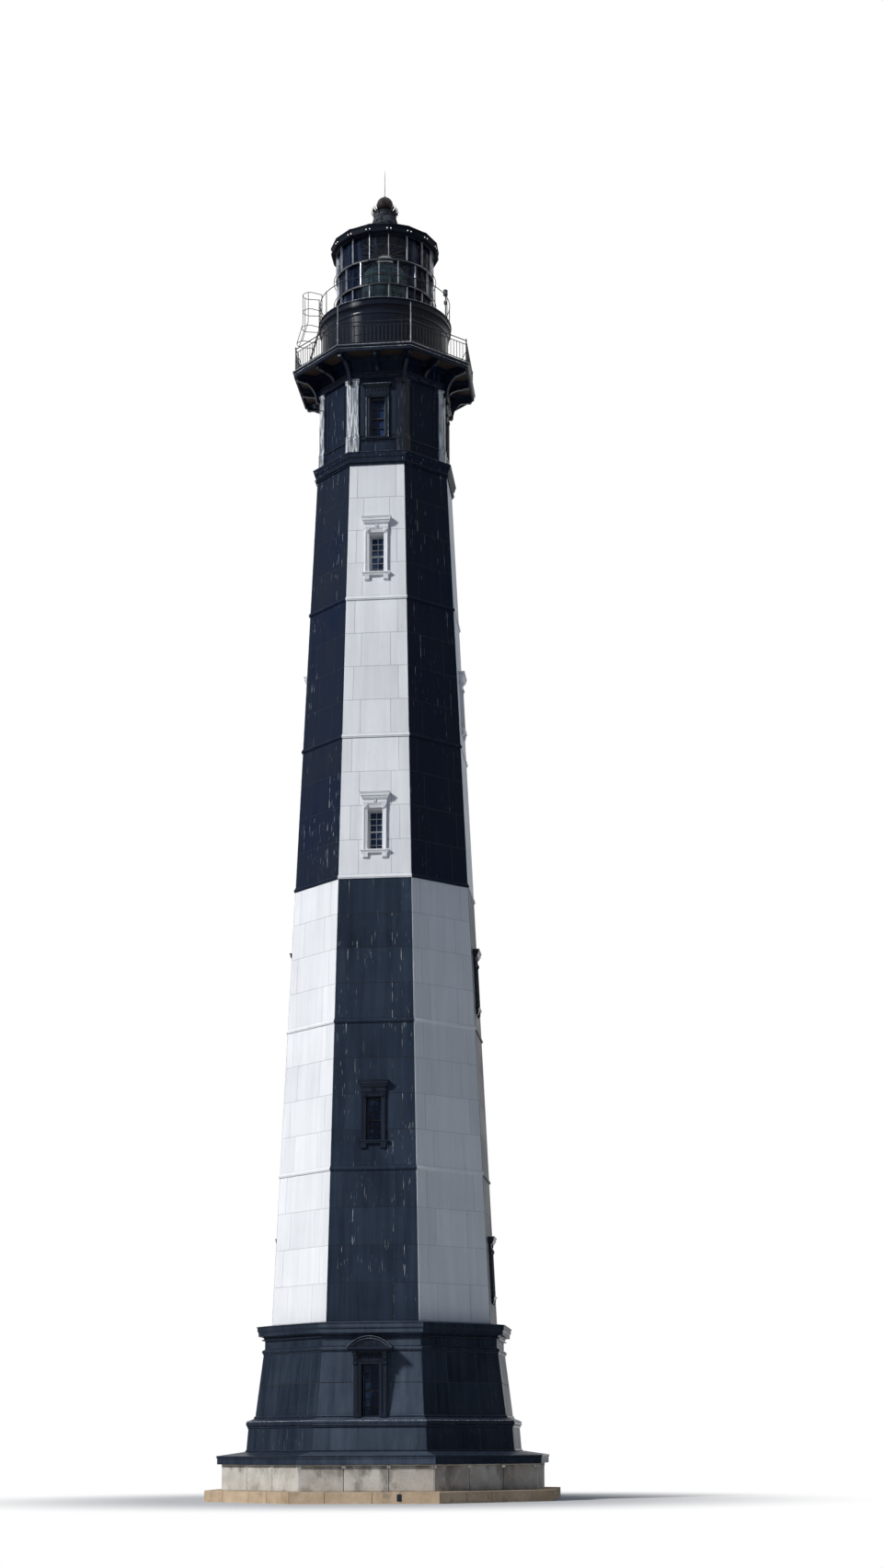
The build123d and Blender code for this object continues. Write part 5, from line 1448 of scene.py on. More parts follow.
def spiral(radius: float, length: float, end: float, count: int) -> np.ndarray:
    """Points of a spiral: its angle grows to the length, and its radius shrinks evenly so that
    it would be nothing at the end. Both are in half turns.

    Args:
        radius: radius at the start
        length: how far the angle goes
        end: angle at which the radius would be nothing
        count: number of points

    Returns:
        Points round the origin, one row each.
    """
    angle = np.linspace(0, length * np.pi, count)
    coil = radius * (1 - angle / (end * np.pi))
    return np.stack([coil * np.cos(angle), coil * np.sin(angle)], -1)


def volute(shell: Shell, place: Place, middle: Sequence[float], coil: np.ndarray, size: float) -> None:
    """Add a thin coil on an upright cheek: the middle is out, along and up.

    Args:
        shell: collects the coil
        place: the wall's frame
        middle: centre of the coil
        coil: points of a spiral: out and up
        size: radius of the round coil itself
    """
    out, along, up = middle
    path = np.column_stack([out + coil[:, 0], np.full(len(coil), along), up + coil[:, 1]])
    shell.tube(path, size, 5, place)


def bow_of(half: float, rise: float) -> tuple[float, float]:
    """Radius of an arch and half its angle in degrees: the radius is half the chord squared
    plus the rise squared, over twice the rise."""
    radius = (half**2 + rise**2) / (2 * rise)
    return radius, math.degrees(math.asin(half / radius))


def carving(shell: Shell, place: Place, low: Sequence[float], high: Sequence[float], depth: float) -> None:
    """Add a panel of running scrollwork.

    Over the panel's width x and height y, both from -1 to 1, a wave y = 0.5 sin(3 pi x) is
    the stem; spirals curl in its bends, and the relief is the highest of the stem's and the
    spirals' ridges, each the exponential of minus the squared distance to its line.

    Args:
        shell: collects the shape
        place: the wall
        low: out of the back, and least along and up
        high: out of the ground of the relief, and most along and up
        depth: height of the relief
    """
    columns, rows = 61, 15
    x, y = np.meshgrid(np.linspace(-1, 1, columns), np.linspace(-1, 1, rows), indexing="ij")
    relief = np.exp(-(((y - 0.5 * np.sin(3 * np.pi * x)) / 0.17) ** 2))
    for number in range(6):
        centre = (number + 0.5) / 3 - 1
        side = -1 if number % 2 == 0 else 1
        dx, dy = (x - centre) * 3.4, y - side * -0.18
        reach, angle = np.hypot(dx, dy), np.arctan2(dy * side, dx)
        coil = (reach * 2.6 - angle / (2 * np.pi)) % 1.0 - 0.5
        leaf = np.exp(-((coil / 0.2) ** 2)) * np.exp(-((reach / 0.62) ** 4))
        relief = np.maximum(relief, leaf)
    border = np.minimum(1 - np.abs(x), (1 - np.abs(y)) * 0.25)
    relief = relief * np.clip(border / 0.06, 0, 1)
    along = low[1] + (high[1] - low[1]) * (x + 1) / 2
    up = low[2] + (high[2] - low[2]) * (y + 1) / 2
    front = np.stack([high[0] + depth * relief, along, up], -1)
    shell.add(*closed_panel(front, low[0]), place)


def closed_panel(front: np.ndarray, back: float) -> tuple[np.ndarray, Faces]:
    """Close a (n, m, 3) front grid with a flat back of the same outline.

    Args:
        front: out, along and up of the front
        back: out of the back

    Returns:
        Points and faces of the closed panel.
    """
    n, m = front.shape[:2]
    index = np.arange(n * m).reshape(n, m)
    quads = np.stack([index[:-1, :-1], index[1:, :-1], index[1:, 1:], index[:-1, 1:]], -1).reshape(-1, 4)
    rim = np.concatenate([index[:-1, 0], index[-1, :-1], index[:0:-1, -1], index[0, :0:-1]])
    behind = front.reshape(-1, 3)[rim].copy()
    behind[:, 0] = back
    base = n * m + np.arange(len(rim))
    sides = np.stack([np.roll(rim, -1), rim, base, np.roll(base, -1)], -1)
    return np.concatenate([front.reshape(-1, 3), behind]), [quads, sides, base[None, ::-1]]


@dataclass
class Sash:
    """A pair of sliding sashes with glazing bars, behind the wall's face."""

    width: float
    height: float
    setback: float
    rows: int = 3
    columns: int = 2
    stile: float = 0.024
    depth: float = 0.03
    bar: float = 0.011
    bead: float = 0.016
    play: float = 0.0005

    def build(self, shell: Shell, place: Place) -> None:
        """Frame both lights, part them with bars, and put a bead round the opening.

        Args:
            shell: collects the sash
            place: frame at the opening's foot, in the wall's face
        """
        wall = place.moved(-self.setback)
        light = (self.height - 3 * self.stile) / 2
        half = self.width / 2 - self.stile
        back = -self.depth
        section = line(
            (0.0, back), (0.0, -0.010), (-0.004, -0.002), (-0.010, 0.0), (-0.0235, 0.0), (-0.0235, back)
        )
        for foot in (self.stile, 2 * self.stile + light):
            shell.carry(section, portal(half, foot, foot + light), Plane.WALL, wall, True)
            self.bars(shell, wall, half, foot, foot + light)
        meet = 1.5 * self.stile + light
        shell.block((-0.01, -half, meet - 0.014), (0.006, half, meet + 0.014), 0.004, wall)
        stop = line((0.0, 0.0), (0.0, 0.020), (0.006, 0.024), (self.bead, 0.020), (self.bead, 0.0))
        around = portal(self.width / 2 - self.play, self.play, self.height - self.play)
        shell.carry(stop, around, Plane.WALL, wall, True)

    def bars(self, shell: Shell, wall: Place, half: float, foot: float, head: float) -> None:
        """Bars of one light: a flat front with sloping sides.

        Args:
            shell: collects the bars
            wall: frame of the sash, set back in its opening
            half: half width of the light
            foot: foot of the light
            head: head of the light
        """
        size, back, lap = self.bar / 2, 0.002 - self.depth, 0.002
        for column in range(1, self.columns):
            middle = -half + 2 * half * column / self.columns
            shell.block((back, middle - size, foot - lap), (-0.004, middle + size, head + lap), 0.003, wall)
        for row in range(1, self.rows):
            level = foot + (head - foot) * row / self.rows
            shell.block((back, -half - lap, level - size), (-0.005, half + lap, level + size), 0.003, wall)


@dataclass
class ShaftWindow:
    """Cast surround of a shaft window: architrave, rosettes, frieze with a boss, hood and sill."""

    width: float = 0.265
    height: float = 0.77
    band: float = 0.072
    backband: float = 0.014
    frieze_half: float = 0.2175
    frieze_foot: float = 0.018
    frieze_height: float = 0.088
    frieze_out: float = 0.05
    hood_out: float = 0.062
    sill_half: float = 0.2415
    sill_out: float = 0.05
    block_half: float = 0.046
    block_at: float = 0.1725

    def build(self, shell: Shell, place: Place) -> None:
        """Build one surround on its wall, from the opening's foot.

        Args:
            shell: collects the surround
            place: frame at the opening's foot, in the wall's face
        """
        half, band, outer = self.width / 2, self.band, self.band + self.backband
        section = line(
            (0.0, -0.02), (0.0, 0.026), (-0.004, 0.030), (-0.026, 0.030), (-0.028, 0.037), (-0.048, 0.037),
            cyma((-0.050, 0.038), (-0.064, 0.050), 5),
            (-band, 0.050), (-band, 0.025), (-outer + 0.003, 0.025), (-outer, 0.021), (-outer, -0.02),
        )
        shell.carry(section, portal(half, 0.0, self.height), Plane.WALL, place)
        level = self.height + band
        corner_blocks(shell, place, half, band, level, 0.056)
        shell.block((-0.01, -half - outer, level), (0.058, half + outer, level + 0.012), 0.003, place)
        foot, top, frieze = level + self.frieze_foot, level + self.frieze_height, self.frieze_half
        shell.block((-0.01, -frieze, foot), (self.frieze_out, frieze, top), 0.002, place)
        rosette(shell, place, (self.frieze_out, 0.0, (foot + top) / 2), 0.030, 0.024, 10)
        self.hood(shell, place, top)
        self.sill(shell, place)

    def hood(self, shell: Shell, place: Place, foot: float) -> None:
        """Bed moulding, corona and cap, carried round the frieze's two ends.

        Args:
            shell: collects the surround
            place: frame at the opening's foot, in the wall's face
            foot: height of the hood's foot over the opening's
        """
        section = line(
            (0.075, 0.0), (-0.006, 0.0), cyma((-0.006, 0.010), (-0.040, 0.054), 9), (-0.042, 0.060),
            (-0.042, 0.094), (-0.046, 0.094), cyma((-0.046, 0.098), (-0.058, 0.118), 5), (-0.060, 0.124),
            (0.0, 0.132), (0.075, 0.134),
        )
        side = self.frieze_half
        shell.carry(section + [0, foot], portal(side, -0.02, self.hood_out), Plane.LEVEL, place)
        shell.block((-0.01, -side + 0.07, foot), (0.02, side - 0.07, foot + 0.13), 0.0, place)

    def sill(self, shell: Shell, place: Place) -> None:
        """Nosed sill on two blocks whose lower ends are scrolled.

        Args:
            shell: collects the surround
            place: frame at the opening's foot, in the wall's face
        """
        section = line(
            (0.055, -0.062), (0.0, -0.062), (-0.002, -0.050), (-0.010, -0.036), (-0.012, -0.030),
            (-0.021, -0.028), (-0.0225, -0.018), arc((-0.012, -0.014), 0.010, 200, 90, 6)[1:], (0.055, 0.004),
        )
        side = self.sill_half
        shell.carry(section, portal(side, -0.02, self.sill_out), Plane.LEVEL, place)
        shell.block((-0.01, -side + 0.05, -0.06), (0.02, side - 0.05, 0.002), 0.0, place)
        curl = arc((0.020, -0.128), 0.023, 20, -110, 8)
        outline = line((-0.01, -0.060), (0.048, -0.060), (0.048, -0.100), curl, (-0.01, -0.152))
        for at in (-self.block_at, self.block_at):
            shell.slab(outline, at - self.block_half, at, 0.003, Plane.UPRIGHT, place)
            shell.slab(outline, at + self.block_half, at, 0.0, Plane.UPRIGHT, place)


@dataclass
class BaseWindow:
    """Upright surround of a base window: jambs, carved frieze, consoles, entablature, pediment."""

    width: float = 0.30
    height: float = 0.88
    jamb: float = 0.137
    front: float = 0.04
    back: float = -0.235
    head: float = 0.225
    console_half: float = 0.030
    slab_half: float = 0.3825
    slab_height: float = 0.062
    rise: float = 0.195
    reach: float = 0.19

    def build(self, shell: Shell, place: Place) -> None:
        """Build one surround from the foot of its opening.

        Args:
            shell: collects the surround
            place: frame at the opening's foot, in the wall's face
        """
        half, outer, front = self.width / 2, self.width / 2 + self.jamb, self.front
        level = self.height + self.head
        for side in (-1, 1):
            low, high = sorted((side * half, side * outer))
            shell.block((self.back, low, -0.015), (front, high, level + 0.015), 0.004, place)
            low, high = sorted((side * (half + 0.062), side * (outer - 0.010)))
            shell.block((0.0, low, -0.015), (front + 0.014, high, self.height + 0.02), 0.005, place)
            shell.block((0.0, low - 0.008, -0.015), (front + 0.024, high + 0.008, 0.06), 0.006, place)
            self.console(shell, place, side * (outer - 0.032), level)
        shell.block((self.back, -half, self.height), (front, half, level + 0.015), 0.002, place)
        section = line(
            (0.0, -front), (0.0, 0.008), (-0.004, 0.012), (-0.020, 0.012), (-0.022, 0.020), (-0.040, 0.020),
            (-0.050, 0.030), (-0.056, 0.030), (-0.056, -front),
        )
        shell.carry(section + [0, front], portal(half, -0.01, self.height), Plane.WALL, place)
        low = (front - 0.01, -half - 0.045, self.height + 0.066)
        carving(shell, place, low, (front + 0.004, half + 0.045, level - 0.012), 0.018)
        self.entablature(shell, place, level)
        self.pediment(shell, place, level + self.slab_height)

    def console(self, shell: Shell, place: Place, at: float, top: float) -> None:
        """A scrolled console: an S-shaped block with a volute at each end.

        Args:
            shell: collects the surround
            place: frame at the opening's foot, in the wall's face
            at: place of its middle along the wall
            top: height of its top over the opening's foot
        """
        front, half = self.front, self.console_half
        curve = cyma((top - 0.075, front + 0.070), (top - 0.215, front + 0.026), 12)[:, ::-1]
        outline = line(
            (front - 0.02, top + 0.002), (front + 0.085, top + 0.002), (front + 0.085, top - 0.02), curve,
            (front - 0.02, top - 0.235),
        )
        shell.slab(outline, at - half, at, 0.004, Plane.UPRIGHT, place)
        shell.slab(outline, at + half, at, 0.004, Plane.UPRIGHT, place)
        for out, up, radius in ((front + 0.048, top - 0.045, 0.040), (front + 0.020, top - 0.210, 0.026)):
            coil = spiral(radius, 4.4, 1 / 0.17, 60)
            for along in (at - half - 0.001, at + half + 0.001):
                volute(shell, place, (out, along, up), coil, 0.005)
            ring = arc((out, up), radius + 0.003, 0, 336, 14)
            shell.slab(ring, at - half, at + half, 0.002, Plane.UPRIGHT, place)

    def entablature(self, shell: Shell, place: Place, foot: float) -> None:
        """The slab over the consoles, moulded on three sides.

        Args:
            shell: collects the surround
            place: frame at the opening's foot, in the wall's face
            foot: height of the slab's foot over the opening's
        """
        section = line(
            (0.387, 0.0), (0.0306, 0.0), cyma((0.027, 0.006), (0.0072, 0.026), 6), (0.0, 0.030), (0.0, 0.058),
            (0.0054, 0.064), (0.387, 0.064),
        )
        path = portal(self.slab_half, self.back, self.reach)
        shell.carry(section + [0, foot], path, Plane.LEVEL, place)

    def pediment(self, shell: Shell, place: Place, foot: float) -> None:
        """A segment of a circle over the slab, its rim's moulding carried along the arc.

        Args:
            shell: collects the surround
            place: frame at the opening's foot, in the wall's face
            foot: height of the segment's foot over the opening's
        """
        radius, limit = bow_of(self.slab_half, self.rise)
        reach, centre = self.reach, foot + self.rise - radius
        section = line(
            (0.0, self.back), (0.0, reach), cyma((0.012, reach), (0.034, reach - 0.024), 6),
            (0.044, reach - 0.024), (0.044, reach - 0.036), (0.058, reach - 0.040), (0.062, reach - 0.062),
            (0.062, self.back),
        )
        shell.carry(section, arc((0.0, centre), radius, 90 + limit, 90 - limit, 28), Plane.WALL, place)
        field = arc((0.0, centre), radius - 0.002, 90 - limit, 90 + limit, 24)
        shell.slab(field, self.back, reach - 0.06, 0.0, Plane.WALL, place)
        rosette(shell, place, (reach - 0.062, 0.0, foot + 0.062), 0.045, 0.018, 10)
        coil = spiral(0.034, 2.6, 3.2, 40)
        for side in (-1, 1):
            along = side * (0.115 + coil[:, 0])
            path = np.column_stack([np.full(len(coil), reach - 0.058), along, foot + 0.045 + coil[:, 1]])
            shell.tube(path, np.linspace(0.009, 0.004, len(coil)), 6, place)


@dataclass
class WatchWindow:
    """Surround of a watch-room window: architrave, rosettes, carved frieze and flat hood."""

    width: float = 0.275
    height: float = 0.76
    rise: float = 0.045
    band: float = 0.072
    frieze_half: float = 0.22
    frieze_height: float = 0.12
    hood_half: float = 0.265
    hood_out: float = 0.09

    def build(self, shell: Shell, place: Place) -> None:
        """Build one surround from the foot of its opening.

        Args:
            shell: collects the surround
            place: frame at the opening's foot, in the wall's face
        """
        half, band, frieze = self.width / 2, self.band, self.frieze_half
        section = line(
            (0.0, -0.02), (0.0, 0.024), (-0.004, 0.028), (-0.024, 0.028), (-0.026, 0.036), (-0.046, 0.036),
            cyma((-0.048, 0.037), (-0.062, 0.047), 5), (-band, 0.047), (-band, -0.02),
        )
        shell.carry(section, portal(half, -self.rise, self.height), Plane.WALL, place)
        shell.block((-0.02, -half - band, -self.rise), (0.040, half + band, 0.0), 0.004, place)
        level = self.height + band
        corner_blocks(shell, place, half, band, level, 0.052)
        top = level + self.frieze_height
        shell.block((-0.02, -frieze, level), (0.034, frieze, top), 0.003, place)
        low = (0.02, -frieze + 0.014, level + 0.016)
        carving(shell, place, low, (0.036, frieze - 0.014, top - 0.012), 0.014)
        hood = line(
            (0.09, 0.0), (0.052, 0.0), cyma((0.050, 0.004), (0.022, 0.030), 6), (0.0, 0.032), (0.0, 0.056),
            (0.008, 0.064), (0.09, 0.066),
        )
        shell.carry(hood + [0, top], portal(self.hood_half, -0.02, self.hood_out), Plane.LEVEL, place)
        side = self.hood_half - 0.08
        shell.block((-0.02, -side, top), (0.03, side, top + 0.064), 0.0, place)


@dataclass
class Windows:
    """All eighteen windows, with their surrounds and sashes."""

    base_height: float = 1.445
    base_inradius: float = 2.214
    watch_height: float = 19.435
    watch_inradius: float = 1.155
    setback: float = 0.19
    watch_setback: float = 0.085

    def build(self) -> None:
        """Build the surrounds and the sashes in their two colours."""
        surrounds, sashes = {True: Shell(), False: Shell()}, {True: Shell(), False: Shell()}
        base, watch = Shell(), Shell()
        for tier in range(1, SHAFT.tiers + 1):
            white = SHAFT.is_white(tier, Side.WINDOW)
            for place in SHAFT.window_places(tier):
                ShaftWindow().build(surrounds[white], place)
                Sash(ShaftWindow.width, ShaftWindow.height, self.setback).build(sashes[white], place)
        for turn in wall_turns(math.pi / 2, 2):
            place = Place.on_wall(self.base_inradius, self.base_height, 0.0, turn)
            BaseWindow().build(base, place)
            Sash(BaseWindow.width, BaseWindow.height, self.setback).build(sashes[False], place)
        for turn in wall_turns(0.0, 4):
            place = Place.on_wall(self.watch_inradius, self.watch_height, 0.0, turn)
            WatchWindow().build(watch, place)
            Sash(WatchWindow.width, WatchWindow.height, self.watch_setback, 2).build(sashes[False], place)
        for white, colour, finish in ((True, "white", Finish.WHITE), (False, "black", Finish.MOULDING)):
            node = f"{colour}_window_surrounds"
            surrounds[white].piece(f"cast_surrounds_{colour}", finish, f"{colour}_paint", node)
        base.piece("pedimented_surrounds", Finish.MOULDING, "black_paint", "base_window_surrounds")
        watch.piece("watch_surrounds", Finish.MOULDING, "black_paint", "watch_window_surrounds")
        sashes[True].piece("white_glazing_bars", Finish.JOINERY, "white_joinery", "white_sashes")
        sashes[False].piece("black_glazing_bars", Finish.BLACK_JOINERY, "black_paint", "black_sashes")


# Watch room and main gallery


@dataclass
class WatchRoom:
    """Corner pilasters, panel mouldings, beads, tablets and the small floodlight."""

    foot: float = 19.096
    pilaster: float = 1.186
    leg: float = 0.135
    base: float = 0.390
    head: float = 20.566
    cap: float = 0.070
    # Corners, in degrees, whose pilasters take the painted highlight where their rough paint catches the
    # sun's glare.
    bleached: tuple[float, ...] = (202.5, 247.5, 337.5)
    beads: tuple[tuple[float, float, float], ...] = (
        (1.294, 19.088, 0.008), (1.262, 18.902, 0.009), (1.180, 19.376, 0.009),
        (1.205, 20.584, 0.008), (1.212, 20.640, 0.008),
    )
    sunk: tuple[tuple[float, ...], ...] = (
        (-0.31, 0.31, 19.13, 19.33, 1.168), (-0.34, -0.245, 19.46, 20.47, 1.155),
        (0.245, 0.34, 19.46, 20.47, 1.155),
    )
    tablets: tuple[float, ...] = (-0.30, 0.0, 0.30)
    tablet_half: float = 0.115
    tablet_span: tuple[float, float] = (20.598, 20.628)
    lamp_turn: float = math.radians(-135)
    lamp_along: float = -0.37
    lamp_foot: float = 20.20

    def build(self) -> None:
        """Build the pilasters and the trim."""
        pilasters, bleached, trim = Shell(), Shell(), Shell()
        for turn in wall_turns(HALF_FACE, SIDES):
            # Painted highlight: these pilasters get the pale finish in place of the sun's glare on them.
            in_glare = min(abs(math.degrees(turn) - angle) for angle in self.bleached) < 1
            self.corner(bleached if in_glare else pilasters, upright(turn))
        for place in round_places(0.0, SIDES):
            self.panels(trim, place)
        for radius, height, size in self.beads:
            trim.bead(radius, height, size)
        pilasters.piece("corner_pilasters", Finish.WORN, "black_paint", "watch_room_pilasters")
        bleached.piece("bleached_pilasters", Finish.BLEACHED, "black_paint", "watch_room_pilasters")
        trim.piece("watch_room_trim", Finish.MOULDING, "black_paint")
        self.floodlight()

    def corner(self, shell: Shell, place: Place) -> None:
        """One pilaster wrapped round a corner: a flared base block, a shaft and a flared cap.

        Args:
            shell: collects the pilaster
            place: frame that looks out through the corner
        """
        low, high = self.foot, self.head
        base, cap = low + self.base, high - self.cap
        block = line(
            (0.04, low + 0.001), (-0.018, low + 0.001), (-0.018, low + 0.03), (-0.014, low + 0.036),
            (-0.014, base - 0.12), (-0.018, base - 0.115), (-0.018, base - 0.09),
            cyma((-0.016, base - 0.085), (0.0, base - 0.005), 6), (0.04, base - 0.005),
        )
        column = line(
            (0.04, low + 0.002), (0.0, low + 0.002), (0.0, cap - 0.05), (-0.007, cap - 0.045),
            (-0.007, cap - 0.033), (0.0, cap - 0.028), (0.0, high - 0.002), (0.04, high - 0.002),
        )
        flare = line(
            (0.04, cap - 0.012), (-0.002, cap - 0.012), cyma((-0.004, cap), (-0.017, cap + 0.034), 5),
            (-0.022, cap + 0.038), (-0.022, cap + 0.056), (-0.014, high - 0.001), (0.04, high - 0.001),
        )
        radius = self.pilaster / math.cos(HALF_FACE)
        for section, more in ((block, 0.012), (column, 0.0), (flare, 0.020)):
            leg = self.leg + more
            along, back = leg * math.cos(HALF_FACE), radius - leg * math.sin(HALF_FACE)
            shell.carry(section, line((-along, back), (0.0, radius), (along, back)), Plane.LEVEL, place)

    def panels(self, shell: Shell, place: Place) -> None:
        """A sunk panel's moulding under the sill, a narrow one each side of the window, and
        three raised tablets in the frieze over it.

        Args:
            shell: collects the mouldings and the tablets
            place: frame that looks out through the middle of the side
        """
        moulding = line((0.0, -0.01), (0.0, 0.004), (-0.004, 0.009), (-0.010, 0.009), (-0.014, -0.01))
        for left, right, low, high, out in self.sunk:
            path = line((left, low), (left, high), (right, high), (right, low))
            shell.carry(moulding + [0, out], path, Plane.WALL, place, True)
        (low, high), half = self.tablet_span, self.tablet_half
        for at in self.tablets:
            shell.block((1.19, at - half, low), (1.210, at + half, high), 0.006, place)

    def floodlight(self) -> None:
        """A small lamp on a bent arm beside a corner pilaster."""
        shell = Shell()
        place = upright(self.lamp_turn)
        spot = np.array([0.0, self.lamp_along, self.lamp_foot])
        arm = line((1.15, 0.0, 0.04), (1.27, 0.0, 0.04), (1.31, 0.0, 0.07), (1.33, 0.0, 0.10))
        shell.tube(arm + spot, 0.008, 8, place)
        barrel = line((1.31, 0.0, 0.12), (1.325, 0.0, 0.115), (1.36, 0.0, 0.10), (1.40, 0.0, 0.084))
        shell.tube(barrel + spot, (0.016, 0.026, 0.034, 0.044), 14, place)
        shell.block(spot + [1.15, -0.03, 0.0], spot + [1.165, 0.03, 0.08], 0.004, place)
        shell.piece("watch_floodlight", Finish.WORN, "lamp_housing")


@dataclass
class MainGallery:
    """Scrolled brackets, the deck's mouldings and soffit, railings, posts and masts."""

    wall: float = 1.172
    foot: float = 20.684
    pilaster: float = 1.186
    low: float = 20.441
    underside: float = 20.899
    deck: float = 21.014
    edge: float = 1.655
    rail: float = 1.615
    rails: tuple[tuple[float, float], ...] = ((0.451, 0.009), (0.376, 0.007), (0.051, 0.009))
    balusters: int = 17
    baluster_span: tuple[float, float] = (0.045, 0.378)
    thickness: float = 0.062
    pocket: tuple[float, float] = (1.272, 1.600)
    mast_out: float = 0.025

    def build(self) -> None:
        """Build the gallery's pieces."""
        brackets, trim, soffit, rails, posts, masts = (Shell() for _ in range(6))
        for place in round_places(0.0, SIDES):
            self.bracket(brackets, place, self.wall, self.foot, self.edge - 0.05)
            self.soffit(soffit, place)
            self.railing(rails, place)
        cosine = math.cos(HALF_FACE)
        for place in round_places(HALF_FACE, SIDES):
            self.bracket(brackets, place, self.pilaster / cosine, self.low, self.edge / cosine - 0.07)
            self.post(posts, place)
        self.edging(trim)
        for turn in (-5 * HALF_FACE, -3 * HALF_FACE):
            self.mast(masts, upright(turn))
        brackets.piece("scrolled_brackets", Finish.MOULDING, "black_paint", "gallery_brackets")
        trim.piece("gallery_edge", Finish.MOULDING, "black_paint")
        soffit.piece("gallery_soffit_panels", Finish.SOFFIT, "black_paint")
        rails.piece("baluster_railing", Finish.RAIL, "black_paint", "gallery_railing")
        posts.piece("gallery_corner_posts", Finish.RAIL, "black_paint", "gallery_posts")
        masts.piece("gallery_masts", Finish.MAST, "black_paint")

    def bracket(self, shell: Shell, place: Place, wall: float, foot: float, reach: float) -> None:
        """One bracket: an S-shaped cheek with a volute at each end and a raised rib. Its lower
        sweep is a parabola whose control point stands over its foot.

        Args:
            shell: collects the bracket
            place: direction of the bracket
            wall: distance of the wall from the axis
            foot: height of the foot
            reach: how far it reaches from the axis
        """
        heel, top, toe = wall - 0.01, self.underside + 0.001, self.underside - 0.070
        start = np.array([wall + 0.055, foot])
        knee = np.array([(wall + 0.055 + reach) / 2, self.underside - 0.097])
        control = np.array([wall + 0.062, (foot + 2 * knee[1]) / 3])
        step = np.linspace(0, 1, 12)[:, None]
        swell = (1 - step) ** 2 * start + 2 * step * (1 - step) * control + step**2 * knee
        rib = line(swell, cyma(knee, (reach, toe), 9)[1:])
        outline = line((heel, top), (heel, foot), rib, (reach, top))
        half = self.thickness / 2
        for side in (-half, half):
            shell.slab(outline, 0.0, side * 0.72, 0.0, Plane.UPRIGHT, place)
            path = np.column_stack([rib[:, 0], np.full(len(rib), side * 0.78), rib[:, 1] + 0.010])
            shell.tube(path, 0.010, 7, place)
        for out, up, radius in ((reach - 0.040, toe + 0.028, 0.036), (wall + 0.026, foot + 0.040, 0.034)):
            shell.slab(arc((out, up), radius, 0, 340, 17), -half, half, 0.004, Plane.UPRIGHT, place)
            coil = spiral(radius - 0.006, 3.6, 4.2, 40)
            for along in (-half - 0.001, half + 0.001):
                volute(shell, place, (out, along, up), coil, 0.004)

    def soffit(self, shell: Shell, place: Place) -> None:
        """Two stepped panels in the pockets under the deck.

        Args:
            shell: collects the panels
            place: frame that looks out through the middle of the side
        """
        low, high = self.pocket
        slope = math.tan(HALF_FACE)
        corners = line((0.052, low), (low * slope - 0.055, low), (high * slope - 0.055, high), (0.052, high))
        for side in (-1, 1):
            outline = corners * [side, 1]
            shell.slab(outline, self.deck - 0.038, self.deck - 0.052, 0.0, Plane.LEVEL, place)
            shell.slab(inset(outline, 0.035), self.deck - 0.040, self.deck - 0.062, 0.0, Plane.LEVEL, place)

    def edging(self, shell: Shell) -> None:
        """The deck's rim: a nosed band, a fillet and a bead, with bolts near the corners.

        Args:
            shell: collects the mouldings and the bolts
        """
        z, edge = self.deck, self.edge
        nose = arc((edge - 0.002, z - 0.022), 0.017, -90, 70, 9)
        shell.ring(line((edge - 0.012, z - 0.039), nose, (edge - 0.012, z + 0.001)), SIDES, True)
        fillet = line((-0.03, -0.056), (-0.006, -0.056), (-0.004, -0.046), (-0.03, -0.044))
        shell.ring(fillet + [edge, z], SIDES, True)
        shell.bead(edge - 0.013, self.underside + 0.010, 0.008)
        shell.bead(1.215, self.foot - 0.012, 0.010)
        reach = edge * math.tan(HALF_FACE)
        for place in round_places(0.0, SIDES):
            for along in (-reach + 0.05, -reach + 0.12, reach - 0.12, reach - 0.05):
                shell.knob((edge - 0.011, along, z - 0.080), 0.010, 0.7, place)
                shell.knob((edge - 0.022, along, self.underside - 0.004), 0.012, 0.9, place)

    def railing(self, shell: Shell, place: Place) -> None:
        """One face of the railing: three rails, and balusters between the lower two.

        Args:
            shell: collects the rails and the balusters
            place: frame that looks out through the middle of the side
        """
        half = self.rail * math.tan(HALF_FACE)
        for rise, radius in self.rails:
            path = line(*((self.rail, along, self.deck + rise) for along in np.linspace(-half, half, 5)))
            shell.tube(path, radius, 8, place)
        width = 2 * half - 0.026
        foot, head = (self.deck + rise for rise in self.baluster_span)
        for number in range(self.balusters):
            along = (number + 1) * width / (self.balusters + 1) - width / 2
            path = line(*((self.rail, along, z) for z in (foot, foot + 0.02, head - 0.02, head)))
            shell.tube(path, 0.0058, 6, place)

    def post(self, shell: Shell, place: Place) -> None:
        """A corner post with a foot plate, a cap and a raking brace.

        Args:
            shell: collects the post and its brace
            place: frame that looks out through the corner
        """
        out, z = self.rail / math.cos(HALF_FACE), self.deck
        profile = line(
            (0.024, 0.0), (0.024, 0.012), (0.013, 0.018), (0.012, 0.20), (0.0155, 0.205), (0.0155, 0.22),
            (0.011, 0.225), (0.011, 0.44), (0.016, 0.447), (0.016, 0.462), (0.009, 0.468), (0.013, 0.478),
            (0.009, 0.488), (0.002, 0.490),
        )
        shell.turned(profile + [0, z], 10, place.moved(out))
        steps = np.linspace(0, 1, 6)
        brace = np.column_stack([out - 0.16 * (1 - steps), np.zeros(6), z + 0.235 * steps**0.9])
        shell.tube(brace, 0.007, 7, place)
        shell.block((out - 0.185, -0.018, z - 0.001), (out - 0.14, 0.018, z + 0.008), 0.002, place)

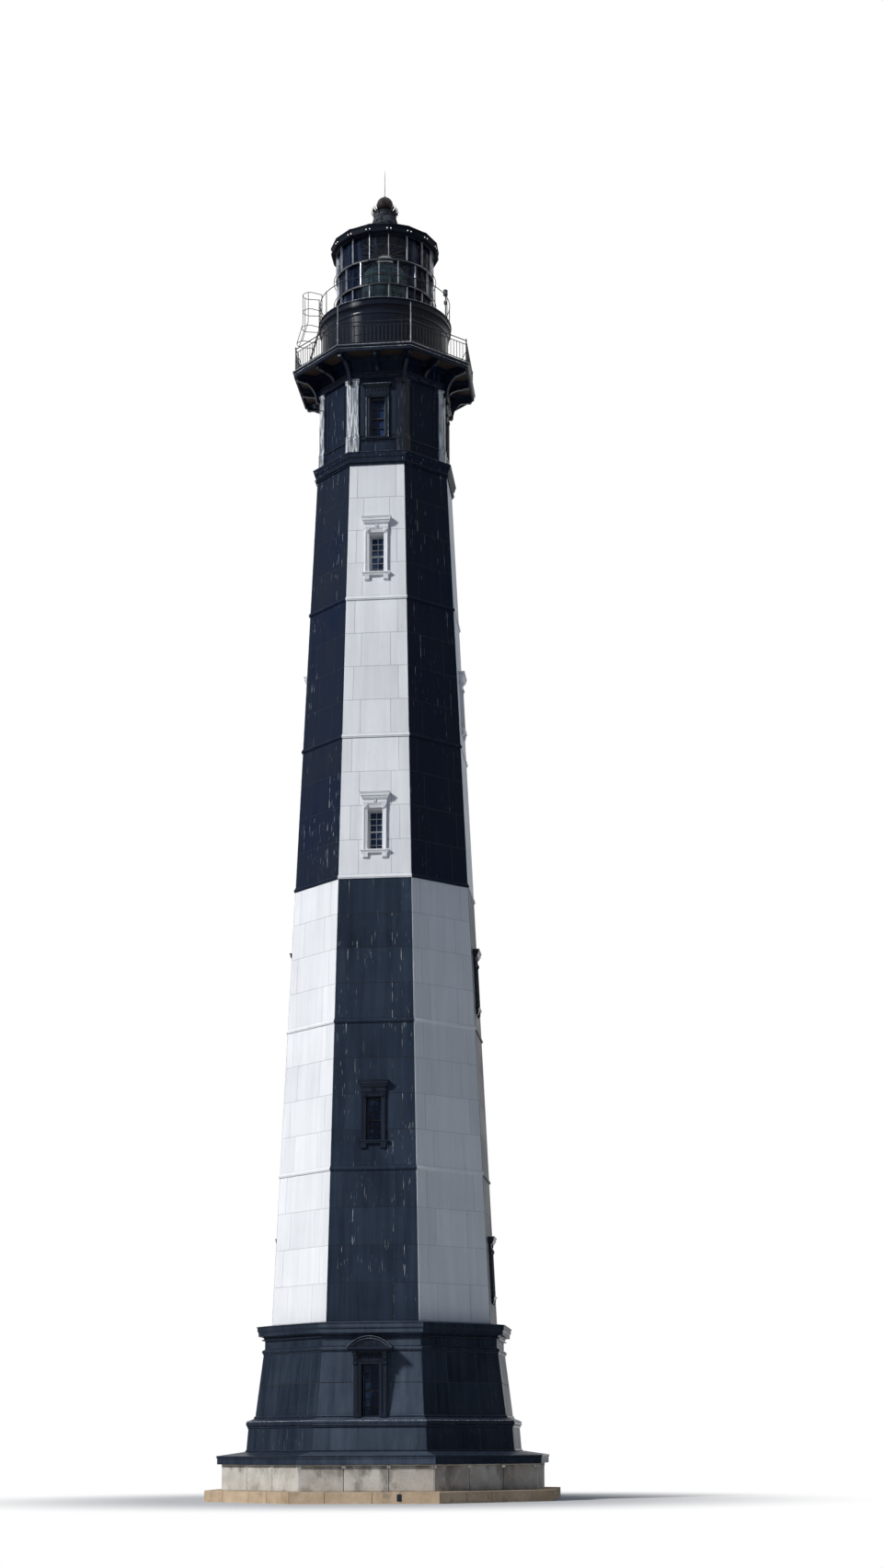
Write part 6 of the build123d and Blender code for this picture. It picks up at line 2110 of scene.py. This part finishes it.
    def mast(self, shell: Shell, place: Place) -> None:
        """A tall thin mast outside a corner post, clamped to it, with a ring half way up.

        Args:
            shell: collects the mast
            place: frame that looks out through the corner
        """
        z = self.deck
        spot = place.moved(self.rail / math.cos(HALF_FACE) + self.mast_out)
        profile = line(
            (0.0095, 0.0), (0.0095, 0.30), (0.0105, 0.305), (0.0105, 0.335), (0.0095, 0.34),
            (0.0085, 0.765), (0.0095, 0.768), (0.004, 0.775),
        )
        shell.turned(profile + [0, z], 10, spot)
        shell.tube(circle(0.018, z + 0.32, 16), 0.005, 6, spot, True)
        for rise in (0.10, 0.42):
            shell.block((-0.036, -0.012, z + rise), (0.011, 0.012, z + rise + 0.014), 0.002, spot)


@dataclass
class Drum:
    """The service room's round wall and the lantern gallery over it."""

    radius: float = 1.210
    foot: float = 21.014
    cove: float = 21.852
    deck: float = 22.127
    deck_radius: float = 1.265
    rail_radius: float = 1.240
    rail_rise: float = 0.442
    rivet_step: float = 0.075
    steps: int = 96

    def build(self) -> None:
        """Build the drum's seams, the deck's edge and the lantern gallery's railing."""
        trim, rails = Shell(), Shell()
        foot, cove, radius = self.foot, self.cove, self.radius
        for height, size in ((foot + 0.02, 0.016), (foot + 0.43, 0.006), (cove - 0.01, 0.012)):
            trim.bead(radius, height, size, self.steps)
        for place in round_places(HALF_FACE, SIDES):
            trim.block((radius - 0.01, -0.022, foot), (radius + 0.005, 0.022, cove), 0.003, place)
            for height in np.arange(foot + 0.06, cove - 0.02, self.rivet_step):
                for along in (-0.013, 0.013):
                    trim.knob((radius + 0.004, along, height), 0.005, 0.7, place)
        z, edge = self.deck, self.deck_radius
        nose = arc((edge - 0.006, z - 0.017), 0.0145, -90, 80, 8)
        trim.ring(line((edge - 0.03, z - 0.034), nose, (edge - 0.03, z + 0.001)), self.steps)
        trim.bead(edge - 0.012, z - 0.125, 0.009, self.steps)
        rails.tube(circle(self.rail_radius, z + self.rail_rise, self.steps), 0.008, 8, closed=True)
        post = line(
            (0.020, 0.0), (0.020, 0.008), (0.0095, 0.014), (0.008, 0.44), (0.012, 0.446), (0.010, 0.456),
            (0.003, 0.460),
        ) + [0, z]
        for place in round_places(HALF_PANE, LANTERN_SIDES):
            rails.turned(post, 8, place.moved(self.rail_radius))
            trim.knob((edge - 0.008, 0.0, z - 0.050), 0.013, 1.0, place)
        trim.piece("drum_and_deck_trim", Finish.DRUM, "black_paint")
        rails.piece("lantern_gallery_rails", Finish.RAIL, "black_paint", "lantern_railing")


@dataclass
class LadderAndLamp:
    """The caged ladder between the galleries, and the signal lamp on its post."""

    foot: float = 21.014
    bend: float = 21.987
    head: float = 22.577
    foot_out: float = 1.545
    top_out: float = 1.2735
    width: float = 0.220
    turn: float = math.radians(-157)
    rungs: int = 17
    hoop_foot: float = 21.580
    hoop_step: float = 0.3303
    hoop_out: float = 0.198
    hoop_radius: float = 0.14
    lamp_turn: float = math.radians(-12)
    lamp_out: float = 1.217
    lamp_foot: float = 22.127

    def out(self, height: float) -> float:
        """Distance of the ladder from the axis at a height: it leans, then stands upright."""
        lean = (self.foot_out - self.top_out) / (self.bend - self.foot)
        return max(self.top_out, self.foot_out - lean * (height - self.foot))

    def build(self) -> None:
        """Build the ladder, its cage and the lamp."""
        ladder, cage, lamp = Shell(), Shell(), Shell()
        place = upright(self.turn)
        self.ladder(ladder, place)
        self.cage(cage, place)
        self.lamp(lamp)
        ladder.piece("leaning_ladder", Finish.RAIL, "black_paint", "gallery_ladder")
        cage.piece("ladder_hoops", Finish.RAIL, "black_paint", "ladder_cage")
        lamp.piece("post_lamp", Finish.LAMP, "lamp_housing", "signal_lamp")

    def ladder(self, shell: Shell, place: Place) -> None:
        """Two stiles and the rungs between them.

        Args:
            shell: collects the stiles and the rungs
            place: frame that looks out towards the ladder
        """
        heights = (self.foot, 21.3, 21.6, 21.9, self.bend - 0.02, self.bend + 0.02, 22.2, self.head)
        for side in (-1, 1):
            along = side * (self.width - 0.016) / 2
            shell.tube(line(*((self.out(z), along, z) for z in heights)), 0.008, 8, place)
        for rung in range(1, self.rungs + 1):
            z = self.foot + rung * (self.bend - self.foot) / 12
            shell.tube(line(*((self.out(z), along, z) for along in (-0.102, 0.0, 0.102))), 0.0055, 6, place)

    def cage(self, shell: Shell, place: Place) -> None:
        """Four hoops, each a half circle between straight ends, and three upright straps.

        Args:
            shell: collects the hoops and the straps
            place: frame that looks out towards the ladder
        """
        levels = [self.hoop_foot + number * self.hoop_step for number in range(4)]
        for z in levels:
            near = self.out(z)
            bow = arc((near + self.hoop_out, 0.0), self.hoop_radius, -90, 90, 16)
            hoop = line((near, -0.102), bow, (near, 0.102))
            shell.tube(np.column_stack([hoop, np.full(len(hoop), z)]), 0.0062, 6, place)
        marks = (levels[0] - 0.004, 21.78, self.bend - 0.01, self.bend + 0.03, 22.3, levels[3] + 0.006)
        strap = self.hoop_radius + 0.006
        for bearing in np.radians((-60, 0, 60)):
            reach, along = self.hoop_out + strap * math.cos(bearing), strap * math.sin(bearing)
            shell.tube(line(*((self.out(z) + reach, along, z) for z in marks)), 0.006, 6, place)

    def lamp(self, shell: Shell) -> None:
        """A drum-shaped lamp with a hood, on a post with a foot and a clamp.

        Args:
            shell: collects the lamp and its post
        """
        place = upright(self.lamp_turn)
        z = self.lamp_foot
        profile = line(
            (0.022, 0.0), (0.022, 0.010), (0.011, 0.016), (0.011, 0.462), (0.020, 0.470), (0.040, 0.474),
            (0.044, 0.482), (0.044, 0.500), (0.034, 0.506), (0.034, 0.556), (0.044, 0.562), (0.045, 0.572),
            (0.026, 0.592), (0.012, 0.598), (0.004, 0.600),
        )
        shell.turned(profile + [0, z], 16, place.moved(self.lamp_out))
        for x, y, _ in circle(0.040, 0.0, 6):
            path = line(*((self.lamp_out + x, y, z + rise) for rise in (0.498, 0.53, 0.564)))
            shell.tube(path, 0.0035, 5, place)
        clamp = self.lamp_out - 0.027
        shell.block((clamp, -0.026, z + 0.30), (clamp + 0.045, 0.026, z + 0.36), 0.005, place)


# Lantern


@dataclass
class Lantern:
    """Glazing bars, handholds, ceiling rods, eave, roof, ventilator and lens."""

    foot: float = 22.127
    glass: float = 0.9055
    rows: tuple[float, ...] = (0.0, 0.415, 0.900, 1.435)
    thick: tuple[float, ...] = (0.040, 0.026, 0.026, 0.040)
    handhold: float = 0.978
    handhold_rises: tuple[float, ...] = (0.428, 0.913)
    clip: tuple[float, float] = (0.9395, 0.96)
    ceiling: float = 23.602
    rods_reach: tuple[float, ...] = (0.10, 0.4, 0.7, 0.880)
    rod_ring: float = 0.52
    eave: float = 1.0102
    eave_foot: float = 23.562
    roof: float = 23.712
    roof_corner: tuple[float, float] = (1.030, 0.310)
    roof_rise: float = 0.415
    collar: float = 24.127
    spikes: float = 24.437
    spike_count: int = 72
    fans: tuple[tuple[float, ...], ...] = ((0.196, 0.066, 6), (0.186, 0.098, 32), (0.168, 0.140, 56))
    ball: float = 24.641
    ball_radius: float = 0.158
    rod_tip: float = 25.369
    lens_foot: float = 22.252
    lens_top: float = 23.332
    prisms: int = 55
    lens_outline: tuple[float, ...] = (0.300, 0.415, 0.455, 0.455, 0.415, 0.300)
    ridge: float = 0.016
    shade_top: float = 23.575

    def build(self) -> None:
        """Build every part of the lantern."""
        self.glazing()
        self.handholds()
        self.rods()
        self.eaves()
        self.roofing()
        self.ventilator()
        self.lens()

    def glazing(self) -> None:
        """Four moulded rings, and ribbed bars that change places in the middle row."""
        shell, rings = Shell(), Shell()
        g = self.glass
        for number, (rise, size) in enumerate(zip(self.rows, self.thick)):
            z = self.foot + rise
            lower = line((0.0, 0.0), (0.024, 0.0), (0.034, 0.004))
            rings.ring(line(lower, lower[::-1] * [1, -1] + [0, size]) + [g, z], 64)
            if number in (1, 2):
                shell.bead(g + 0.031, z + size, 0.006, 64)
        half = line(
            (0.008, 0.0), (0.008, 0.010), (0.004, 0.015), (0.004, 0.024), (0.006, 0.027), (0.005, 0.033)
        )
        outline = line(half * [-1, 1], half[::-1]) + [0, g]
        for row in range(3):
            low = self.foot + self.rows[row] + self.thick[row] - 0.001
            high = self.foot + self.rows[row + 1] + 0.001
            for place in round_places(0.0 if row == 1 else HALF_PANE, LANTERN_SIDES):
                shell.slab(outline, low, high, 0.0, Plane.LEVEL, place)
                for level in np.linspace(low + 0.05, high - 0.05, 5):
                    shell.knob((g + 0.033, 0.0, level), 0.0045, 0.6, place)
        shell.piece("ribbed_glazing_bars", Finish.BARS, "bright_bars", "glazing_frame", 40)
        rings.piece("glazing_rings", Finish.RING, "black_paint", smooth=40)

    def handholds(self) -> None:
        """Two rings outside the transoms, each on sixteen clips."""
        shell = Shell()
        for rise in self.handhold_rises:
            z = self.foot + rise
            shell.tube(circle(self.handhold, z, 64), 0.007, 8, closed=True)
            for place in round_places(HALF_PANE, LANTERN_SIDES):
                path = line(*((out, 0.0, z) for out in (*self.clip, self.handhold)))
                shell.tube(path, 0.005, 6, place)
                shell.block((0.9393, -0.013, z - 0.010), (0.944, 0.013, z + 0.010), 0.002, place)
        shell.piece("round_handholds", Finish.RAIL, "black_paint", "lantern_handholds")

    def rods(self) -> None:
        """Pale rods under the ceiling that meet at a hub on the axis."""
        shell = Shell()
        z = self.ceiling - 0.026
        hub = line(
            (0.10, 0.024), (0.11, 0.01), (0.095, -0.012), (0.045, -0.024), (0.04, -0.05), (0.012, -0.056)
        )
        shell.turned(hub + [0, z], 20)
        for place in round_places(HALF_PANE, LANTERN_SIDES):
            shell.tube(line(*((out, 0.0, z) for out in self.rods_reach)), 0.007, 6, place)
        shell.tube(circle(self.rod_ring, z, 48), 0.005, 6, closed=True)
        shell.piece("ceiling_rods", Finish.RIB, "ceiling_iron")

    def eaves(self) -> None:
        """Mouldings of the eave, and a pair of small lights on each corner."""
        shell, lights = Shell(), Shell()
        eave, foot, roof = self.eave, self.eave_foot, self.roof
        band = line((-0.01, -0.048), (0.006, -0.044), (0.009, -0.030), (-0.01, -0.026)) + [eave, roof]
        shell.bead(eave - 0.001, foot + 0.018, 0.008, LANTERN_SIDES)
        shell.ring(band, LANTERN_SIDES, True)
        shell.bead(eave + 0.005, roof - 0.008, 0.009, LANTERN_SIDES)
        corner = eave / math.cos(HALF_PANE)
        for place in round_places(HALF_PANE, LANTERN_SIDES):
            shell.block((corner - 0.02, -0.010, foot + 0.012), (corner + 0.004, 0.010, roof), 0.003, place)
            for side in (-1, 1):
                arm = line((-0.02, 0.030, 0.088), (-0.006, 0.034, 0.078), (-0.004, 0.036, 0.058))
                arm = arm * [1, side, 1] + [corner, 0, foot]
                shell.tube(arm, 0.004, 5, place)
                lights.knob(arm[-1], 0.0115, 1.0, place)
        shell.piece("eave_mouldings", Finish.ROOF, "roof_iron")
        lights.piece("eave_lights", Finish.BULB, "bright_bars")

    def roofing(self) -> None:
        """A round hip along each corner of the roof, with two flat seams between hips."""
        shell = Shell()
        steps = np.linspace(0, 1, 6)
        slope = self.roof_corner[0] + (self.roof_corner[1] - self.roof_corner[0]) * steps
        height = self.roof + self.roof_rise * steps
        for turn in wall_turns(HALF_PANE, LANTERN_SIDES):
            shell.tube(np.column_stack([slope, np.zeros(6), height]), 0.010, 8, upright(turn))
            for share in (-0.34, 0.34):
                seam = [slope * math.cos(HALF_PANE), slope * math.sin(HALF_PANE) * share * 2, height]
                shell.tube(np.column_stack(seam), 0.0055, 5, upright(turn + HALF_PANE))
        foot = line((0.30, -0.012), (0.322, -0.006), (0.322, 0.010), (0.296, 0.016))
        shell.ring(foot + [0, self.collar], 48)
        shell.piece("roof_seams", Finish.ROOF, "roof_iron")

    def ventilator(self) -> None:
        """The collar, three fans of spikes, the ball with its girdle, and the rod."""
        collar, spikes, ball, rod = Shell(), Shell(), Shell(), Shell()
        z, s, radius = self.collar, self.spikes, self.ball_radius
        skirt = line((0.298, 0.0), (0.298, 0.030), (0.288, 0.040), (0.288, 0.060)) + [0, z]
        flare = cyma((0.280, z + 0.064), (0.212, s - 0.100), 10)
        crown = line(
            (0.222, -0.092), (0.222, -0.072), (0.210, -0.064), (0.204, -0.014), (0.215, 0.0), (0.215, 0.022),
            (0.196, 0.028), (0.09, 0.030),
        )
        collar.turned(line(skirt, flare, crown + [0, s]), 48)
        for number, place in enumerate(round_places(0.0, self.spike_count)):
            start, length, pitch = self.fans[number % len(self.fans)]
            reach = length * np.array([0.0, 0.6, 1.0])
            out, up = reach * math.cos(math.radians(pitch)), reach * math.sin(math.radians(pitch))
            path = np.column_stack([start + out, np.zeros(3), s + 0.018 + up])
            spikes.tube(path, (0.0105, 0.0090, 0.003), 5, place)
        sphere = arc((0.0, self.ball), radius, -55, 88, 21)
        ball.turned(line((0.100, s + 0.020), (0.096, s + 0.034), (0.088, s + 0.050), sphere[1:]), 40)
        ball.bead(radius - 0.001, self.ball, 0.0045, 48)
        foot = line(
            (0.030, -0.006), (0.030, 0.006), (0.018, 0.012), (0.020, 0.034), (0.010, 0.044), (0.0078, 0.06),
            (0.007, 0.45),
        )
        rod.turned(line(foot + [0, self.ball + radius], (0.001, self.rod_tip)), 12)
        collar.piece("moulded_collar", Finish.COLLAR, "collar_iron", "ventilator_collar")
        spikes.piece("spike_fans", Finish.SPIKE, "collar_iron")
        ball.piece("girdled_ball", Finish.BALL, "collar_iron", "ventilator_ball")
        rod.piece("pointed_rod", Finish.ROD, "bright_bars", "lightning_rod")

    def lens(self) -> None:
        """Rings of prisms from the stand to the canopy, in a frame of slender uprights.

        The outline's radius at a height follows the straight runs of the drum and domes, and
        each ring of glass comes to a ridge half way up it.
        """
        glass, metal, shade = Shell(), Shell(), Shell()
        foot, top = self.lens_foot, self.lens_top
        heights = (foot, foot + 0.15, foot + 0.3, top - 0.3, top - 0.15, top)
        levels = np.linspace(foot + 0.01, top - 0.01, self.prisms)
        outline = np.interp(levels, heights, self.lens_outline)
        radius = outline - np.where(np.arange(self.prisms) % 2 == 0, self.ridge, 0.0)
        outer = np.column_stack([radius, levels])
        glass.ring(line(outer, outer[::-1] - [0.05, 0.0]), 40)
        path = np.column_stack([outline + 0.001, np.zeros(self.prisms), levels])[::3]
        for place in round_places(HALF_FACE, SIDES):
            metal.tube(path, 0.008, 6, place)
        for height in (foot + 0.3, top - 0.3):
            metal.bead(0.452, height, 0.010, 40)
        stand = self.foot
        metal.turned(line(
            (0.24, stand + 0.001), (0.24, stand + 0.02), (0.16, stand + 0.04), (0.15, foot - 0.04),
            (0.29, foot - 0.02), (0.31, foot), (0.31, foot + 0.012),
        ), 32)
        crown = line((0.305, -0.012), (0.305, 0.002), (0.24, 0.030), (0.155, 0.036), (0.05, 0.038))
        metal.turned(crown + [0, top], 32)
        vent = line((0.146, 0.034), (0.150, 0.04), (0.150, 0.20), (0.07, 0.225)) + [0, top]
        shade.turned(line(vent, (0.05, self.shade_top)), 32)
        glass.piece("prism_rings", Finish.LENS, "lens_glass", "lens", 20)
        metal.piece("lens_uprights", Finish.LENS_METAL, "lens_metal", "lens_frame")
        # The vent shade's glow is painted light: it is no lamp.
        shade.piece("vent_shade", Finish.SHADE, "lens_metal")


# Painted highlights on edges


@dataclass
class HighlightEdges:
    """Thin pale lines along the outer edges: painted highlights where the edges catch the light."""

    size: float = 0.0055
    octagons: tuple[tuple[float, float, float], ...] = (
        (2.849, 0.785, 1.0), (2.362, 1.380, 0.8), (1.294, 19.096, 1.0), (1.668, 21.014, 1.6),
        (1.655, 20.955, 1.0),
    )
    lantern_deck: tuple[float, float, float] = (1.265, 22.127, 1.3)
    pediment_foot: tuple[float, float] = (2.214, 2.612)
    watch_window_foot: tuple[float, float] = (1.155, 19.435)
    architrave: tuple[tuple[float, float], ...] = ((-0.2065, 0.0455), (0.2065, 0.0455), (-0.1625, 0.0285))
    architrave_span: tuple[float, float] = (-0.03, 0.81)
    hood: tuple[float, float, float] = (0.262, 0.0885, 1.0065)
    slab_half: float = 0.3825
    rise: float = 0.195
    reach: float = 0.19

    def build(self) -> None:
        """Carry the lines round the ledges and decks and along both arcs of the pediments."""
        shell = Shell()
        for inradius, height, share in self.octagons:
            self.rim(shell, inradius, height, share, SIDES)
        self.rim(shell, *self.lantern_deck, 64)
        for turn in wall_turns(math.pi / 2, 2):
            self.pediment(shell, Place.on_wall(*self.pediment_foot, 0.0, turn))
            self.watch_window(shell, Place.on_wall(*self.watch_window_foot, 0.0, turn))
        shell.piece("painted_highlight_edges", Finish.BLEACHED, "black_paint")

    def rim(self, shell: Shell, inradius: float, height: float, share: float, count: int) -> None:
        """A line on an upper outer edge, sunk into it, a share of the usual size."""
        size = self.size * share
        shell.bead(inradius - 0.6 * size, height - 0.6 * size, size, count)

    def watch_window(self, shell: Shell, place: Place) -> None:
        """Upright lines on the architrave and one along the hood.

        Args:
            shell: collects the painted highlight lines
            place: the window's frame
        """
        for along, out in self.architrave:
            shell.tube(line(*((out, along, up) for up in self.architrave_span)), self.size * 0.7, 6, place)
        half, out, height = self.hood
        shell.tube(line((out, -half, height), (out, half, height)), self.size * 0.7, 6, place)

    def pediment(self, shell: Shell, place: Place) -> None:
        """Lines on the outer arc and on the arc one step in.

        Args:
            shell: collects the painted highlight lines
            place: frame at the pediment's foot
        """
        radius, limit = bow_of(self.slab_half, self.rise)
        for inward, back in ((0.004, 0.0), (0.044, 0.024)):
            bow = arc((0.0, self.rise - radius), radius - inward, 90 - limit, 90 + limit, 28)
            path = np.column_stack([np.full(len(bow), self.reach - back - 0.001), bow])
            shell.tube(path, self.size * 0.75, 6, place)


# Camera, lamps and floor


@dataclass
class Studio:
    """A pale floor, soft light from the front left and the photograph's camera."""

    distance: float = 42.0
    eye: float = 0.95
    azimuth: float = 7.0087
    yaw: float = -1.3817
    pitch: float = 7.9428
    roll: float = -0.259
    focal_pixels: float = 2527.2
    shift: float = 0.215
    sensor: float = 36.0
    sight: float = 400.0
    key: tuple[float, ...] = (3.6, 9.0, -50.0, 34.0)
    fill: tuple[float, ...] = (0.05, 50.0, 62.0, 22.0)
    sky: tuple[float, ...] = (0.36, 0.60, 1.0, 1.0)
    sky_strength: float = 0.15
    floor_radius: float = 60.0
    floor_grey: tuple[float, float] = (0.52, 0.56)
    fade: tuple[float, float] = (3.2, 9.0)

    def camera(self) -> None:
        """Place the camera: its heading is towards the axis plus the yaw, then it is tilted
        up by the pitch and turned by the roll about its own line of sight."""
        azimuth = math.radians(self.azimuth)
        spot = np.array([self.distance * math.sin(azimuth), -self.distance * math.cos(azimuth), self.eye])
        heading = math.atan2(-spot[1], -spot[0]) + math.radians(self.yaw)
        pitch, roll = math.radians(self.pitch), math.radians(self.roll)
        level = np.array([math.cos(heading), math.sin(heading), 0.0])
        ahead = level * math.cos(pitch) + np.array([0.0, 0.0, math.sin(pitch)])
        right = np.array([math.sin(heading), -math.cos(heading), 0.0])
        above = np.cross(right, ahead)
        side = right * math.cos(roll) + above * math.sin(roll)
        top = above * math.cos(roll) - right * math.sin(roll)
        camera = bpy.data.cameras.new("photo_camera")
        camera.sensor_width = self.sensor
        camera.lens = self.focal_pixels * self.sensor / IMAGE_HEIGHT
        camera.shift_y = self.shift
        camera.clip_end = self.sight
        holder = bpy.data.objects.new("photo_camera", camera)
        matrix = np.eye(4)
        matrix[:3, 0], matrix[:3, 1], matrix[:3, 2], matrix[:3, 3] = side, top, -ahead, spot
        holder.matrix_world = Matrix(matrix.tolist())
        bpy.context.scene.collection.objects.link(holder)
        bpy.context.scene.camera = holder

    def lamps(self) -> None:
        """One broad sun from the front left, a weaker one from the right, and a soft sky that
        looks white to the camera and in reflections. A sun has its strength, then its spread,
        its heading and its rise in degrees."""
        for name, (strength, spread, heading, rise) in (("key", self.key), ("fill", self.fill)):
            lamp = bpy.data.lights.new(name, "SUN")
            lamp.energy = strength
            lamp.angle = math.radians(spread)
            holder = bpy.data.objects.new(name, lamp)
            holder.rotation_euler = (math.radians(90 - rise), 0.0, math.radians(heading))
            bpy.context.scene.collection.objects.link(holder)
        recipe = Recipe(bpy.data.worlds.new("studio"), "ShaderNodeOutputWorld")
        seen = recipe.ray("Camera").maths("MAXIMUM", recipe.ray("Transmission"))
        seen = seen.maths("MAXIMUM", recipe.ray("Glossy"))
        sky = recipe.node("ShaderNodeBackground", {}, {"Color": self.sky, "Strength": self.sky_strength})
        paper = recipe.node("ShaderNodeBackground", {}, {"Color": (1.0, 1.0, 1.0, 1.0), "Strength": 1.0})
        bpy.context.scene.world = recipe.finish(recipe.mixed(sky, paper, seen))

    def floor(self) -> None:
        """A round pale floor that fades to white away from the tower."""
        recipe = Recipe(bpy.data.materials.new("studio_floor"))
        flat = recipe.stretched(1, 1, 0)
        reach = recipe.node("ShaderNodeVectorMath", {"operation": "LENGTH"}, {0: flat}, "Value")
        dark, light = ((grey, grey, grey, 1.0) for grey in self.floor_grey)
        paper = recipe.shade(Base_Color=recipe.blend(dark, light, recipe.noise(flat, 0.7, 3)), Roughness=0.9)
        white = recipe.node("ShaderNodeEmission", {}, {"Color": (1.0, 1.0, 1.0, 1.0), "Strength": 1.0})
        seen = recipe.ray("Camera").maths("MAXIMUM", recipe.ray("Glossy"))
        faded = (reach.step(*self.fade) * seen).held()
        points = line(*(circle(self.floor_radius, z, 64) for z in (-0.02, -0.0005)))
        faces = [face for group in ring_faces(64, 2, False) for face in group.tolist()]
        mesh = bpy.data.meshes.new("floor")
        mesh.from_pydata(points.tolist(), [], faces)
        mesh.materials.append(recipe.finish(recipe.mixed(paper, white, faded)))
        floor = bpy.data.objects.new("floor", mesh)
        bpy.context.scene.collection.objects.link(floor)

    def build(self) -> None:
        """Set up the camera, the lamps and the floor."""
        self.camera()
        self.lamps()
        self.floor()


NODE_FINISHES = {
    Finish.STEP_STONE: ("stone_step",),
    Finish.PLINTH_STONE: ("stone_plinth",),
    Finish.BASE_BLACK: ("bed_plate", "lower_course", "base_wall", "base_cornice", "base_window_surrounds"),
    Finish.BLACK: (
        "black_window_surrounds", "black_sashes", "watch_room_ledge", "watch_room_walls",
        "watch_room_pilasters", "watch_window_surrounds", "gallery_frieze", "gallery_brackets",
        "gallery_deck", "gallery_railing", "gallery_posts", "lantern_railing", "lantern_handholds",
        "gallery_ladder", "ladder_cage",
    ),
    Finish.DRUM: ("service_room_wall", "lantern_deck"),
    Finish.WHITE: ("white_window_surrounds",),
    Finish.JOINERY: ("white_sashes",),
    Finish.FLOOR: ("landings",),
    Finish.WINDOW: ("window_glass",),
    Finish.LANTERN: ("lantern_glass",),
    Finish.BARS: ("glazing_frame",),
    Finish.CEILING: ("lantern_ceiling",),
    Finish.ROOF: ("eave_gutter", "lantern_roof"),
    Finish.COLLAR: ("ventilator_collar",),
    Finish.BALL: ("ventilator_ball",),
    Finish.ROD: ("lightning_rod",),
    Finish.LENS: ("lens",),
    Finish.LENS_METAL: ("lens_frame",),
    Finish.RED: ("red_sector_pane",),
    Finish.LAMP: ("signal_lamp",),
}


def dress(finish: Finish, name: str) -> None:
    """Give a CAD node a finish through its object's material slots.

    Args:
        finish: the finish that the node gets
        name: the node's name in the frame
    """
    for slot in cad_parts[name].material_slots:
        slot.link = "OBJECT"
        slot.material = finish.material()
    log.info("%s: %s", name, finish.value.name)


def dress_nodes() -> None:
    """Give every CAD node its finish, the six tiers' plates by their two colours."""
    for finish, names in NODE_FINISHES.items():
        for name in names:
            dress(finish, name)
    for tier in range(1, SHAFT.tiers + 1):
        for side, sort in ((Side.WINDOW, "window_side"), (Side.DIAGONAL, "diagonal")):
            finish = Finish.WHITE if SHAFT.is_white(tier, side) else Finish.BLACK
            dress(finish, f"tier_{tier}_{sort}_plates")


def main() -> None:
    """Build the lighthouse from the ground up."""
    logging.basicConfig(level=logging.INFO, format="%(message)s")
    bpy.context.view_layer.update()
    bpy.context.scene.view_settings.view_transform = "Standard"
    dress_nodes()
    for part in (
        ShaftPlates(), ShaftBelts(), Footing(), BasePlates(), Windows(), WatchRoom(), MainGallery(),
        Drum(), LadderAndLamp(), Lantern(), HighlightEdges(),
    ):
        part.build()
    Studio().build()


if __name__ == "__main__":
    main()
